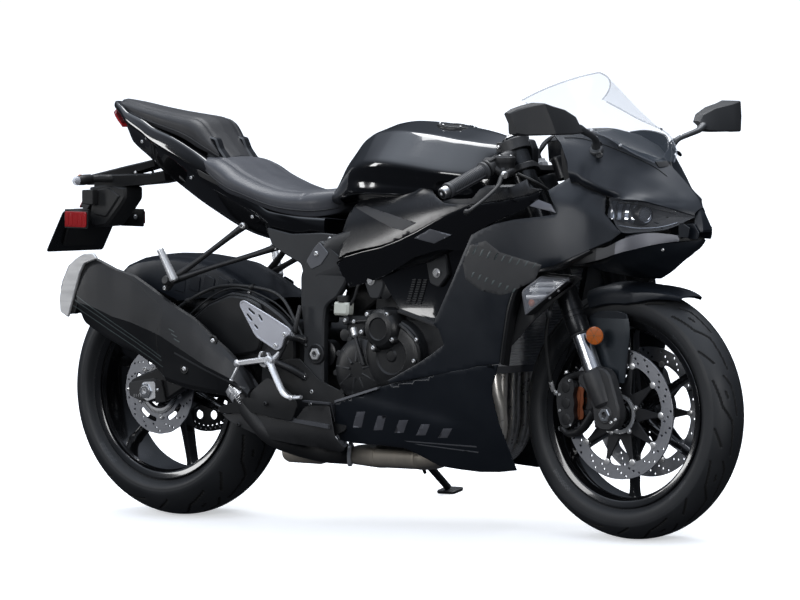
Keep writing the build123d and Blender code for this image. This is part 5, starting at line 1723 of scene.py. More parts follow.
# thick rolled lip along the front edge of the fairing, down beside the lamp
LIP = [(1420, 692), (1332, 652), (1258, 634), (1220, 598), (1198, 552), (1182, 498),
       (1168, 450), (1160, 420)]
g = Geo()
for s in (-1, 1):
    rows = []
    for x, z in spline([(x, z, 0) for x, z in LIP], 6) and [(p[0], p[1]) for p in spline([(x, z, 0) for x, z in LIP], 6)]:
        y = float(_flank(x, z))
        for pa, pb, sl, w in SIDE_FOLDS:
            y -= sl * float(soft(line_side(x, z, pa, pb), w))
        rows.append([(x - 2, s * (y - 1.5), z + 2), (x + 3, s * (y - .5), z - 3),
                     (x + 7, s * (y - 5), z - 6), (x + 9, s * (y - 26), z - 8),
                     (x + 6, s * (y - 27), z - 5), (x - 1, s * (y - 6), z + 1)])
    g.add(grid(rows, ring=True, cap=True))
piece("side_fairing_lips", nosed(g), [TRIM_SOFT], angle=40)


# decal areas: thin films a little above the skin
def film(name, shapes, base, mats, folds=(), lift=0.35, step=9.0, r=2.0):
    g = Geo()
    for item in shapes:
        outline, m = item[0], item[1]
        part = sheet(rounded(outline, r, 2) if r else outline, field(base, folds, -lift), .3,
                     step, .12, back=False)
        g.add(part, m)
        g.add(flip(part), m)
    return piece(name, nosed(g), mats, angle=50)


DECAL_AREA = [(1063, 655), (1085, 698), (1135, 709), (1179, 683), (1300, 655), (1281, 619),
              (1208, 587), (1178, 581), (1116, 592), (1071, 617)]
bars = []
# plain slanted bars in two fading rows, a generic pattern
for k in range(9):
    x0, z0 = 1092 + k * 22.5, 692 - k * 4.2
    w, h = 7.5 - 0.25 * k, 17 - k * .6
    bars.append(([(x0, z0 - h), (x0 + w, z0 - h + 2), (x0 + w + 9, z0 + 2), (x0 + 9, z0)], 1))
for k in range(7):
    x0, z0 = 1088 + k * 21, 634 - k * 6.0
    h = 13 - k * .5
    bars.append(([(x0, z0 - h), (x0 + 6.5, z0 - h + 2), (x0 + 14, z0 + 1), (x0 + 7, z0)], 1))
film("fairing_film_base", [(DECAL_AREA, 0)], _flank, [DECAL], SIDE_FOLDS, 0.3)
film("fairing_film_bars", bars, _flank, [DECAL, DECAL_LIGHT], SIDE_FOLDS, 0.6, r=0, step=20)
film("fairing_grey_facet", [([(1256, 793), (1278, 808), (1316, 797), (1332, 777),
                              (1321, 780)], 0)], _flank, [GRAPHIC], SIDE_FOLDS, 0.4)

# ------------------------------------------------------------------ gloss side covers
COVER_LOW = [(618, 647), (648, 660), (710, 674), (779, 686), (848, 705), (910, 727), (996, 763),
             (1077, 790), (1151, 800), (1200, 807), (1252, 816), (1290, 830), (1272, 809),
             (1247, 790), (1205, 774), (1153, 754), (1115, 733), (1082, 717), (1064, 686),
             (1021, 683), (987, 685), (958, 681), (887, 664), (782, 619), (742, 607),
             (642, 582)]
COVER_UP = [(630, 772), (641, 786), (673, 811), (700, 822), (760, 826), (800, 824), (873, 831),
            (920, 828), (950, 812), (986, 797), (1030, 793), (1062, 795), (1090, 801), (1128, 813), (1200, 840), (1236, 856),
            (1250, 836), (1290, 832), (1252, 818), (1200, 809), (1151, 802), (1077, 792),
            (996, 765), (910, 729), (848, 707), (779, 690), (712, 680), (652, 668),
            (622, 655)]
LOW_FOLDS = [((1100, 752), (700, 640), 0.35, 7.0), ((642, 640), (900, 706), -0.25, 10.0)]
UP_FOLDS = [((640, 742), (1010, 806), 0.42, 9.0), ((900, 742), (1240, 846), 0.28, 8.0)]
side_panel("side_cover_lower", COVER_LOW, _cover, [GLOSS], LOW_FOLDS,
           replaces="side_covers", t=3.0)
side_panel("side_cover_upper", COVER_UP, _cover, [GLOSS_SOFT], UP_FOLDS, inset=-2.0,
           t=6.0)
film("cover_stripe", [([(645, 780), (685, 784), (799, 767), (905, 748), (856, 728), (810, 736),
                        (722, 760)], 0)], _cover, [STRIPE], UP_FOLDS, 2.6, step=4.0)
film("cover_grey_facet", [([(900, 711), (955, 734), (1020, 721), (961, 699)], 0)], _cover,
     [SILVER_TRIM], LOW_FOLDS, 1.8, step=4.0)

# ------------------------------------------------------------------ lower cowls
COWL = [(815, 359), (945, 386), (1060, 402), (1092, 410), (1153, 414), (1126, 364),
        (1121, 342), (1124, 270), (1132, 209), (1135, 158), (1084, 152), (1024, 150),
        (966, 154), (907, 160), (886, 170), (855, 185), (815, 201), (753, 205), (654, 207),
        (612, 213), (612, 263), (624, 309), (700, 330), (775, 349)]
COWL_FOLDS = [((1180, 196), (600, 226), -0.55, 10.0), ((820, 352), (900, 262), -0.12, 6.0)]


def belly(a, b):
    """Flank of the lower cowl; it curls in under the bike towards its bottom edge."""
    y = _belly(a, np.maximum(b, 150))
    return y


def cowl_field(side=-1, inset=0.0):
    def fn(a, b):
        y = belly(a, b)
        # raised upper arch, as pressed into the panel
        d = line_side(a, b, (700, 318), (960, 268))
        e = line_side(a, b, (960, 268), (1060, 330))
        y = y - 7.0 / (1 + np.exp(-(d - 6) / 5.0)) * (1 / (1 + np.exp((np.asarray(a) - 1010) / 18.0)))
        y = y - inset
        return np.stack([np.asarray(a, float), side * y, np.asarray(b, float)], -1)
    return fn


g = Geo()
SHEET_SIDE[0] = -1.0
part = sheet(COWL, cowl_field(), 3.2, 11.0, 1.4)
VENT = rounded([(884, 206), (948, 204), (948, 296), (886, 300)], 8, 3)
left = sheet(COWL, cowl_field(), 3.2, 11.0, 1.4, [VENT])
g.add(part)
g.add(flip(left))
piece("lower_cowl_skins", g, [MATT], replaces="lower_cowls", angle=24)


def cowl_film(name, shapes, mats, lift=.35):
    g = Geo()
    for outline, m in shapes:
        part = sheet(outline, cowl_field(inset=-lift), .3, 12.0, .12, back=False)
        g.add(part, m)
        if not any(876 < p[0] < 956 and 198 < p[1] < 308 for p in divide(outline, 6)):
            g.add(flip(part), m)
    return piece(name, g, mats, angle=50)


# generic slanted strokes low on the cowl
strokes = []
for k in range(5):
    x0 = 664 + k * 66
    z0 = 268 - k * 6
    h = 40 - k * 4
    strokes.append(([(x0, z0 - h * .55), (x0 + 30, z0 - h * .50), (x0 + 54, z0 + h * .5),
                     (x0 + 26, z0 + h * .46)], 0))
cowl_film("cowl_strokes", strokes, [GRAPHIC])
cowl_film("cowl_slit_trim", [([(820, 220), (1040, 215), (1040, 211.5), (838, 217)], 0),
                             ([(850, 214), (1040, 201), (1040, 198), (862, 211)], 0)],
          [SILVER_TRIM], .5)
# bright edge strips where the cowl meets the engine
g = Geo()
for s in (-1, 1):
    for a, b in (((626, 309.5), (774, 348)), ((612, 262), (612, 300))):
        rows = []
        for t in np.linspace(0, 1, 10):
            x, z = a[0] + (b[0] - a[0]) * t, a[1] + (b[1] - a[1]) * t
            y = float(_belly(x, z))
            rows.append([(x, s * (y + .6), z - 3), (x - 1, s * (y + .4), z + 2.5),
                         (x - 1, s * (y - 12), z + 4), (x, s * (y - 12), z)])
        g.add(grid(rows, ring=True, cap=True))
piece("cowl_edge_strips", g, [SILVER_TRIM], angle=30)

# ------------------------------------------------------------------ upper cowl
# rows from the lower edge up to the screen, for stations along x


def side_y(x, z):
    return -float(field(_flank, SIDE_FOLDS)(np.array([x]), np.array([z]))[0][1])


NOSE = [(1298, [(side_y(1350, 848) + 1, 849), (203, 868), (190, 902), (178, 932), (158, 964)]),
        (1340, [(side_y(1350, 848) + 1, 849), (202, 866), (188, 900), (172, 930), (142, 968)]),
        (1400, [(side_y(1400, 834) + 1, 834), (202, 850), (184, 882), (162, 914), (130, 958)]),
        (1452, [(side_y(1452, 815) + 1, 816), (194, 830), (170, 861), (134, 894), (90, 928)]),
        (1500, [(184, 809), (172, 820), (143, 842), (100, 866), (0, 890)]),
        (1535, [(164, 807), (150, 814), (118, 826), (78, 842), (0, 860)]),
        (1562, [(132, 797), (120, 803), (94, 812), (58, 822), (0, 834)]),
        (1584, [(82, 783), (74, 789), (56, 796), (34, 803), (0, 809)]),
        (1597, [(34, 770), (30, 776), (22, 781), (12, 785), (0, 789)])]


def thick_rows(rows, t=3.0):
    """Closed skin t thick from an open sheet of rows."""
    R = np.array(rows, float)
    du = np.gradient(R, axis=0)
    dv = np.gradient(R, axis=1)
    n = np.cross(du, dv)
    n /= np.maximum(np.linalg.norm(n, axis=2, keepdims=True), 1e-9)
    return R, R - n * t


def shell(rows, t=3.0, flipn=1):
    R, Q = thick_rows(rows, t * flipn)
    rows2 = [list(map(tuple, a)) + list(map(tuple, b[::-1])) for a, b in zip(R, Q)]
    return grid(rows2, ring=True, cap=True)


rows = skin_x(NOSE, r=26.0, k=5, m=4, nu=9, closed=False)
# cut the rear upper corner back: the cowl ends in a slanting line from the lower rear
# corner up to the mirror
trim = []
for row in rows:
    trim.append(row)
R = np.array(trim)
for j in range(R.shape[1]):
    z = R[:, j, 2]
# slant the rear edge: pull each row's first points forward as height grows
z0 = R[0, :, 2]
shift = np.interp(z0, [848, 868, 896, 941, 964], [52, 56, 47, 13, -24])
fade = np.clip(1 - np.arange(R.shape[0]) / 17.0, 0, 1)[:, None]
R[:, :, 0] += fade * shift[None]
g = Geo()
part = shell(R, 3.2, -1)
g.add(part)
g.add(flip(part))
piece("upper_cowl_skin", nosed(g), [MATT], replaces="upper_cowl", angle=26)
# shut line round the base of the screen, and its mirror
g = Geo()
n_r = R.shape[0]
for s_ in (-1, 1):
    path = []
    for i in range(4, int(n_r * .60), 2):
        p = R[i, -4]
        path.append((p[0], s_ * (abs(p[1]) + .3), p[2] + .3))
    g.add(tube(path, 1.1, 6, 2))
    path = [(R[i, 0, 0], s_ * (abs(R[i, 0, 1]) - .2), R[i, 0, 2] - .9) for i in range(0, int(n_r * .45), 2)]
    g.add(tube(path, 1.3, 6, 2))
piece("upper_cowl_shut_lines", nosed(g), [DARK_JOINTS_AND_SHADE], angle=60)


# ------------------------------------------------------------------ headlights
def in_yz(points, smooth=1.0):
    """Front-facing skin: x as a smooth field over (distance from the middle, z)."""
    return tps([(w, z, x) for x, w, z in points], smooth)


LAMP_EDGE = [(1453, 200, 813), (1455, 194, 790), (1458, 190, 768), (1474, 182, 745),
             (1490, 174, 731), (1508, 162, 729), (1528, 148, 731), (1548, 124, 733),
             (1566, 98, 737), (1577, 70, 747), (1585, 46, 760), (1590, 30, 767),
             (1583, 80, 780), (1573, 112, 790), (1560, 136, 797), (1540, 160, 806),
             (1517, 180, 811), (1485, 192, 813)]
_lampx = in_yz(LAMP_EDGE + [(1512, 172, 775), (1545, 138, 768), (1570, 100, 765)])


def lamp_fn(depth, side=-1):
    def fn(a, b):
        x = _lampx(a, b) - depth * .72
        return np.stack([x, side * (np.asarray(a, float) - depth * .5), np.asarray(b, float)], -1)
    return fn


outline = [(w, z) for x, w, z in LAMP_EDGE]
outline = rounded(outline, 4, 2)
g, lens = Geo(), Geo()
SHEET_SIDE[0] = 1.0
c_ = [(w, z) for w, z in ccw(outline)]
part = sheet(c_, lamp_fn(0.6), 2.2, 8.0, 0.8)
lens.add(part)
lens.add(flip(part))
# bucket behind the lens
rim = np.array(offset2d(ccw(divide(outline, 9)), 0.4))
for s in (-1, 1):
    rows = []
    for depth, ins in ((3, 0), (14, 2.5), (30, 8), (42, 16), (46, 24)):
        r_ = offset2d([tuple(p) for p in rim], ins * .5)
        q = lamp_fn(depth, s)(r_[:, 0], r_[:, 1])
        cen = q.mean(axis=0)
        q = q + (cen - q) * (ins / 90.0)
        rows.append([tuple(p) for p in q])
    g.add(grid(rows, ring=True, cap=False), 0)
    last = rows[-1]
    g.add(([tuple(p) for p in last], [tuple(range(len(last)))]), 0)
    # chrome reflector at the outer rear, split in facets
    def lp(w, z, depth, s=s):
        q = lamp_fn(depth, s)(np.array([float(w)]), np.array([float(z)]))[0]
        return tuple(q)
    for k in range(4):
        w0, w1 = 193 - k * 9.5, 193 - (k + 1) * 9.5 + 1.2
        rows = []
        for z in np.linspace(806 - k * 1.5, 765 - k * 4, 7):
            t = (z - 765) / 40.0
            d = 12 + 12 * math.sin(math.pi * min(max(t, 0), 1)) * .8
            rows.append([lp(w0, z, d), lp((w0 + w1) / 2, z, d + 5), lp(w1, z, d + 1)])
        g.add(shell(rows, 1.2, 1), 1)
    # projector: chrome ring and clear ball lens, in a dark shroud
    c = Vector(lp(141, 772, 22))
    ax = Vector((.90, s * .38, -.03)).normalized()
    g.add(spun(c - ax * 22, c + ax * 6, [(0, 27), (14, 27), (22, 24), (27, 21), (27.5, 19.5),
                                        (24, 18.6), (16, 18)], n=40), 2)
    g.add(spun(c - ax * 4, c + ax * 4, [(0, 20.5), (6, 20.2), (8, 18.8), (7.4, 17.6), (2, 17)],
               n=40), 1)
    g.add(spun(c - ax * 6, c + ax * 8, [(0, 16.8), (8, 16.4), (11, 13), (13, 8), (13.8, 3)],
               n=32), 3)
    # small bulb shield and the ribbed floor
    for k in range(5):
        w = 168 - k * 16
        g.add(tube([lp(w, 742 - k * .5 + (2 if k == 0 else 0), 12), lp(w - 6, 744, 26)], 1.6, 8, 2), 2)
    g.add(tube([lp(178, 748, 9), lp(150, 741, 9), lp(110, 743, 9), lp(72, 753, 9)], 1.5, 8, 8), 1)
    g.add(tube([lp(184, 801, 7), lp(160, 797, 8), lp(120, 784, 9), lp(80, 773, 9)], 1.5, 8, 8), 2)
piece("headlight_bowls", nosed(g), [LAMP_DARK, LAMP_CHROME, BLACK_METAL, LENS],
      replaces="headlights", angle=35)
piece("headlight_lenses", nosed(lens), [LAMP_LENS], angle=30)

# ------------------------------------------------------------------ blade under the headlight
P_LO = [(1324, 214, 652), (1372, 206, 655), (1420, 202, 663), (1458, 197, 672), (1483, 190, 681),
        (1516, 168, 691), (1547, 138, 701), (1570, 92, 708), (1586, 42, 711), (1594, 12, 712)]
P_HI = [(1330, 208, 660), (1378, 204, 678), (1420, 200, 693), (1458, 195, 697), (1490, 186, 712),
        (1518, 168, 724), (1548, 136, 730), (1572, 90, 726), (1586, 42, 719), (1595, 12, 717)]


def along(points, n):
    """Evenly spread points on a smooth line through the given ones."""
    L = np.array(spline(points, 10))
    d = np.concatenate([[0], np.cumsum(np.linalg.norm(np.diff(L, axis=0), axis=1))])
    q = np.linspace(0, d[-1], n)
    return np.stack([np.interp(q, d, L[:, i]) for i in range(3)], 1)


def blade(part_i, part_j, lift, back):
    """Strip between the two lines, from fraction part_i to part_j."""
    n = 60
    lo, hi = along(P_LO, n), along(P_HI, n)
    rows = []
    for k in range(int(part_i * (n - 1)), int(part_j * (n - 1)) + 1):
        a, b = lo[k], hi[k]
        out = np.array((.35, .93, 0)) if k < 30 else np.array((.8, .6, 0))
        a2, b2 = a + out * lift, b + out * lift * .6
        m2 = (a2 + b2) / 2 + out * 1.2
        rows.append([tuple(a2), tuple(m2), tuple(b2), tuple(b2 - out * back),
                     tuple(a2 - out * back)])
    return grid(rows, ring=True, cap=True)


g = Geo()
for (i, j, lift, m) in ((0.0, .30, 2.0, 1), (.30, .44, 2.6, 2), (.44, .86, 3.0, 0), (.86, 1.0, 2.6, 1)):
    part = blade(i, j, lift, 26)
    g.add(part, m)
    g.add(flip(part), m)
piece("nose_blades", nosed(g), [GRAPHIC, TRIM, STRIPE], angle=28)

# lower nose panel, from the blade down to the keel
ST = [[(1598, 10, 716), (1603, 6, 711), (1603, 0, 710)],
      [(1586, 40, 709), (1588, 22, 694), (1586, 0, 692)],
      [(1566, 96, 705), (1566, 52, 682), (1566, 0, 676)],
      [(1545, 140, 699), (1545, 76, 672), (1546, 0, 664)],
      [(1512, 168, 689), (1512, 92, 652), (1512, 0, 638)],
      [(1480, 190, 679), (1478, 104, 640), (1478, 0, 619)],
      [(1440, 198, 668), (1438, 118, 636), (1440, 30, 619)],
      [(1412, 200, 661), (1404, 140, 640), (1420, 70, 628)]]
rows = []
A = np.array(ST, float)
q = np.linspace(0, len(ST) - 1, 40)
for t in q:
    i = min(int(t), len(ST) - 2)
    p = A[i] + (A[i + 1] - A[i]) * (t - i)
    half = [p[0], (p[0] * .5 + p[1] * .5) + np.array((0, 3, -1.5)), p[1],
            p[1] * .5 + p[2] * .5 + np.array((0, 1, -1)), p[2]]
    row = [(a[0], -a[1], a[2]) for a in half] + [(a[0], a[1], a[2]) for a in reversed(half[:-1])]
    rows.append(row)
g = Geo()
g.add(shell(rows, 3.0, 1), 0)
for s in (-1, 1):
    g.add(bolt((1555, s * 100, 690), (.3, s * .9, -.3), 4.0, 2.4, "cap"), 1)
# duct mouth behind the blade, dark inside
for s in (-1, 1):
    rows = []
    for t in np.linspace(0, 1, 14):
        x = 1324 + 150 * t
        yl = np.interp(x, [1324, 1386, 1440, 1480], [214, 204, 199, 190])
        zl = np.interp(x, [1324, 1386, 1440, 1480], [650, 652, 662, 677])
        rows.append([(x, s * yl, zl), (x + 2, s * (yl - 22), zl - 3), (x + 2, s * (yl - 40), zl - 2),
                     (x + 2, s * (yl - 40), zl + 2), (x, s * (yl - 20), zl + 2)])
    g.add(grid(rows, ring=True, cap=True), 2)
piece("nose_lower_panel", nosed(g), [MATT, BOLT, TRIM], angle=26)

# beak: centre fin over the intake
g = Geo()
rows = []
for x, z, w, t in ((1590, 792, 6, 8), (1600, 776, 10, 16), (1608, 756, 14, 22), (1614, 737, 19, 26),
                   (1612, 732, 19, 26)):
    rows.append([(x, 0, z), (x - 2, w, z - 1), (x - t, w + 4, z - 3), (x - t, -w - 4, z - 3),
                 (x - 2, -w, z - 1)])
g.add(grid(rows, ring=True, cap=True), 0)
# intake walls
for s in (-1, 1):
    g.add(slab(rounded([(1560, 716), (1602, 714), (1606, 730), (1590, 752), (1562, 750)], 3, 2),
               *sorted((s * 24, s * 28)), bev=.8), 0)
    g.add(slab(rounded([(1560, 720), (1588, 718), (1592, 742), (1574, 752), (1560, 748)], 3, 2),
               *sorted((s * 44, s * 47)), bev=.8), 0)
# near-black plate at the back of the intake: painted shade inside the intake
g.add(([(1566, -46, 716), (1566, 46, 716), (1566, 46, 752), (1566, -46, 752),
        (1562, -46, 716), (1562, 46, 716), (1562, 46, 752), (1562, -46, 752)],
       [(0, 1, 2, 3), (7, 6, 5, 4), (0, 4, 5, 1), (1, 5, 6, 2), (2, 6, 7, 3), (3, 7, 4, 0)]), 1)
piece("nose_beak", g, [MATT, DARK_JOINTS_AND_SHADE], angle=26, bevel=.6)

# inner nose: dark bulkhead carrying lamps and instruments
g = Geo()
for s in (-1, 1):
    g.add(slab(rounded([(1330, 700), (1400, 690), (1420, 702), (1420, 790), (1400, 800),
                        (1340, 790)], 10, 2), *sorted((s * 120, s * 124)), bev=.8), 0)
    g.add(tube([(1270, s * 60, 812), (1350, s * 70, 826), (1440, s * 80, 800)], 9, 14, 8), 0)
    g.add(tube([(1440, s * 80, 800), (1470, s * 60, 760), (1520, s * 30, 740)], 9, 14, 8), 0)
g.add(tube([(1440, -80, 800), (1450, 0, 812), (1440, 80, 800)], 8, 14, 8), 0)
piece("nose_stay", g, [BLACK_METAL], angle=30)

# ------------------------------------------------------------------ windscreen
MID = [(1492, 0, 895), (1470, 0, 914), (1438, 0, 947), (1403, 0, 989), (1365, 0, 1031),
       (1330, 0, 1071), (1296, 0, 1105)]
EDG = [(1486, 40, 894), (1456, 92, 920), (1403, 131, 959), (1352, 150, 976), (1300, 160, 992),
       (1243, 163, 1016), (1188, 162, 1040)]
k = 28
M_, E_ = [], []
u = np.linspace(0, 1, k)
t0 = np.linspace(0, 1, len(MID))
M_ = pchip(t0, np.array(MID, float), u)
E_ = pchip(t0, np.array(EDG, float), u)
rows = []
for i in range(k):
    row = []
    m_, e_ = M_[i], E_[i]
    for t in np.linspace(-1, 1, 41):
        a = abs(t) * math.pi / 2
        s = -1 if t < 0 else 1
        c = .6 * (1 - math.cos(a)) + .4 * abs(t)
        x = m_[0] + (e_[0] - m_[0]) * c
        y = s * e_[1] * (.6 * math.sin(a) + .4 * abs(t))
        z = m_[2] + (e_[2] - m_[2]) * c
        row.append((x, y, z))
    rows.append(row)
R = np.array(rows)
g = Geo()
g.add(shell(R, 2.6, 1), 0)
piece("windscreen_bubble", g, [SCREEN], replaces="windscreen", angle=40)
# lighter tubes along the screen's rim: painted highlight on its edges
g = Geo()
for edge in (R[-1], R[:, 0], R[:, -1]):
    g.add(tube([tuple(p) for p in edge[::2]], 1.7, 8, 3), 0)
piece("windscreen_edge_highlight", g, [LENS], angle=40)
# dark base lip of the screen, and screws
g = Geo()
lip = [tuple(p) for p in R[0][4:-4:2]]
rows = []
for i, (x, y, z) in enumerate(np.array(R[0])[2:-2]):
    rows.append([(x + 1, y, z + 3), (x + 7, y * 1.02, z - 3), (x + 13, y * 1.03, z - 11),
                 (x + 8, y, z - 14), (x - 8, y * .96, z - 6), (x - 6, y * .96, z + 1)])
g.add(grid(rows, ring=True, cap=True), 0)
for s in (-1, 1):
    for (x, w, z) in ((1440, 112, 934), (1378, 142, 970)):
        g.add(bolt((x, s * w, z), (.3, s * .85, .5), 4.4, 2.6, "cap"), 1)
piece("windscreen_base_lip", nosed(g), [TRIM, BOLT], angle=30)

# dash cowl under the screen
g = Geo()
rows = []
for x, w, z in ((1480, 30, 886), (1452, 78, 902), (1408, 112, 924), (1350, 128, 946), (1300, 132, 956),
                (1262, 126, 952)):
    rows.append([(x - 14 * (1 - math.cos(a)), w * math.sin(a), z - 14 + 30 * math.cos(a * .9)) for a in
                 np.linspace(-math.pi / 2, math.pi / 2, 17)])
g.add(shell(rows, 2.5, 1), 0)
piece("dash_cowl", g, [TRIM_SOFT], angle=30)

# ------------------------------------------------------------------ instruments
g = Geo()
fw = Vector((1318 - 1236, 0, 960 - 915)).normalized()
nn = Vector((-fw.z, 0, fw.x))          # up-rear face normal
c = Vector((1266, 0, 944))


def dash(a, b, y):
    return tuple(c + fw * a + Vector((0, 1, 0)) * b + nn * y)


out = rounded([(-34, -66), (-20, -84), (26, -86), (42, -60), (46, 0), (42, 60), (26, 86),
               (-20, 84), (-34, 66), (-38, 0)], 10, 4)
g.add(slab(out, -22, 6, (), 4, dash), 0)
scr = rounded([(-24, -52), (26, -58), (34, -40), (36, 0), (34, 40), (26, 58), (-24, 52)], 5, 3)
g.add(slab(scr, 5.2, 7.2, (), .8, dash), 1)
# plain bars and blocks on the display
for k in range(14):
    b = -46 + k * 6.4
    g.add(slab([(24 - abs(b) * .06, b), (24 - abs(b) * .06, b + 4.4), (30 - abs(b) * .08, b + 4.4),
                (30 - abs(b) * .08, b)], 7.1, 7.6, (), .2, dash), 2)
for b0, b1, a0, a1 in ((-44, -16, -14, 6), (-10, 16, -16, 12), (22, 46, -14, 6)):
    g.add(slab(rounded([(a0, b0), (a1, b0), (a1, b1), (a0, b1)], 2, 2), 7.1, 7.5, (), .2, dash), 2)
for s in (-1, 1):
    g.add(spun(dash(-4, s * 73, 5), dash(-4, s * 73, 10), [(0, 6.5), (3.5, 6.3), (5, 4.5)], n=20), 3)
    g.add(tube([(1290, s * 60, 925), (1312, s * 62, 880), (1330, s * 66, 826)], 7, 12, 6), 3)
piece("instrument_panel", g, [TRIM, DISPLAY, DECAL_LIGHT, BLACK_METAL],
      replaces="instrument_cluster", angle=32)

# ------------------------------------------------------------------ mirrors
g = Geo()
MST = [  # outward, x of rim, top z, bottom z, forward bulge
    (243, 1410, 989, 966, 6), (258, 1406, 1006, 963, 11), (300, 1402, 1021, 961, 20),
    (350, 1399, 1030, 961, 30), (381, 1395, 1037, 961, 35), (385, 1394, 1037, 961, 35),
    (412, 1383, 1031, 960, 24), (434, 1371, 1023, 960, 14), (446, 1363, 1014, 964, 5)]
for s in (-1, 1):
    rows = []
    for w, x, zt, zb, f in MST:
        zm = (zt + zb) / 2
        xb = x + 18          # the rim leans: lower edge further forward
        sk = 13 * max(0.0, 1 - abs(w - 372) / 90.0)      # the crease runs slantwise
        rows.append([(x + f - 3, s * (w + sk), zt - 1.2), (x + f + 1, s * (w + sk), zt - 3.4),
                     ((x + xb) / 2 + f + 2, s * w, zm), (xb + f - 1, s * (w - sk), zb + 4),
                     (xb + f - 5, s * (w - sk), zb + 1), (xb - 15, s * w, zb), (xb - 18, s * w, zb + 3),
                     (x - 1, s * w, zm), (x - 13, s * w, zt - 3), (x - 10, s * w, zt)])
    g.add(grid(rows, ring=True, cap=True), 0)
    # glass, set in the back
    rows = []
    for w, x, zt, zb, f in MST[1:-1]:
        xb = x + 18
        rows.append([(x - 13.2, s * w, zt - 6), (xb - 17.5, s * w, zb + 7),
                     (xb - 15.5, s * w, zb + 7), (x - 11.0, s * w, zt - 6)])
    g.add(grid(rows, ring=True, cap=True), 1)
piece("mirror_shells", g, [MIRROR_GREY, MIRROR_GLASS], angle=22)
g = Geo()
for s in (-1, 1):
    g.add(tube([(1399, s * 152, 930), (1408, s * 166, 946), (1418, s * 192, 956),
                (1424, s * 226, 966), (1421, s * 250, 976)], [11, 8.5, 8, 9, 12], 18, 8, flat=.8), 0)
    # foot plate on the cowl, with screws and rings
    n_ = Vector((.25, s * .72, .64)).normalized()
    c = Vector((1398, s * 151, 926))
    g.add(spun(c - n_ * 6, c + n_ * 5, [(0, 17), (6, 16.5), (9, 14.5), (11, 11)], n=28), 0)
    for dx, dz in ((-26, 10), (16, -16)):
        q = c + Vector((dx, s * (-dz * .5), dz)) + n_ * 1.5
        g.add(spun(q, q + n_ * 3.4, [(0, 8.6), (2.4, 8.2), (3.4, 6), (2.0, 5), (1.9, 3)], n=24), 2)
    q = Vector((1412, s * 172, 954))
    g.add(bolt(q, (.1, s * .2, 1), 5, 3, "cap"), 1)
    g.add(tube([(1402, s * 152, 934), (1397, s * 150, 938)], 13, 18, 3), 0)
piece("mirror_arms", g, [MIRROR_ARM, BOLT, TRIM], replaces="mirrors", angle=35)

# ------------------------------------------------------------------ turn signals
SIG = [(1242, 594), (1293, 630), (1374, 622), (1330, 588), (1249, 532)]


def sig_y(a, b):
    """Outer face of the lamp: it stands out from the fairing and turns in at the front."""
    a, b = np.asarray(a, float), np.asarray(b, float)
    return 236 - 0.12 * (a - 1290) - .0009 * (a - 1290) ** 2 - 0.10 * np.abs(b - 585)


def sig_fn(depth, s=-1):
    def fn(a, b):
        return np.stack([np.asarray(a, float), s * (sig_y(a, b) - depth), np.asarray(b, float)], -1)
    return fn


SHEET_SIDE[0] = -1.0
g, lens = Geo(), Geo()
o = ccw(rounded(SIG, [10, 8, 6, 16, 8], 4))
inner = [tuple(p) for p in offset2d(ccw(divide(o, 8)), 6.0)]
part = sheet(inner, sig_fn(.8), 1.8, 8, .8)
lens.add(part)
lens.add(flip(part))
for s in (-1, 1):
    ringo = np.array(ccw(divide(o, 8)))
    rows = []
    for ins, dep in ((0, 26), (0, 5), (1.2, 1.6), (2.4, .6), (5.6, .8), (6.6, 3), (7.6, 16),
                     (14, 22)):
        r_ = offset2d([tuple(p) for p in ringo], ins)
        q = sig_fn(dep, s)(r_[:, 0], r_[:, 1])
        rows.append([tuple(p) for p in q])
    v, f = grid(rows, ring=True)
    nq = len(ringo)
    for fi, face in enumerate(f):
        g.add(([v[i] for i in face], [tuple(range(len(face)))]), 1 if fi // nq in (2, 3, 4) else 0)
    last = rows[-1]
    g.add((last, [tuple(range(len(last)))]), 2)
    g.add((rows[0], [tuple(range(len(last)))]), 0)
    # inner fins across the lens, bulb in its pocket
    for k, (a, b) in enumerate((((1262, 596), (1340, 596)), ((1276, 609), (1352, 610)),
                                ((1252, 578), (1318, 580)))):
        pa = sig_fn(9, s)(np.array([a[0]]), np.array([a[1]]))[0]
        pb = sig_fn(9, s)(np.array([b[0]]), np.array([b[1]]))[0]
        g.add(tube([tuple(pa), tuple(pb)], 2.6, 8, 2, flat=2.2), 2)
    cb = Vector(sig_fn(10, s)(np.array([1264.0]), np.array([564.0]))[0])
    g.add(spun(cb - Vector((0, s * 8, 0)), cb + Vector((0, s * 6, 0)),
               [(0, 5), (3, 8), (8, 9), (12, 6.5), (14, 2)], n=24), 3)
    g.add(spun(cb - Vector((0, s * 9, 0)), cb - Vector((0, s * 3, 0)),
               [(0, 17), (3, 17), (6, 14), (4, 9)], n=28), 4)
piece("turn_signal_bodies", nosed(g), [TRIM, SILVER_TRIM, ALU, AMBER, LAMP_DARK],
      replaces="turn_signals", angle=35, weld=True)
piece("turn_signal_lenses", nosed(lens), [SIGNAL_LENS], angle=30)

# inner panel behind the lamp, down to the radiator
g = Geo()
IN = [(1236, 640), (1300, 634), (1372, 628), (1390, 622), (1330, 580), (1262, 530), (1195, 470),
      (1140, 426), (1152, 470), (1180, 530), (1206, 596)]


def inner_fn(a, b):
    a = np.asarray(a, float)
    y = 214 - .06 * np.abs(a - 1240) - 12
    return np.stack([a, -y, np.asarray(b, float)], -1)


part = sheet(IN, inner_fn, 2.6, 10, 1)
g.add(part)
g.add(flip(part))
piece("fairing_inner_panels", nosed(g), [TRIM_SOFT], angle=30)


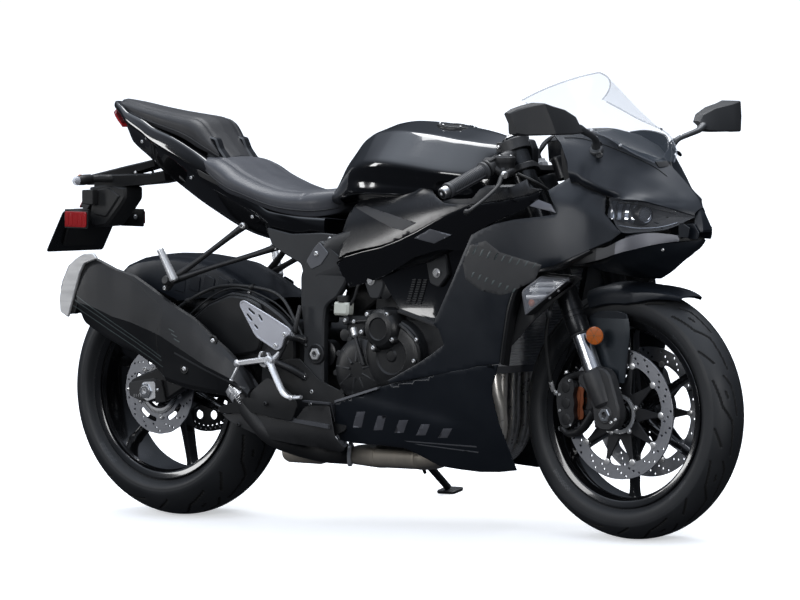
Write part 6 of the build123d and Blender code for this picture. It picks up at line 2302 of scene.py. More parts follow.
# ------------------------------------------------------------------ fuel tank
TANK = [(548, [(0, 838), (50, 833), (80, 806), (80, 792), (58, 782)], [9, 12, 12, 8, 4]),
        (560, [(0, 856), (54, 848), (86, 812), (86, 794), (62, 784)], [9, 14, 12, 8, 4]),
        (586, [(0, 894), (64, 882), (102, 830), (102, 798), (76, 786)], [9, 14, 12, 10, 4]),
        (620, [(0, 930), (72, 914), (120, 856), (119, 806), (92, 790)], [9, 13, 14, 12, 4]),
        (655, [(0, 960), (80, 944), (138, 874), (134, 812), (100, 794)], [9, 11, 15, 14, 4]),
        (700, [(0, 983), (86, 962), (156, 886), (148, 814), (110, 800)], [9, 10, 16, 18, 4]),
        (760, [(0, 990), (96, 966), (170, 890), (156, 812), (112, 800)], [9, 10, 16, 22, 4]),
        (840, [(0, 986), (104, 960), (177, 884), (158, 808), (112, 800)], [9, 10, 18, 24, 4]),
        (950, [(0, 971), (104, 944), (172, 868), (151, 804), (110, 794)], [9, 12, 20, 24, 4]),
        (1010, [(0, 958), (94, 934), (146, 862), (130, 802), (102, 794)], [9, 16, 20, 20, 4]),
        (1044, [(0, 945), (70, 926), (104, 862), (100, 808), (78, 798)], [9, 18, 20, 18, 4]),
        (1060, [(0, 936), (48, 918), (74, 862), (72, 816), (50, 806)], [9, 18, 18, 14, 4])]


def full_ring(st):
    """Half rows to whole rings with a flat bottom."""
    return [(x, [(-a, b) for a, b in reversed(h)] + list(h[1:]), list(reversed(r)) + list(r[1:]))
            for x, h, r in st]


rows = skin_x(full_ring(TANK), k=5, m=4, nu=7, closed=True)
R = np.array(rows)
# a long recess pressed in along each side of the tank
x, y, z = R[:, :, 0], R[:, :, 1], R[:, :, 2]
d1 = line_side(x, z, (690, 890), (1040, 850))
dent = 9.0 * np.exp(-((z - (846 - .05 * (x - 700))) / 20.0) ** 2) * np.clip((x - 640) / 80, 0, 1) \
    * np.clip((1040 - x) / 80, 0, 1)
R[:, :, 1] -= np.sign(y) * dent * (np.abs(y) > 60)
g = Geo().add(grid([[tuple(p) for p in r] for r in R], ring=True, cap=True))
tank = piece("fuel_tank_pressed", g, [TANK_PAINT], replaces="fuel_tank", angle=42)
# filler cap with its ring, hinge and screws
g = Geo()
zt = 990.0
c = Vector((872, 0, 974.0))
n_ = Vector((.10, 0, 1)).normalized()
g.add(spun(c - n_ * 6, c + n_ * 6, [(0, 50), (6, 50), (9, 48.5), (10.5, 45), (10.5, 41), (8.5, 40),
                                   (8.5, 36), (11, 34.5), (12, 30), (12, 4)], n=64), 0)
for k in range(6):
    a = k * math.pi / 3 + .3
    q = c + Vector((44.5 * math.cos(a), 44.5 * math.sin(a), -4.4 * math.cos(a))) + n_ * 5
    g.add(bolt(q, n_, 3.0, 1.8, "cap"), 1)
g.add(slab(rounded([(-12, -9), (14, -6), (14, 6), (-12, 9)], 4, 3), 5.6, 8.4, (), .8,
           lambda a, b, y: tuple(c + Vector((a + 6, b, -a * .1 + y)))), 0)
piece("fuel_filler_cap", g, [TRIM_SOFT, BOLT], angle=30)

# ------------------------------------------------------------------ seats


def seat_rows(st, crown=0.0, nu=10, sk=None):
    """Padded form: x, half width, lowest z, top z; crowned across and rolled at the edge."""
    out = []
    for x, hw, zl, zt in st:
        h = zt - zl
        half = [(0, zt), (hw * .55, zt - 1.5 - crown * .35), (hw * .86, zt - 6 - crown),
                (hw, zt - h * .34 - crown), (hw * .99, zl + h * .22), (hw * .94, zl), (0, zl)]
        out.append((x, half, [0, 20, 16, 18, 10, 3, 0]))
    full = [(x, [(-a, b) for a, b in reversed(h[:-1])][:-1] + list(h[:-1]),
             list(reversed(r[:-1]))[:-1] + list(r[:-1])) for x, h, r in out]
    return skin_x(full, k=5, m=4, nu=nu, closed=True)


RIDER = [(144, 92, 884, 896), (150, 100, 876, 904), (190, 116, 842, 900), (230, 126, 820, 886),
         (265, 130, 806, 866), (300, 130, 797, 851), (350, 128, 780, 834), (400, 124, 766, 823),
         (450, 117, 758, 819), (500, 106, 754, 822), (530, 88, 757, 823), (552, 62, 764, 819),
         (558, 48, 772, 812)]
g = Geo()
R = np.array(seat_rows(RIDER, 3.0))
# seams pressed in along the sides and across the seat
x, y, z = R[:, :, 0], R[:, :, 1], R[:, :, 2]
top = z > np.interp(x, [150, 300, 400, 552], [890, 830, 800, 795])
R[:, :, 2] -= 3.2 * np.exp(-((np.abs(y) - 84 * np.interp(x, [150, 230, 400, 552], [.8, 1, 1, .55])) / 5.0) ** 2) * top
R[:, :, 2] -= 2.6 * np.exp(-(np.abs(x - (486 - .0012 * y * y)) / 4.5) ** 2) * top
g.add(grid([[tuple(p) for p in r] for r in R], ring=True, cap=True))
seat = piece("rider_seat_cover", g, [SEAT_LIT_VINYL], replaces="rider_seat", angle=55)

PILL = [(-178, 24, 1030, 1037), (-172, 34, 1022, 1041), (-140, 48, 1006, 1037),
        (-60, 64, 980, 1022), (0, 76, 964, 1012), (60, 86, 948, 1004), (100, 89, 932, 998),
        (118, 88, 922, 990), (150, 78, 906, 954), (180, 66, 892, 919), (197, 52, 884, 900)]
R = np.array(seat_rows(PILL, 3.0))
x, y, z = R[:, :, 0], R[:, :, 1], R[:, :, 2]
top = z > np.interp(x, [-176, 0, 90, 197], [1024, 990, 980, 893])
R[:, :, 2] -= 2.8 * np.exp(-((np.abs(y) - np.interp(x, [-176, -60, 90, 197], [24, 42, 62, 42])) / 4.5) ** 2) * top
g = Geo().add(grid([[tuple(p) for p in r] for r in R], ring=True, cap=True))
seat = piece("pillion_seat_cover", g, [SEAT_SIDE], replaces="pillion_seat", angle=55)

# stitched piping
g = Geo()
for s in (-1, 1):
    pts = [(x, s * hw * .995, zl + (zt - zl) * .22) for x, hw, zl, zt in RIDER[1:-1]]
    g.add(tube(pts, 2.0, 8, 4), 0)
    pts = [(x, s * hw * .995, zl + (zt - zl) * .22) for x, hw, zl, zt in PILL[1:-1]]
    g.add(tube(pts, 1.8, 8, 4), 0)
piece("seat_piping", g, [SEAT_SIDE], angle=50)

# ------------------------------------------------------------------ tail cowl
TAILS = [(-214, [(0, 1034), (24, 1036), (30, 1026), (22, 1008), (0, 1004)], [0, 5, 6, 5, 0]),
         (-205, [(0, 1032), (40, 1036), (46, 1024), (28, 1004), (0, 998)], [0, 6, 6, 6, 0]),
         (-160, [(0, 1018), (56, 1024), (64, 1010), (36, 970), (0, 962)], [0, 6, 8, 8, 0]),
         (-120, [(0, 1004), (66, 1008), (76, 988), (46, 930), (0, 924)], [0, 6, 8, 10, 0]),
         (-60, [(0, 984), (76, 988), (88, 958), (54, 892), (0, 886)], [0, 8, 8, 12, 0]),
         (-20, [(0, 966), (84, 970), (97, 934), (60, 864), (0, 860)], [0, 8, 8, 12, 0]),
         (50, [(0, 938), (94, 948), (107, 902), (66, 824), (0, 824)], [0, 8, 9, 12, 0]),
         (120, [(0, 910), (102, 918), (114, 866), (74, 786), (0, 790)], [0, 8, 10, 14, 0]),
         (190, [(0, 866), (108, 880), (118, 830), (80, 752), (0, 764)], [0, 10, 12, 14, 0]),
         (250, [(0, 826), (116, 848), (121, 806), (87, 726), (0, 742)], [0, 10, 12, 14, 0]),
         (320, [(0, 790), (122, 806), (125, 776), (94, 704), (0, 724)], [0, 10, 10, 12, 0]),
         (380, [(0, 760), (122, 770), (125, 746), (100, 694), (0, 712)], [0, 10, 10, 10, 0]),
         (460, [(0, 748), (118, 758), (120, 732), (104, 690), (0, 704)], [0, 10, 10, 10, 0]),
         (548, [(0, 744), (110, 752), (112, 728), (104, 694), (0, 702)], [0, 8, 10, 10, 0])]
full = [(x, [(-a, b) for a, b in reversed(h[1:-1])] + list(h), list(reversed(r[1:-1])) + list(r))
        for x, h, r in TAILS]
full = [(x, h[:0] + [(h[-1][0], h[-1][1])] + h[:-1], [0] + r[:-1]) for x, h, r in full]
R = np.array(skin_x(full, k=5, m=4, nu=8, closed=True))
R[:, :, 0] = np.where(R[:, :, 0] < -120, -120 + (R[:, :, 0] + 120) * 0.70, R[:, :, 0])
x, y, z = R[:, :, 0], R[:, :, 1], R[:, :, 2]
# pressed line along the flank and a shallow scoop below it
d = line_side(x, z, (-180, 1000), (500, 726))
low = 5.0 / (1 + np.exp(d / 3.0)) * (np.abs(y) > 30) * np.clip((x + 190) / 60, 0, 1)
R[:, :, 1] -= np.sign(y) * low
g = Geo().add(grid([[tuple(p) for p in r] for r in R], ring=True, cap=True))
piece("tail_cowl_skin", g, [GLOSS], replaces="tail_cowl", angle=34)
g = Geo()
for s in (-1, 1):
    for xx, yy, zz in ((330, 121.5, 752), (120, 103, 846), (-60, 78, 934)):
        g.add(bolt((xx, s * yy, zz), (0, s, -.15), 4.6, 2.6, "cap"), 0)
    # grille slot: a near-black patch on the flank, painted shade inside the slot
    g.add(slab(rounded([(150, 868), (250, 828), (262, 812), (160, 850)], 4, 2),
               *sorted((s * 114, s * 119.5)), bev=.8), 1)
piece("tail_details", g, [BOLT, DARK_JOINTS_AND_SHADE], angle=30)

# tail light: narrow red lens wrapped round the end
g = Geo()
for s in (-1, 1):
    rows = []
    for x, w, zt, zb, d in ((-222, 2, 1025, 1012, 5), (-221, 16, 1024, 1011, 5),
                            (-214, 30, 1021, 1006, 4), (-196, 42, 1013, 997, 3),
                            (-170, 53, 1003, 985, 2.4), (-146, 60, 995, 973, 1.4)):
        o = 3.2 if w > 20 else 2.5
        x = -120 + (x + 120) * 0.70
        zt, zb = zb + 5, zb - 3
        rows.append([(x - d * .4, s * (w + o), zt), (x - d, s * (w + o + 1.2), (zt + zb) / 2),
                     (x - d * .4, s * (w + o - 2), zb), (x + 9, s * (w - 7), zb), (x + 9, s * (w - 7), zt)])
    g.add(grid(rows, ring=True, cap=True), 0)
    rows = []
    for x, w, zt, zb in ((-187, 24, 1016, 1013), (-169, 46, 1006, 1002), (-138, 62, 985, 981)):
        rows.append([(x, s * (w + 3), zt), (x, s * (w + 3), zb), (x + 8, s * (w - 5), zb),
                     (x + 8, s * (w - 5), zt)])
    g.add(grid(rows, ring=True, cap=True), 1)
piece("tail_light_lens", g, [RED_LENS, RED_DARK], replaces="tail_light", angle=35)

# ------------------------------------------------------------------ plate bracket and plate
g = Geo()
# slim upper arm, thick lower arm, wedge that holds the plate
def bar_along(stations):
    rows = []
    for x, w, zt, zb in stations:
        rows.append([(x, -w, zt - 4), (x, -w + 5, zt), (x, w - 5, zt), (x, w, zt - 4), (x, w * .85, zb),
                     (x, -w * .85, zb)])
    return grid(rows, ring=True, cap=True)


g.add(bar_along([(-60, 34, 890, 872), (-101, 34, 882, 862), (-156, 32, 872, 850), (-222, 30, 859, 836),
                 (-290, 26, 846, 822)]), 0)
g.add(bar_along([(-20, 42, 862, 836), (-69, 42, 854, 828), (-146, 40, 852, 822), (-212, 36, 850, 812),
                 (-262, 30, 840, 806)]), 0)
WEDGE = [(-276, 816), (-218, 826), (-152, 818), (-152, 790), (-172, 766), (-216, 720), (-262, 716),
         (-276, 738), (-262, 798)]
g.add(slab(rounded(WEDGE, 5, 2), -36, 36, bev=6.0), 0)
g.add(slab(rounded([(-262, 808), (-206, 818), (-168, 796), (-214, 742), (-252, 748)], 5, 2), -40, 40,
           bev=3.0), 0)
for s in (-1, 1):
    g.add(slab(rounded([(-275, 811), (-238, 812), (-238, 773), (-275, 775)], 4, 2),
               *sorted((s * 40, s * 62)), bev=2.0), 0)
    # arm and backing plate of the side reflector
    g.add(slab(rounded([(-290, 764), (-270, 760), (-270, 730), (-292, 734)], 3, 2),
               *sorted((s * 34, s * 110)), bev=1.0), 0)
    g.add(slab(rounded([(-289, 761), (-213, 760), (-214, 715), (-290, 716)], 3, 2),
               *sorted((s * 107, s * 110)), bev=.6), 0)
    g.add(bolt((-240, s * 107, 739), (0, -s, 0), 6.0, 3.0, "dome"), 1)
fwd = Vector((-60, 0, -107)).normalized()
pc = Vector((-292, 0, 757))
pn = Vector((-.872, 0, .489))


def plate(a, b, y):
    return tuple(pc + fwd * a + Vector((0, 1, 0)) * b + pn * y)


g.add(slab(rounded([(-8, -84), (-8, 84), (60, 70), (100, 60), (100, -60), (60, -70)], 8, 3), -6, 1,
           (), 1.5, plate), 0)
# lamp over the plate
g.add(slab(rounded([(-26, -24), (-26, 24), (-10, 30), (-2, 30), (-2, -30), (-10, -30)], 4, 3), -6, 20,
           (), 2, plate), 0)
for s in (-1, 1):
    g.add(tube([(-200, s * 30, 840), (-222, s * 56, 840), (-232, s * 74, 839)], 10, 12, 5), 0)
    g.add(bolt(plate(14, s * 62, 4), pn, 4.4, 3, "cap"), 1)
    g.add(bolt((-120, s * 33, 856), (0, s, .3), 4.2, 3, "cap"), 1)
piece("plate_bracket_arm", g, [TRIM, BOLT], replaces="plate_bracket", angle=30,
      bevel=.8)
g = Geo()
g.add(slab(rounded([(0, -109), (0, 109), (119, 109), (119, -109)], 9, 4), 1.5, 4.2,
           [rounded([(10, s * 62 - 9), (10, s * 62 + 9), (18, s * 62 + 9), (18, s * 62 - 9)], 4, 2)
            for s in (-1, 1)], .6, plate), 0)
g.add(slab(rounded([(4, -104), (4, 104), (115, 104), (115, -104)], 7, 4), 4.0, 4.8,
           [rounded([(6, -102), (6, 102), (113, 102), (113, -102)], 6, 4)], .2, plate), 0)
piece("number_plate_blank", g, [PLATE], replaces="number_plate", angle=30)
g = Geo()
g.add(slab(rounded([(-22, -27), (-22, 27), (2, 30), (2, -30)], 5, 3), 18, 22, (), 1.4, plate), 0)
for s in (-1, 1):
    g.add(slab(rounded([(-286, 758), (-216, 757), (-217, 718), (-287, 719)], 3, 2),
               *sorted((s * 110, s * 114)), bev=1.0), 0)
    for k in range(5):
        x = -282 + k * 15
        g.add(slab(rounded([(x, 754), (x + 8, 754), (x + 8, 723), (x, 723)], 1.5, 2),
                   *sorted((s * 113.6, s * 114.8)), bev=.4), 0)
piece("rear_reflectors", g, [RED_LENS], angle=30)
# rear turn signals on short stalks
g, g2, g3 = Geo(), Geo(), Geo()
for s in (-1, 1):
    c = Vector((-234, s * 74, 839))
    g.add(spun(c - Vector((0, s * 4, 0)), c + Vector((0, s * 56, -4)),
               [(0, 10), (6, 12.5), (30, 13.5), (50, 12), (58, 7)], n=28), 0)
    g2.add(spun(c + Vector((-6, s * 28, 0)), c + Vector((-18, s * 28, 0)),
                [(0, 11.5), (5, 12), (9, 9), (12, 3)], n=28), 0)
    g3.add(spun(c + Vector((0, s * 52, -4)), c + Vector((0, s * 66, -4)),
                [(0, 11.5), (4, 11), (9, 8), (13, 2)], n=28), 0)
piece("rear_signal_pods", g, [TRIM], angle=35)
piece("rear_signal_lenses", g2, [AMBER], angle=35)
piece("rear_signal_tips", g3, [LENS_CLEAR], angle=35)

# ------------------------------------------------------------------ hugger
g = Geo()
HUG = [(-118, 622, 92), (-100, 634, 97), (-60, 648, 99), (0, 656, 99), (60, 656, 99),
       (130, 648, 98.5), (190, 638, 98), (250, 612, 98), (300, 586, 97), (340, 562, 96),
       (352, 552, 96)]
rows = []
q = np.linspace(0, len(HUG) - 1, 46)
H_ = np.array(HUG, float)
for i, t in enumerate(q):
    k = min(int(t), len(HUG) - 2)
    x, zt, w = H_[k] + (H_[k + 1] - H_[k]) * (t - k)
    lowz = np.interp(x, [-118, -90, -60, 74, 150, 250, 352], [600, 592, 590, 540, 548, 548, 535])
    lowz = min(lowz, zt - 12)
    half = [(0, zt), (w * .42, zt - 1.5), (w * .62, zt - 5), (w * .66, zt - 4), (w * .86, zt - 9),
            (w * .97, zt - 17), (w, zt - 30 if zt - 30 > lowz else lowz + 4), (w * 1.0, lowz)]
    row = [(x, -a, b) for a, b in reversed(half)] + [(x, a, b) for a, b in half[1:]]
    rows.append(row)
g.add(shell(rows, 2.8, 1), 0)
for s in (-1, 1):
    # ribs pressed on the flank
    for k in range(5):
        x0 = 60 + k * 46
        g.add(slab(rounded([(x0, 566 + 3 * k), (x0 + 34, 560 + 2 * k), (x0 + 40, 606 - 5 * k),
                            (x0 + 8, 616 - 4 * k)], 5, 2), *sorted((s * 97.5, s * 100.6)), bev=1.0), 0)
    for x, z in ((140, 556), (300, 566)):
        g.add(bolt((x, s * 98, z), (0, s, 0), 4.6, 3, "cap"), 1)
piece("rear_hugger_moulded", g, [MATT, BOLT], replaces="rear_hugger", angle=28)

# strap hook cover behind the rider seat
g = Geo()
for s in (-1, 1):
    g.add(slab(rounded([(129, 953), (168, 944), (180, 918), (210, 884), (174, 872), (140, 900)], 5, 3),
               *sorted((s * 40, s * 66)), bev=4), 0)
piece("seat_end_covers", g, [GLOSS], angle=35)


# ------------------------------------------------------------------ swingarm
g = Geo()
ARM_O = [(-58, 298), (-60, 338), (-30, 352), (30, 372), (86, 434), (140, 500), (200, 540),
         (272, 567), (330, 560), (376, 543), (430, 512), (472, 476), (472, 398), (400, 402),
         (332, 400), (280, 396), (234, 388), (150, 342), (60, 292), (0, 286)]
hole = [(300, 492), (352, 500), (410, 474), (426, 444), (380, 430), (322, 434), (286, 456)]
hole2 = [(66, 352), (112, 402), (176, 432), (228, 436), (196, 400), (140, 366), (84, 330)]
for s in (-1, 1):
    g.add(slab(rounded(ARM_O, 14, 4), *sorted((s * 109, s * 133)), bev=5.0), 0)
    # domed brace plate over the front half of the arm
    dome = [(146, 496), (200, 536), (272, 562), (330, 556), (372, 540), (380, 470), (366, 420),
            (300, 410), (236, 412), (180, 446)]
    g.add(slab(rounded(dome, 16, 4), *sorted((s * 130, s * 141)), bev=7.0), 0)
    # adjuster block, axle plate and its screw
    g.add(slab(rounded([(-56, 302), (-58, 334), (28, 348), (40, 330), (28, 296), (-20, 290)], 6, 3),
               *sorted((s * 131, s * 137.5)), bev=1.5), 1)
    for k in range(5):
        g.add(slab([(-40 + k * 7, 299), (-38.6 + k * 7, 299), (-38.6 + k * 7, 306), (-40 + k * 7, 306)],
                   *sorted((s * 137.2, s * 137.9)), bev=.2), 2)
    g.add(cyl((-74, s * 121, 317), (-54, s * 121, 318), 4.5, 4.5, 14, .5), 2)
    g.add(spun((-62, s * 121, 317.6), (-56, s * 121, 318), [(0, 8), (6, 8)], n=6), 2)
    # pivot boss
    g.add(spun((552, s * 85, 422), (552, s * 117, 422), [(0, 30), (2, 33.5), (30, 33.5), (32, 30)],
               n=40), 0)
    g.add(slab(rounded([(462, 470), (500, 462), (556, 454), (560, 392), (500, 392), (462, 402)], 10, 3),
               *sorted((s * 86, s * 114)), bev=5), 0)
# cross member and shock mount
g.add(slab(rounded([(376, 404), (470, 404), (470, 470), (440, 500), (392, 500), (374, 470)], 12, 4),
           -109, 109, bev=6), 0)
for s in (-1, 1):
    g.add(slab(rounded([(430, 490), (476, 490), (474, 524), (462, 538), (448, 538), (434, 524)], 8, 3),
               *sorted((s * 30, s * 40)), bev=2), 0)
# spool bosses with tapped hole
for s in (-1, 1):
    g.add(spun((42, s * 132, 318), (42, s * 136.8, 318), [(0, 12), (3.4, 11.4), (4.8, 9.4), (4.8, 4.4),
                                                        (.4, 4.2), (.4, .5)], n=32), 2)
piece("swingarm_cast", g, [TRIM_SOFT, CASTING, BOLT], replaces="swingarm", angle=30)

# rear axle with its nut, washers, spacers
g = Geo()
g.add(lathe([(-146, 8), (-146, 11.6), (-144, 12.4), (-86, 12.4), (86, 12.4), (140, 12.4),
             (141, 11.4), (141, 8)], centre=AXR, n=40), 0)
g.add(lathe([(-142, 12), (-142, 18.5), (-140, 21), (-134.5, 21), (-134.5, 12)], centre=AXR, n=6), 0)
g.add(lathe([(139, 12), (139, 18.5), (137, 20.5), (134.5, 20.5), (134.5, 12)], centre=AXR, n=6), 0)
for s in (-1, 1):
    g.add(lathe([(s * 131, 12.6), (s * 131, 24), (s * 134.8, 24), (s * 134.8, 12.6)], centre=AXR, n=44), 0)
    g.add(lathe([(s * 80, 12.6), (s * 80, 20), (s * 107, 20), (s * 107, 12.6)], centre=AXR, n=36), 1)
piece("rear_axle_nutted", g, [CHROME, BLACK_METAL], replaces="rear_axle", angle=30)

# silver adjuster plates round the axle ends, and the small clamp on the arm top
g = Geo()
for s in (-1, 1):
    g.add(slab(rounded([(-10, 337), (27, 339), (37, 322), (36, 299), (3, 289), (-22, 306)], 5, 3),
               *sorted((s * 134, s * 139.5)), bev=1.2), 0)
    g.add(lathe([(s * 139, 6), (s * 139, 13.5), (s * 143.5, 13.5), (s * 145.5, 11.5), (s * 145.5, 6)],
                centre=AXR, n=36), 1)
    g.add(cyl((34, s * 137, 319), (50, s * 137, 318), 3.6, n=14, ch=.5), 1)
    g.add(spun((38, s * 137, 318.8), (44, s * 137, 318.5), [(0, 6.2), (5, 6.2)], n=6), 1)
    # forked end of the arm
    g.add(slab(rounded([(31, 346), (52, 343), (66, 289), (31, 285)], 4, 3),
               *sorted((s * 133, s * 141)), bev=1.5), 2)
g.add(spun((-2, -112, 352), (-2, -112, 366), [(0, 6), (4, 6), (4, 8), (10, 8), (12, 5)], n=14), 1)
piece("axle_adjusters", g, [ALU, BOLT, TRIM_SOFT], angle=30)

# ------------------------------------------------------------------ rear caliper
g = Geo()
CAL = rounded([(88, 354), (86, 427), (24, 464), (-8, 429), (4, 387)], 9, 4)
g.add(slab(CAL, -102, -91.6, bev=3.0), 0)
g.add(slab(CAL, -77.4, -68, bev=3.0), 0)
g.add(slab(rounded([(86, 427), (24, 464), (10, 450), (74, 410)], 5, 3), -92, -77, bev=.6), 0)
g.add(slab(rounded([(40, 352), (88, 362), (88, 424), (60, 398)], 4, 3), -108, -101.5, bev=1.0), 1)
for x, z in ((30, 436), (66, 412)):
    g.add(spun((x, -101, z), (x, -108.5, z), [(0, 11), (3, 11), (5, 9), (7.4, 8.4), (7.4, 3)], n=24), 2)
g.add(slab([(20, 400), (60, 384), (74, 400), (30, 424)], -91.6, -87.8, bev=.5), 3)
g.add(slab([(20, 400), (60, 384), (74, 400), (30, 424)], -81.2, -77.4, bev=.5), 3)
piece("rear_caliper_cast", g, [CASTING, BLACK_METAL, BOLT, COPPER],
      replaces="rear_caliper", angle=30)

# brake hose and sensor lead along the swingarm
g = Geo()
g.add(tube([(30, -104, 440), (60, -112, 500), (120, -118, 540), (220, -120, 578), (330, -122, 580),
            (420, -126, 560), (480, -140, 500), (520, -146, 440)], 4.4, 10), 0)
g.add(tube([(14, -112, 366), (60, -116, 420), (130, -120, 508), (260, -121, 575), (390, -121, 548),
            (468, -118, 490)], 2.6, 8), 0)
for p in ((122, -118, 541), (330, -122, 580)):
    g.add(cyl((p[0] - 7, p[1], p[2] - 2), (p[0] + 7, p[1], p[2] + 2), 7.0, n=14, ch=1), 1)
piece("rear_brake_hose", g, [HOSE, TRIM], angle=40)

# ------------------------------------------------------------------ silencer
def sil_ring(top, bot, yo, fold, crown=0.5, yi=-158):
    """Section of the silencer: outer face with a crease, chamfered top and bottom."""
    h = top - bot
    zf = bot + h * fold
    pts = [(yi, bot + h * .22), (yi - 8, bot + 8), (yi - 18, bot + 2), (yo + 30, bot), (yo + 20, bot + 5),
           (yo + 13, bot + 14), (yo - 2, zf - 5), (yo - 4, zf + 3), (yo + 1, zf + h * .22),
           (yo + 7, top - h * .14), (yo + 14, top - 4), (yo + 22, top - 1), (yi - 18, top - 20),
           (yi - 6, top - 30), (yi, top - h * .34)]
    return pts


SIL_ST = [(392, 338, 300, -214, .50), (356, 398, 311, -220, .46), (318, 433, 313, -225, .45),
          (268, 468, 318, -230, .46), (222, 505, 324, -232, .48), (174, 528, 332, -232, .52),
          (128, 552, 344, -232, .54), (90, 574, 380, -231, .46), (30, 606, 408, -230, .40),
          (-30, 622, 424, -229, .38), (-84, 645, 446, -228, .36), (-124, 652, 464, -227, .34),
          (-150, 640, 478, -226, .34)]
g = Geo()
rows = []
xs = np.array([st[0] for st in SIL_ST])
order = np.argsort(xs)
cols = np.array([[q for p in sil_ring(*st[1:]) for q in p] for st in SIL_ST])[order]
for x in np.concatenate([np.linspace(-150, 60, 22), np.linspace(64, 176, 29)[0:], np.linspace(182, 392, 24)]):
    row = []
    vals = [float(np.interp(x, xs[order], cols[:, k])) for k in range(cols.shape[1])]
    # the body twists a little: its rear edge leans back as it rises
    for k in range(0, len(vals), 2):
        y, z = vals[k], vals[k + 1]
        lean_back = -(z - 560) * .16 * max(0.0, (60 - x) / 210.0)
        row.append((x + lean_back, y, z))
    rows.append(row)
g.add(grid(rows, ring=True, cap=True), 0)
piece("silencer_body", g, [SILENCER], replaces="silencer", angle=17)

# end cap of bright steel; the recess round the outlet is a near-black block, painted shade
CAP = [(-147, 646), (-123, 657), (-92, 659), (-80, 645), (-122, 632), (-137, 608), (-159, 545),
       (-176, 497), (-202, 511), (-205, 545), (-193, 590), (-172, 628)]
g = Geo()
def cap_rows(poly, y0, y1, inset=0.0):
    return [[(x, y, z) for x, z in offset2d(poly, inset)] for y in (y0, y1)]
side = rounded(CAP, 5, 3)
g.add(slab(side, -230.5, -222, bev=2.2), 0)
back = [(-150, 644), (-176, 627), (-197, 588), (-206, 546), (-202, 513), (-180, 505)]
rows = []
for y in np.linspace(-226, -194, 10):
    u = (y + 210) / 16.0
    rows.append([(x - 5.5 * (1 - u * u), y, z) for x, z in back])
inner = []
for y in np.linspace(-226, -194, 10):
    u = (y + 210) / 16.0
    inner.append([(x + 9 - 5.5 * (1 - u * u), y, z) for x, z in back])
outer_v, outer_f = grid(rows)
in_v, in_f = grid(inner)
g.add((outer_v, outer_f), 0)
g.add((in_v, in_f), 0)
# top and bottom closing strips
for k in (0, -1):
    g.add(grid([[r[k] for r in rows], [r[k] for r in inner]]), 0)
# near-black block filling the cap's recess: painted shade
g.add(slab(rounded([(-166, 628), (-150, 640), (-120, 634), (-140, 560), (-160, 506), (-184, 512),
                    (-188, 560)], 5, 3), -222.5, -192.0, bev=1.0), 1)
g.add(spun((-176, -200, 566), (-206, -200, 574), [(0, 20), (24, 20), (29, 21.5), (30.5, 21), (30.5, 18.5),
                                                  (8, 18.0), (8, .1)], n=36), 2)
piece("silencer_end_cap", g, [END_CAP, DARK_JOINTS_AND_SHADE, BLACK_METAL], angle=35)


def sil_y(x, z):
    """Outer face of the silencer at a point seen from the side."""
    row = [float(np.interp(x, xs[order], cols[:, k])) for k in range(cols.shape[1])]
    pts = sorted((row[k + 1], row[k]) for k in range(8, 22, 2))
    return float(np.interp(z, [q[0] for q in pts], [q[1] for q in pts]))


def on_sil(path, w, lift, n=30, deep=2.0):
    """Thin strip lying on the silencer's face along a path of (x, z)."""
    P = np.array(spline([(a, b, 0) for a, b in path], 10))[:, :2]
    t = np.gradient(P, axis=0)
    t /= np.linalg.norm(t, axis=1, keepdims=True)
    nrm = np.stack([-t[:, 1], t[:, 0]], 1)
    rows = []
    for p, q in zip(P, nrm):
        a, b = p + q * w / 2, p - q * w / 2
        ya, yb = sil_y(*a), sil_y(*b)
        rows.append([(a[0], ya + deep, a[1]), (a[0], ya - lift, a[1]), (b[0], yb - lift, b[1]),
                     (b[0], yb + deep, b[1])])
    return grid(rows, ring=True, cap=True)


g = Geo()
for a, b in (((-150, 552), (124, 406)), ((-154, 541), (124, 397)), ((-162, 527), (127, 381))):
    mid = ((a[0] + b[0]) / 2, (a[1] + b[1]) / 2)
    g.add(on_sil([a, mid, b], 2.0, .5), 0)
g.add(on_sil([(-60, 626), (30, 590), (96, 548), (120, 530), (128, 505), (114, 450), (116, 399), (128, 346)], 2.6, .15), 1)
for k in range(3):
    x0, z0 = 154 + k * 9, 477 - k * 12
    g.add(on_sil([(x0, z0), (x0 + 18, z0 - 8)], 2.2, .5), 0)
# lighter strip along the crease of the front shield: painted highlight on the ridge
g.add(on_sil([(172, 418), (241, 390), (320, 358), (384, 336)], 4.0, 1.3), 2)
piece("silencer_lines_and_ridge_highlight", g, [DECAL_LIGHT, DARK_JOINTS_AND_SHADE, FRAME_PAINT], angle=40)
g = Geo()
for x, z in ((282, 450), (199, 379)):
    y = sil_y(x, z)
    g.add(spun((x, y + 3, z), (x, y - 1.6, z), [(0, 13), (2.8, 13), (4.4, 12), (4.2, 9), (2.0, 8)], n=28), 0)
    g.add(bolt((x, y - .4, z), (0, -1, 0), 6.0, 3.4, "dome"), 1)
piece("silencer_bolts", g, [DARK_JOINTS_AND_SHADE, BOLT], angle=35)

# ------------------------------------------------------------------ foot controls
HEEL_O = [(350, 546), (358, 550), (366, 549), (440, 516), (500, 487), (509, 479), (508, 471),
          (490, 462), (485, 452), (482, 440), (474, 433), (462, 431), (404, 460), (394, 470), (350, 536)]
def slot_of(a, b, w):
    a, b = np.array(a, float), np.array(b, float)
    t = (b - a) / np.linalg.norm(b - a)
    n = np.array((-t[1], t[0])) * w
    return [tuple(a + n), tuple(a - t * w), tuple(a - n), tuple(b - n), tuple(b + t * w), tuple(b + n)]


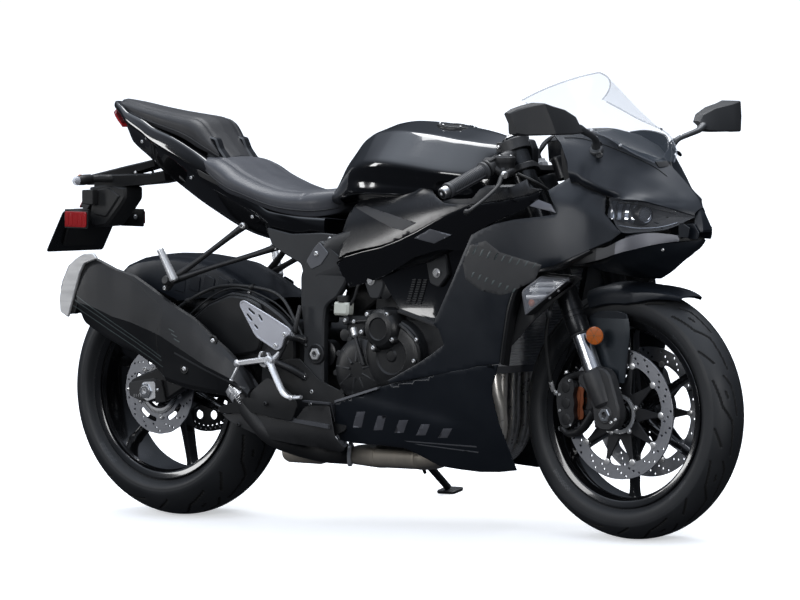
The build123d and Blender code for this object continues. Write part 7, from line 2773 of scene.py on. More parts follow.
g = Geo()
slots = [slot_of((378, 529), (394, 518), 2.6), slot_of((372, 516), (386, 502), 2.6),
         slot_of((410, 514), (418, 503), 2.6), slot_of((396, 490), (404, 483), 2.6)]
g2 = Geo()
for s in (-1, 1):
    place = lambda a, b, yy: (a, yy, b)
    y0, y1 = sorted((s * 189, s * 194.5))
    g.add(slab(rounded(HEEL_O, 5, 3), y0, y1, slots, bev=1.6), 0)
    # raised rim
    rim = rounded(HEEL_O, 5, 3)
    inner = [tuple(p) for p in offset2d(ccw(rim), 4.0)]
    y2, y3 = sorted((s * 194.2, s * 195.6))
    g.add(slab(rim, y2, y3, [inner], bev=.5), 0)
    for x, z in ((490, 470), (462, 442)):
        g.add(bolt((x, s * 194.5, z), (0, s, 0), 6.0, 4.2, "dome"), 1)
    # hanger arms from the frame plate out to the plate
    g.add(tube([(512, s * 148, 456), (498, s * 166, 462), (476, s * 188, 462)], [10, 9, 9], 12, 6), 2)
    g.add(tube([(514, s * 148, 366), (490, s * 168, 384), (452, s * 188, 404)], [10, 9, 9], 12, 6), 2)
    y0, y1 = sorted((s * 182, s * 190))
    g.add(slab(rounded([(476, 478), (492, 462), (486, 436), (456, 392), (430, 380), (412, 396),
                        (420, 424), (452, 456)], 6, 3), y0, y1, bev=1.6), 2)
    for x, z in ((512, 456), (514, 366)):
        g.add(bolt((x, s * 149, z), (0, s, 0), 6.4, 5.0, "dome"), 1)
        g.add(cyl((x, s * 146, z), (x, s * 152, z), 11, n=20, ch=1), 2)
piece("heel_plates_pierced", g, [HEEL, BOLT, BLACK_METAL], angle=32)

g = Geo()
for s in (-1, 1):
    # knuckle
    g.add(spun((432, s * 186, 416), (432, s * 204, 416), [(0, 8), (1, 11), (17, 11), (18, 9)], n=24), 1)
    g.add(slab(rounded([(418, 428), (444, 424), (448, 400), (434, 386), (418, 392), (410, 410)], 5, 3),
               *sorted((s * 190, s * 203)), bev=2.0), 0)
    # tread bar: flat-topped, grooved, narrowing outward
    p, q = Vector((428, s * 200, 406)), Vector((400, s * 268, 400))
    d = (q - p).normalized()
    side = Vector((0, 0, 1)).cross(d).normalized() * s
    up = Vector((0, 0, 1))
    rows = []
    for k in range(25):
        t = k / 24
        c = p + (q - p) * t
        w = 12.5 - 3.0 * t
        hh = 6.2 - 1.4 * t + (1.1 if k % 2 else 0.0)
        rows.append([c + side * w + up * (hh - 1), c + side * (w - 2) + up * hh, c - side * (w - 2) + up * hh,
                     c - side * w + up * (hh - 1), c - side * w - up * 4, c - side * (w - 4) - up * 6.5,
                     c + side * (w - 4) - up * 6.5, c + side * w - up * 4])
    g.add(grid(rows, ring=True, cap=True), 0)
    g.add(spun(q - d * 2, q + d * 6, [(0, 8), (2, 9.4), (5, 9.0), (8, 5)], n=20), 0)
    # bank feeler
    g.add(cyl((402, s * 264, 396), (384, s * 268, 360), 3.2, 4.0, 14, .6), 0)
    g.add(cyl((384, s * 268, 360), (382.6, s * 268.3, 357), 5.4, 5.4, 14, .8), 0)
piece("rider_pegs_machined", g, [ALU, BLACK_METAL],
      replaces="rider_footrests", angle=30)

# brake pedal right, gear lever left
g = Geo()
g.add(tube([(446, -198, 404), (462, -206, 384), (486, -212, 350), (506, -216, 326), (530, -218, 318),
            (560, -218, 320)], [10, 9.5, 9, 8.5, 8, 7], 14, 8, flat=.62), 1)
g.add(cyl((532, -206, 318), (536, -230, 318), 6.0, 6.0, 18, 1.0), 1)
g.add(spun((446, -190, 404), (446, -208, 404), [(0, 13), (15, 13), (18, 10)], n=24), 1)
g.add(tube([(446, -190, 404), (466, -184, 424), (478, -176, 452), (500, -170, 470)], 7.0, 10, 6), 1)
g.add(cyl((500, -168, 474), (512, -160, 540), 6.5, 5.0, 16, 1), 0)
g.add(tube([(440, 196, 396), (480, 200, 382), (530, 204, 372), (575, 206, 372), (592, 206, 374)],
           [6.5, 6, 5.6, 5.2, 5.0], 14, 6, flat=.7), 0)
g.add(cyl((588, 198, 373), (590, 232, 374), 6.4, 6.4, 18, 1.4), 2)
g.add(cyl((520, 190, 392), (640, 168, 404), 3.4, n=12), 1)
for x, y, z in ((520, 190, 392), (640, 168, 404)):
    g.add(spun((x - 8, y, z), (x + 8, y, z), [(0, 4), (2, 6.5), (14, 6.5), (16, 4)], n=14), 0)
g.add(spun((640, 150, 404), (640, 176, 404), [(0, 9), (22, 9), (26, 7)], n=20), 0)
piece("foot_levers_forged", g, [CASTING, ALU, RUBBER], replaces="foot_levers", angle=35)

# passenger footrests: two cast arms to a knuckle with a folding peg
g = Geo()
for s in (-1, 1):
    ARM = [(362, 716), (386, 704), (384, 676), (368, 668), (340, 676), (220, 622), (170, 590), (146, 566),
           (118, 562), (96, 576), (100, 606), (120, 622), (190, 664), (262, 712), (286, 730), (304, 724)]
    HOLE = [(176, 620), (240, 654), (316, 692), (296, 702), (270, 694), (200, 648)]
    def arm_place(a, b, yy, s=s):
        # the arm leans outward from the subframe to the peg
        t = min(1.0, max(0.0, (380 - a) / 270.0))
        return (a, s * (yy + 84 + 104 * t), b)
    def bar(pts, r):
        g.add(tube([(a, s * (86 + 104 * min(1.0, max(0.0, (380 - a) / 270.0))), b) for a, b in pts],
                   r, 14, 8, flat=.75), 0)
    bar([(304, 732), (258, 697), (192, 646), (124, 596)], [13, 9.5, 9, 13])
    bar([(386, 680), (330, 661), (220, 626), (124, 592)], [13, 9.5, 9, 13])
    bar([(112, 572), (118, 584), (124, 598), (130, 612)], [10, 14, 15, 10])
    g.add(bolt((382, s * 93, 678), (0, s, 0), 8.5, 6, "cap"), 1)
    g.add(bolt((302, s * 124, 730), (0, s, 0), 8.5, 6, "cap"), 1)
    g.add(spun((124, s * 186, 592), (124, s * 212, 596), [(0, 9), (3, 13), (20, 13), (26, 9)], n=22), 0)
    g.add(bolt((112, s * 196, 575), (0, s, 0), 6.0, 4, "dome"), 1)
    # peg folded upright outside the arm
    p, q = Vector((150, s * 206, 596)), Vector((118, s * 222, 672))
    d = (q - p).normalized()
    u, w, _ = basis(d)
    rows = []
    for k in range(21):
        t = k / 20
        r = 9.4 - 2.2 * t + (.9 if k % 2 else 0)
        c = p + (q - p) * t
        rows.append([c + (u * math.cos(a) * 1.25 + w * math.sin(a)) * r
                     for a in [2 * math.pi * j / 16 for j in range(16)]])
    g.add(grid(rows, ring=True, cap=True), 2)
    g.add(spun(p - d * 6, p + d * 2, [(0, 6), (2, 9.5), (8, 9.5)], n=18), 0)
piece("passenger_footrests_cast", g, [CASTING, BOLT, ALU],
      replaces="passenger_footrests", angle=35)

# black guards over the link pipe, right side
g = Geo()
UP = [(388, 316), (398, 332), (436, 364), (470, 352), (516, 322), (530, 300), (506, 258), (440, 268),
      (400, 276), (300, 272), (292, 286), (340, 300)]
def up_place(a, b, yy):
    t = min(1.0, max(0.0, (a - 300) / 230.0))
    return (a, -(yy + 214 - 22 * t - 16 * (1 - math.exp(-((b - 312) / 60.0) ** 2))), b)
g.add(slab(rounded(UP, 8, 3), 0, 3.0, bev=.9, place=up_place, step=14), 0)
LOW = [(300, 270), (400, 275), (440, 266), (506, 256), (540, 296), (610, 300), (626, 224), (650, 196),
       (632, 186), (560, 196), (500, 202), (420, 214), (330, 250)]
def low_place(a, b, yy):
    t = min(1.0, max(0.0, (a - 320) / 260.0))
    return (a, -(yy + 203 - 34 * t - 24 * max(0.0, (240 - b) / 60.0) ** 2), b)
g.add(slab(rounded(LOW, 8, 3), 0, 3.0, bev=.9, place=low_place, step=14), 1)
g.add(bolt((440, -207, 300), (0, -1, 0), 6.0, 4, "dome"), 2)
g.add(bolt((352, -203, 246), (0, -1, 0), 5.6, 4, "dome"), 2)
piece("link_pipe_guards", g, [TRIM, CASTING, BLACK_METAL], angle=28)
g = Geo()
for a, b, w in (((537, 308), (615, 304), 4.0), ((484, 263), (612, 248), 9.0)):
    rows = []
    for t in np.linspace(0, 1, 12):
        x, z = a[0] + (b[0] - a[0]) * t, a[1] + (b[1] - a[1]) * t
        y = -176 + 6 * t
        rows.append([(x, y - 8, z - w / 2), (x, y - 9.5, z + w / 2), (x, y + 1, z + w / 2 + 1),
                     (x, y + 1, z - w / 2)])
    g.add(grid(rows, ring=True, cap=True), 0)
piece("guard_edge_strips", g, [SILVER_TRIM], angle=30)

# inner plates behind the guards: they close the view between frame and cowl
g = Geo()
g.add(slab(rounded([(384, 392), (440, 404), (500, 410), (560, 360), (640, 330), (646, 240), (560, 205),
                    (430, 212), (372, 262)], 10, 3), -150, -146, bev=1.0), 0)
piece("guard_backing", g, [TRIM], angle=30)


# ------------------------------------------------------------------ frame
SPAR_ST = [(548, 118, 146, 596, 676), (560, 122, 146, 600, 692), (600, 122, 147, 603, 712),
           (660, 123, 149, 608, 728), (740, 125, 152, 618, 742), (820, 127, 156, 634, 764),
           (900, 128, 160, 655, 790), (960, 112, 146, 680, 808), (1010, 90, 128, 706, 826),
           (1040, 80, 118, 720, 836), (1080, 48, 84, 742, 838), (1116, 18, 50, 762, 838)]
g = Geo()
for s in (-1, 1):
    rows = []
    for x, yi, yo, zb, zt in SPAR_ST:
        h, m = zt - zb, (zt + zb) / 2
        sec = [(yi, zb + 8), (yi + 4, zb), (yo - 12, zb), (yo - 3, zb + 6), (yo, zb + 16), (yo - 3.5, m - 8),
               (yo - 4.5, m), (yo - 3, m + 8), (yo, zt - 16), (yo - 3, zt - 5), (yo - 12, zt), (yi + 4, zt),
               (yi, zt - 8)]
        rows.append([(x, s * y, z) for y, z in sec])
    g.add(grid(rows, ring=True, cap=True), 0)
FP = [(500, 612), (516, 646), (546, 686), (564, 700), (600, 680), (640, 650), (648, 622), (640, 596),
      (612, 560), (590, 548), (577, 536), (572, 500), (571, 432), (570, 330), (566, 314), (548, 296),
      (520, 300), (508, 316), (505, 360), (509, 420), (509, 480), (500, 540)]
for s in (-1, 1):
    g.add(slab(rounded(FP, 9, 3), *sorted((s * 121.5, s * 145.5)), bev=4.0), 0)
    # engine hangers
    g.add(slab(rounded([(690, 640), (740, 640), (760, 596), (744, 560), (716, 560), (700, 596)], 8, 3),
               *sorted((s * 122, s * 146)), bev=3), 0)
    g.add(slab(rounded([(876, 676), (940, 690), (948, 620), (920, 590), (892, 600)], 8, 3),
               *sorted((s * 118, s * 138)), bev=3), 0)
# head tube, gussets, cross tubes
g.add(spun((axis_x(746), 0, 746), (axis_x(860), 0, 860), [(0, 24), (0, 31), (4, 33), (14, 33), (18, 31),
      (100, 31), (104, 33), (114, 33), (116, 31), (116, 24)], n=48), 0)
for s in (-1, 1):
    g.add(slab([(1068, 752), (1126, 770), (1126, 836), (1072, 838)], *sorted((s * 14, s * 34)), bev=3), 0)
g.add(cyl((560, -128, 640), (560, 128, 640), 18, n=30), 0)
g.add(cyl((568, -124, 284), (568, 124, 284), 12, n=24), 0)
# lug of the side stand
g.add(slab(rounded([(536, 292), (590, 290), (584, 206), (542, 206)], 8, 3), 100, 112, bev=2), 0)
for s in (-1, 1):
    # lighter satin facet under the seat corner, dark boss with a silver bolt
    g.add(slab(rounded([(520, 648), (546, 682), (562, 694), (590, 668), (566, 640), (536, 628)], 4, 3),
               *sorted((s * 145, s * 147.4)), bev=.9), 1)
    for x, z, r in ((552, 666, 6.5), (538, 330, 6.0), (533, 300, 5.4)):
        g.add(bolt((x, s * 146.8, z), (0, s, 0), r, 4.2, "dome"), 2)
    # pivot: big hexagon bolt in a black ring
    g.add(spun((552, s * 144, 422), (552, s * 154, 422), [(0, 25), (6, 25), (8, 23), (8, 16)], n=40), 3)
    g.add(spun((552, s * 146, 422), (552, s * 158, 422), [(0, 15.5), (9, 15.5), (11, 14), (11.4, 8),
                                                         (6, 7.4), (6, .5)], n=6), 2)
    g.add(bolt((628, s * 145, 664), (0, s, 0), 5.6, 4, "dome"), 2)
    g.add(bolt((720, s * 146.4, 604), (0, s, 0), 8.5, 6, "hex"), 2)
    g.add(bolt((914, s * 138, 626), (0, s, 0), 8.5, 6, "hex"), 2)
piece("frame_cast", g, [FRAME_PAINT, SILVER_TRIM, BOLT, BLACK_METAL],
      replaces="frame", angle=30)

# rear subframe
g = Geo()
for s in (-1, 1):
    rows = []
    for x, zb, zt in ((470, 642, 664), (500, 656, 678), (545, 670, 690), (420, 664, 690),
                      (300, 718, 742), (180, 772, 796), (62, 836, 858)):
        pass
    for x, zb, zt in ((545, 669, 691), (470, 664 - 22, 664), (420, 667, 684), (300, 724, 742), (180, 780, 800),
                      (62, 842, 861)):
        rows.append([(x, s * y, z) for y, z in ((62, zb + 4), (65, zb), (77, zb), (80, zb + 4), (80, zt - 4),
                                                (77, zt), (65, zt), (62, zt - 4))])
    g.add(grid(rows, ring=True, cap=True), 0)
    for x, z in ((540, 680), (478, 656)):
        g.add(bolt((x, s * 79, z), (0, s, 0), 7, 5, "dome"), 1)
for x, z in ((420, 676), (240, 758), (100, 836)):
    g.add(cyl((x, -66, z), (x, 66, z), 8, n=18), 0)
piece("subframe_cast", g, [CASTING, BOLT], replaces="subframe", angle=30)

# ------------------------------------------------------------------ shock absorber
g = Geo()
p, q = Vector((455, 0, 520)), Vector((520, 0, 640))
d = (q - p).normalized()
L = (q - p).length
g.add(spun(p - d * 12, q + d * 12, [(0, 6), (4, 11), (24, 11), (30, 13), (L * .5, 13), (L * .55, 17),
                                    (L - 10, 17), (L + 4, 12), (L + 20, 11), (L + 24, 6)], n=28), 0)
u, w, _ = basis(d)
coil = []
turns, n = 6.2, 150
for k in range(n + 1):
    t = k / n
    a = 2 * math.pi * turns * t
    coil.append(p + d * (18 + (L - 42) * t) + (u * math.cos(a) + w * math.sin(a)) * 21)
g.add(tube(coil, 4.2, 10, smooth=False), 1)
for t in (14, L - 20):
    g.add(spun(p + d * t, p + d * (t + 6), [(0, 12), (0, 25.5), (4, 25.5), (6, 22), (6, 12)], n=36), 2)
for c in (p, q):
    g.add(cyl(c + Vector((0, -16, 0)), c + Vector((0, 16, 0)), 12, n=28, ch=1), 0)
    g.add(cyl(c + Vector((0, -30, 0)), c + Vector((0, 30, 0)), 5.5, n=18, ch=1), 2)
piece("shock_absorber_coiled", g, [BLACK_METAL, CASTING, BOLT],
      replaces="shock_absorber", angle=35)

# ------------------------------------------------------------------ engine
g = Geo()
CASE = [(616, 330), (652, 254), (900, 226), (986, 264), (997, 420), (987, 517), (642, 517)]
g.add(slab(rounded(CASE, 14, 4), -138, 138, bev=7.0, step=None), 0)
HEADO = [(822, 516), (990, 516), (1004, 600), (960, 648), (852, 648)]
g.add(slab(rounded(HEADO, 12, 4), -114, 114, bev=6.0), 0)
# cylinder block step and its cooling ribs, head cover
g.add(slab(rounded([(806, 512), (1000, 512), (1002, 548), (812, 548)], 6, 3), -124, 124, bev=4), 0)
for k in range(4):
    z = 556 + k * 9
    g.add(slab(rounded([(828, z), (998, z), (998, z + 3), (828, z + 3)], 1, 2), -117, 117, bev=.6), 0)
g.add(slab(rounded([(846, 598), (1002, 598), (1003, 606), (846, 606)], 2, 2), -118, 118, bev=1.5), 0)
g.add(slab(rounded([(862, 640), (958, 640), (946, 658), (872, 658)], 5, 3), -100, 100, bev=4), 0)
for s in (-1, 1):
    # raised webs on the case sides
    for a, b in (((640, 500), (720, 508)), ((652, 270), (760, 262)), ((900, 250), (976, 300)),
                 ((960, 330), (984, 480)), ((700, 300), (780, 330))):
        g.add(tube([(a[0], s * 138, a[1]), (b[0], s * 138, b[1])], 5.0, 10), 0)
    for x, z in ((640, 506), (664, 272), (884, 246), (972, 282), (984, 470), (820, 262)):
        g.add(spun((x, s * 134, z), (x, s * 146, z), [(0, 12), (10, 11), (12, 9)], n=20), 0)
        g.add(bolt((x, s * 145.4, z), (0, s, 0), 5.4, 4, "dome"), 1)
    # gearbox sprocket cover side: round plug
    g.add(spun((760, s * 136, 580), (760, s * 142, 580), [(0, 20), (5, 20), (6, 18)], n=30), 0)
# throttle bodies and airbox stub above the case
g.add(slab(rounded([(690, 520), (812, 520), (836, 600), (806, 664), (700, 664)], 12, 3), -96, 96, bev=6), 0)
# starter and rear mount bosses
for s in (-1, 1):
    g.add(cyl((632, s * 96, 470), (632, s * 138, 470), 15, n=26, ch=1.5), 0)
piece("engine_block_cast", g, [ENGINE, BOLT], replaces="engine_block", angle=28)

# gearbox sprocket on the left
g = Geo()
teeth = []
for i in range(16):
    a0 = 2 * math.pi * i / 16
    for da, r in ((-.10, 33), (-.05, 38), (.05, 38), (.10, 33)):
        teeth.append((r * math.cos(a0 + da), r * math.sin(a0 + da)))
g.add(slab(teeth, 96.5, 101.5, bev=.6, place=lambda a, b, yy: (640 + a, yy, 372 + b)), 0)
g.add(spun((640, 84, 372), (640, 110, 372), [(0, 14), (14, 14), (16, 18), (20, 18), (22, 12), (26, 12)], n=24), 1)
piece("gearbox_sprocket", g, [CHAIN, BOLT], angle=30)

# covers: clutch with radial ribs, round pickup cover, generator on the left
g = Geo()
g.add(spun((800, -138, 425), (800, -172, 425), [(0, 90), (14, 90), (22, 86), (28, 76), (31, 64), (33, 48),
                                               (33.4, 46), (30, 42), (30, 16), (33, 12), (33.6, 2)], n=96), 0)
# clutch cover with radial ribs
g.add(spun((690, -138, 388), (690, -166, 388), [(0, 78), (12, 76), (20, 66), (25, 50), (27, 30), (27.6, 3)],
           n=90), 0)
for k in range(9):
    a = 2 * math.pi * (k + .35) / 9
    p = Vector((690 + 20 * math.cos(a), -165.5, 388 + 20 * math.sin(a)))
    q = Vector((690 + 68 * math.cos(a), -156.0, 388 + 68 * math.sin(a)))
    g.add(cyl(p, q, 3.6, 3.2, 8), 2)
for k in range(10):
    a = 2 * math.pi * (k + .2) / 10
    c = (690 + 78 * math.cos(a), 388 + 78 * math.sin(a))
    g.add(spun((c[0], -138, c[1]), (c[0], -152, c[1]), [(0, 8), (11, 7.6), (13, 6)], n=16), 0)
g.add(spun((775, -138, 490), (775, -192, 490), [(0, 52), (26, 51), (34, 50), (44, 46), (50, 40), (52, 30),
                                               (52.6, 28), (50, 25), (50, 3)], n=80), 0)
for x, z, y in ((738, 524, 188), (798, 525, 188), (720, 481, 188), (756, 444, 188), (812, 465, 186)):
    g.add(spun((x, -150, z), (x, -y + 3, z), [(0, 11), (y - 158, 10), (y - 154, 8)], n=18), 0)
    g.add(bolt((x, -y + 4, z), (0, -1, 0), 5.8, 4.2, "dome"), 1)
for x, z, y in ((882, 466, 176), (874, 415, 176), (786, 371, 162), (793, 345, 152), (671, 504, 150)):
    g.add(bolt((x, -y, z), (0, -1, 0), 5.4, 4.2, "dome"), 1)
# ridge round the clutch cover and the oil pipe beside it
g.add(tube([(826, -168, 500), (852, -172, 486), (876, -170, 462), (884, -166, 430), (878, -160, 396)],
           5.2, 10), 0)
g.add(cyl((684, -166, 480), (716, -172, 400), 4.6, 4.6, 14, .6), 2)
g.add(spun((680, -165, 490), (690, -167, 466), [(0, 6), (2, 8.5), (20, 8.5), (24, 6)], n=18), 1)
g.add(spun((884, 138, 400), (884, 180, 400), [(0, 84), (20, 84), (30, 78), (36, 66), (38, 44), (42, 40),
                                             (42, 3)], n=80), 0)
for k in range(8):
    a = 2 * math.pi * k / 8
    c = (884 + 82 * math.cos(a), 400 + 82 * math.sin(a))
    g.add(spun((c[0], 138, c[1]), (c[0], 160, c[1]), [(0, 9), (19, 9), (21, 7.6)], n=16), 0)
    g.add(bolt((c[0], 159.5, c[1]), (0, 1, 0), 5.0, 4.0, "dome"), 1)
g.add(slab(rounded([(590, 330), (600, 300), (690, 296), (712, 330), (708, 420), (680, 446), (606, 440)], 14, 4),
           140, 156, bev=6), 0)
for x, z in ((606, 316), (694, 312), (694, 428), (612, 428)):
    g.add(bolt((x, 155, z), (0, 1, 0), 5.4, 4.2, "dome"), 1)
piece("engine_covers_turned", g, [ENGINE, BOLT, MIRROR_GREY],
      replaces="engine_covers", angle=30)

# ------------------------------------------------------------------ radiator
def rad_pt(u, v, w):
    """Point of the radiator: u across (mm), v up 0..1, w fore-aft from the front face (mm)."""
    x = 1082 + 64 * v
    z = 388 + 262 * v
    return (x - w * .97, u, z + w * .24)


g = Geo()
core = []
for v_ in (0.06, 0.94):
    core.append([rad_pt(-150, v_, 3.5), rad_pt(150, v_, 3.5), rad_pt(150, v_, 22), rad_pt(-150, v_, 22)])
g.add(grid(core, ring=True, cap=True), 1)
n = 34
for k in range(n):                       # tubes across, fins between them
    v0 = .07 + .86 * k / (n - 1)
    rows = []
    for u_ in (-150, 150):
        rows.append([rad_pt(u_, v0 - .004, 1.6), rad_pt(u_, v0 + .004, 1.6), rad_pt(u_, v0 + .004, 20),
                     rad_pt(u_, v0 - .004, 20)])
    g.add(grid(rows, ring=True, cap=True), 1)
for k in range(120):
    u_ = -149 + 298 * k / 119
    rows = []
    for v_ in (.07, .93):
        rows.append([rad_pt(u_ - .35, v_, 2.2), rad_pt(u_ + .35, v_, 2.2), rad_pt(u_ + .35, v_, 8),
                     rad_pt(u_ - .35, v_, 8)])
    g.add(grid(rows, ring=True, cap=True), 1)
for v0, v1 in ((0.0, .065), (.935, 1.0)):
    rows = []
    for u_ in (-162, 162):
        rows.append([rad_pt(u_, v0, 0), rad_pt(u_, v1, 0), rad_pt(u_, v1, 26), rad_pt(u_, v0, 26)])
    g.add(grid(rows, ring=True, cap=True), 3)
for s in (-1, 1):
    rows = []
    for v_ in np.linspace(0.0, 1.0, 8):
        rows.append([rad_pt(s * 149, v_, -1), rad_pt(s * 166, v_, 0), rad_pt(s * 171, v_, 8),
                     rad_pt(s * 171, v_, 20), rad_pt(s * 166, v_, 26), rad_pt(s * 149, v_, 26)])
    g.add(grid(rows, ring=True, cap=True), 0)
piece("radiator_cored", g, [BLACK_METAL, FIN_LIGHTENED, ALU, SILVER_TRIM], replaces="radiator",
      angle=30)
g = Geo()
# coolant hoses, fan shroud
g.add(tube([(1120, -130, 640), (1090, -128, 650), (1040, -118, 640), (990, -110, 590)], 15, 16), 0)
g.add(tube([(1058, -120, 410), (1030, -128, 380), (980, -140, 350), (930, -146, 330)], 14, 16), 0)
g.add(tube([(1058, 120, 410), (1036, 126, 380), (1000, 132, 350)], 12, 14), 0)
for p, q in (((1096, -129, 650), (1084, -127, 651)), ((1048, -123, 398), (1042, -125, 390))):
    g.add(cyl(p, q, 17.5, n=22, ch=.8), 1)
v, f = spun((1086, 30, 520), (1066, 30, 525), [(0, 62), (3, 66), (17, 66), (20, 60)], n=40)
g.add((v, f), 2)
piece("coolant_hoses", g, [HOSE, BOLT, TRIM], angle=40)

# ------------------------------------------------------------------ exhaust
g = Geo()
for y0, far in ((-78, False), (-26, True), (26, True), (78, True)):
    if y0 == -78:
        pts = [(984, -78, 540), (1016, -78, 512), (1034, -78, 430), (1042, -78, 350), (1046, -62, 292),
               (1036, -50, 238), (1000, -44, 192), (940, -40, 172), (890, -34, 168)]
    else:
        pts = [(984, y0, 540), (1014, y0, 512), (1024, y0, 440), (1020, y0, 330), (1018, y0, 260),
               (1002, y0 * .9, 206), (964, y0 * .75, 176), (890, y0 * .5, 168)]
    g.add(tube(pts, 17, 26, 10), 0)
    g.add(spun((980, y0, 546), (990, y0, 537), [(0, 26), (8, 26), (10, 22)], n=28), 1)
    for dz in (-22, 22):
        g.add(bolt((990, y0 + dz, 537), (1, 0, -.8), 5, 6, "hex"), 2)
    for k, (a, b) in enumerate((((1020, y0, 470), (1021, y0, 462)),)):
        g.add(cyl(a, b, 18.4, n=26, ch=.8), 0)
# collector and catalyst can
prof = [(600, 20), (612, 34), (622, 58), (628, 62), (640, 64), (676, 70), (690, 72), (700, 72), (702, 74),
        (708, 74), (710, 72), (826, 72), (828, 74), (834, 74), (836, 71), (846, 66), (868, 52), (884, 40), (896, 34)]
rows = []
for x, w in prof:
    x -= 44
    h = w * .40
    row = []
    for k in range(40):
        a = 2 * math.pi * k / 40
        cy, sz = math.cos(a), math.sin(a)
        ex = .62
        row.append((x, w * math.copysign(abs(cy) ** ex, cy), 171 + h * math.copysign(abs(sz) ** .8, sz)))
    rows.append(row)
g.add(grid(rows, ring=True, cap=True), 3)
g.add(tube([(572, -30, 172), (548, -52, 174), (516, -82, 179), (468, -126, 196), (424, -166, 222),
            (380, -182, 270), (346, -189, 322), (318, -190, 352)], 25, 26, 10), 1)
# small chamber ahead of the tyre
g.add(spun((372, -46, 173), (506, -46, 171), [(0, 10), (6, 22), (16, 26), (112, 26), (126, 22), (134, 12)],
           n=40), 3)
# collar and springs at the silencer joint
p, q = Vector((352, -188, 314)), Vector((330, -190, 340))
g.add(spun(p, q, [(0, 26), (1, 28.5), (16, 28.5), (17, 30), (22, 30), (24, 28.5), (32, 28.5), (33, 26)], n=36), 4)
for sgn in (-1, 1):
    coil = []
    a0, b0 = Vector((366, -188 - 26, 306 + sgn * 6)), Vector((334, -190 - 27, 338 + sgn * 6))
    dd = (b0 - a0).normalized()
    uu, ww, _ = basis(dd)
    for k in range(91):
        t = k / 90
        a = 2 * math.pi * 9 * t
        coil.append(a0 + (b0 - a0) * t + (uu * math.cos(a) + ww * math.sin(a)) * 3.6)
    g.add(tube(coil, 1.0, 6, smooth=False), 2)
g.add(spun((574, -52, 174), (584, -46, 173.6), [(0, 26), (1, 30), (9, 30), (10, 26)], n=32), 4)
piece("exhaust_pipes_bent", g, [HEADER, CASTING, BOLT, CATALYST, ALU],
      replaces="exhaust_pipes", angle=32)

# oxygen sensor and its lead
g = Geo()
g.add(spun((580, -74, 196), (574, -100, 226), [(0, 10), (8, 10), (9, 7), (24, 7), (26, 5), (38, 4.5)], n=6), 0)
g.add(tube([(574, -100, 228), (566, -112, 262), (572, -118, 300), (590, -112, 330)], 2.6, 8), 1)
piece("exhaust_sensor", g, [BOLT, HOSE], angle=35)

# coolant reservoir behind the frame spar, right side
g = Geo()
g.add(slab(rounded([(604, 518), (650, 518), (652, 549), (606, 551)], 7, 4), -150, -122, bev=5), 0)
g.add(spun((628, -136, 549), (628, -136, 566), [(0, 13), (3, 13), (4, 16), (14, 16), (17, 13)], n=28), 1)
g.add(tube([(646, -138, 540), (664, -140, 560), (676, -140, 590), (690, -134, 610)], 3.6, 8), 1)
piece("coolant_reservoir", g, [RESERVOIR, TRIM], angle=35)

# near-black blocks behind the frame plates: they fill the middle of the bike with painted shade
g = Geo()
g.add(slab(rounded([(572, 308), (640, 300), (640, 520), (700, 560), (720, 650), (610, 650), (586, 560),
                    (592, 470)], 10, 3), -82, 82, bev=5), 0)
g.add(cyl((600, -100, 600), (600, 100, 600), 22, n=30, ch=2), 0)
g.add(slab(rounded([(700, 520), (980, 520), (980, 690), (760, 700), (700, 640)], 12, 3), -88, -60, bev=5), 0)
piece("engine_rear_shade_blocks", g, [DARK_JOINTS_AND_SHADE], angle=30)
# satin plates under the seat, between the footrest arms and the frame
g = Geo()
for s in (-1, 1):
    g.add(slab(rounded([(372, 727), (450, 712), (548, 716), (600, 712), (604, 690), (580, 652), (540, 622),
                        (514, 560), (497, 580), (480, 640), (430, 662), (388, 684)], 8, 3),
               *sorted((s * 112, s * 119)), bev=2.5), 0)
    g.add(bolt((572, s * 119, 702), (0, s, 0), 5.0, 3.4, "dome"), 1)
piece("seat_side_plates", g, [FRAME_PAINT, BOLT], angle=30)
# duct liner behind the gloss side cover, with its mesh and bright lower edge
g = Geo()
for s in (-1, 1):
    LIN = [(724, 640), (770, 668), (880, 700), (1004, 700), (972, 600), (950, 488), (936, 496), (814, 531),
           (786, 566), (762, 604)]
    def lin_place(a, b, yy, s=s):
        d = 158 - 26 * min(1.0, max(0.0, (a - 760) / 150.0)) - 8 * math.sin((b - 500) / 60.0)
        return (a, s * (yy + d), b)
    g.add(slab(rounded(LIN, 5, 2), -2, 1.5, bev=.6, place=lin_place, step=16), 0)
    for k in range(11):
        for m in range(3):
            x = 842 + m * 15 - k * 1.6
            z = 610 - k * 5.6
            d = 158 - 26 * min(1.0, max(0.0, (x - 760) / 150.0)) - 8 * math.sin((z - 500) / 60.0)
            g.add(slab([(x, z), (x + 11, z), (x + 10, z - 3.4), (x - 1, z - 3.4)],
                       *sorted((s * (d + 1), s * (d + 4))), bev=.5), 1)
    rows = []
    for t in np.linspace(0, 1, 10):
        x, z = 812 + (950 - 812) * t, 532 + (490 - 532) * t
        d = 160 - 14 * t
        rows.append([(x, s * d, z - 2.4), (x, s * (d + 1.5), z + 2.2), (x, s * (d - 14), z + 6), (x, s * (d - 14), z)])
    g.add(grid(rows, ring=True, cap=True), 2)
piece("side_duct_liners", g, [GLOSS, MIRROR_GREY, STRIPE], angle=30)

# near-black block round the swingarm pivot in the middle of the frame: painted shade
g = Geo()
g.add(slab(rounded([(446, 402), (575, 402), (575, 298), (520, 290), (446, 306)], 10, 3), -62, 62, bev=5), 0)
piece("pivot_shade_block", g, [DARK_JOINTS_AND_SHADE], angle=30)
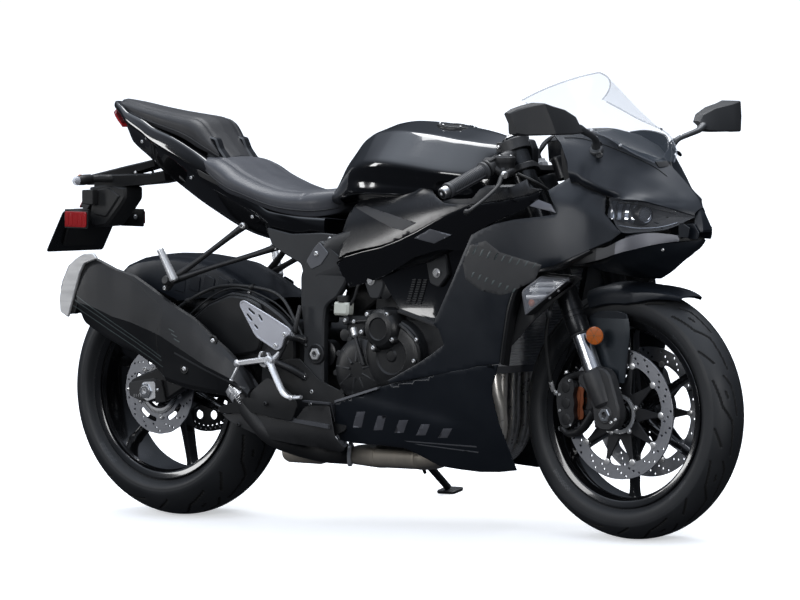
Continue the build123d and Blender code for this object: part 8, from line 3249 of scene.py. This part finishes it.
# inner panels of the cowl, outside the steering sweep
g = Geo()
for s in (-1, 1):
    rows = []
    for z, x0, x1 in ((850, 1266, 1304), (880, 1260, 1304), (915, 1256, 1298), (946, 1258, 1288)):
        rows.append([(x0, s * 98, z), (x1, s * 96, z), (x1, s * 92, z), (x0, s * 94, z)])
    g.add(grid(rows, ring=True, cap=True), 0)
piece("cowl_inner_panels", g, [TRIM], angle=30)


# ------------------------------------------------------------------ side stand
g = Geo()
SP, SF = Vector((560.0, 128.0, 250.0)), Vector((600.0, 318.0, 318.0 * math.tan(LEAN) + 8.0))
sd = (SF - SP).normalized()
sax = (SF - SP).cross(Vector((-265.0, 30.0, -62.0))).normalized()
# forked root on the pivot pin, leg that narrows, ribbed foot
g.add(spun(SP - sax * 13, SP + sax * 13, [(0, 9), (1, 15), (25, 15), (26, 9)], n=32), 0)
g.add(spun(SP - sax * 36, SP + sax * 12, [(0, 4), (1, 5.8), (46, 5.8), (48, 4)], n=20), 1)
g.add(spun(SP - sax * 17, SP - sax * 13.2, [(0, 8.6), (3.8, 8.6)], n=6), 1)
side = sax.cross(sd).normalized()
rows = []
for t, a, b in ((0.0, 13, 11), (.06, 13, 10.5), (.14, 11, 9), (.5, 9.6, 8.2), (.9, 9.0, 7.6), (.985, 9, 7.4)):
    c = SP + (SF - SP) * t
    rows.append([c + side * (a * math.copysign(abs(math.cos(q)) ** .7, math.cos(q)))
                 + sax * (b * math.copysign(abs(math.sin(q)) ** .7, math.sin(q)))
                 for q in [2 * math.pi * k / 24 for k in range(24)]])
g.add(grid(rows, ring=True, cap=True), 0)
c = SP + (SF - SP) * .16
g.add(cyl(c + side * 8, c + side * 19, 4.0, n=14, ch=.6), 1)
c2 = SP + (SF - SP) * .62
g.add(tube([c2 + side * 8, c2 + side * 22 + sd * 16, c2 + side * 30 + sd * 34], [5, 4.6, 4.2], 12, 6), 0)
GROUND_Z = (600.0 * math.tan(PITCH) - CROWN_R * (1 - math.cos(LEAN))) / math.cos(LEAN)
FOOT = rounded([(572, 300), (628, 300), (628, 345), (572, 345)], 10, 4)
g.add(slab(FOOT, 0.2, 8.6, bev=2.0,
           place=lambda a, b, h: (a, b, b * math.tan(LEAN) + GROUND_Z + h)), 0)
for k in range(4):
    x = 582 + k * 12
    g.add(slab(rounded([(x, 306), (x + 4, 306), (x + 4, 339), (x, 339)], 1.5, 2), 8.0, 9.6, bev=.5,
               place=lambda a, b, h: (a, b, b * math.tan(LEAN) + GROUND_Z + h)), 0)
piece("side_stand_forged", g, [CASTING, BOLT], body="side_stand",
      replaces="side_stand", angle=32)


# ------------------------------------------------------------------ remaining CAD nodes
def cad_material(mats):
    for node, m in mats.items():
        ob = frame["nodes"].get(node)
        if ob is None:
            continue
        for i in range(len(ob.material_slots)):
            ob.material_slots[i].material = m
        if not ob.material_slots:
            ob.data.materials.append(m)


cad_material(dict(
    front_tyre=RUBBER, front_rim=WHEEL, front_discs=DISC_F, rear_tyre=RUBBER, rear_rim=WHEEL,
    rear_disc=DISC_R, rear_sprocket=CHAIN, steering_yokes=BLACK_METAL, fork_legs=FORK,
    front_axle=STEEL, front_calipers=BLACK_METAL, front_fender=MATT, clip_on_bars=BLACK_METAL,
    hand_grips=GRIP, control_levers=BLACK_METAL, frame=FRAME_PAINT, subframe=FRAME_PAINT,
    swingarm=FRAME_PAINT, rear_axle=STEEL, shock_absorber=BLACK_METAL, drive_chain=CHAIN,
    rear_caliper=ALU, engine_block=ENGINE, engine_covers=ENGINE, radiator=FIN_LIGHTENED,
    exhaust_pipes=HEADER, silencer=SILENCER, fuel_tank=TANK_PAINT, rider_seat=SEAT_LIT_VINYL,
    pillion_seat=SEAT_LIT_VINYL, tail_cowl=GLOSS, tail_light=RED_LENS, plate_bracket=TRIM,
    number_plate=PLATE, rear_hugger=TRIM, side_fairings=MATT, side_covers=GLOSS,
    lower_cowls=MATT, upper_cowl=MATT, headlights=LENS, windscreen=SCREEN,
    mirrors=MIRROR_GREY, turn_signals=LENS_CLEAR, instrument_cluster=TRIM,
    rider_footrests=ALU, passenger_footrests=BLACK_METAL, foot_levers=ALU,
    side_stand=BLACK_METAL))

for _o in [o for o in frame["nodes"].values()]:
    _o.data.shade_smooth()
    _o.data.set_sharp_from_angle(angle=math.radians(30))
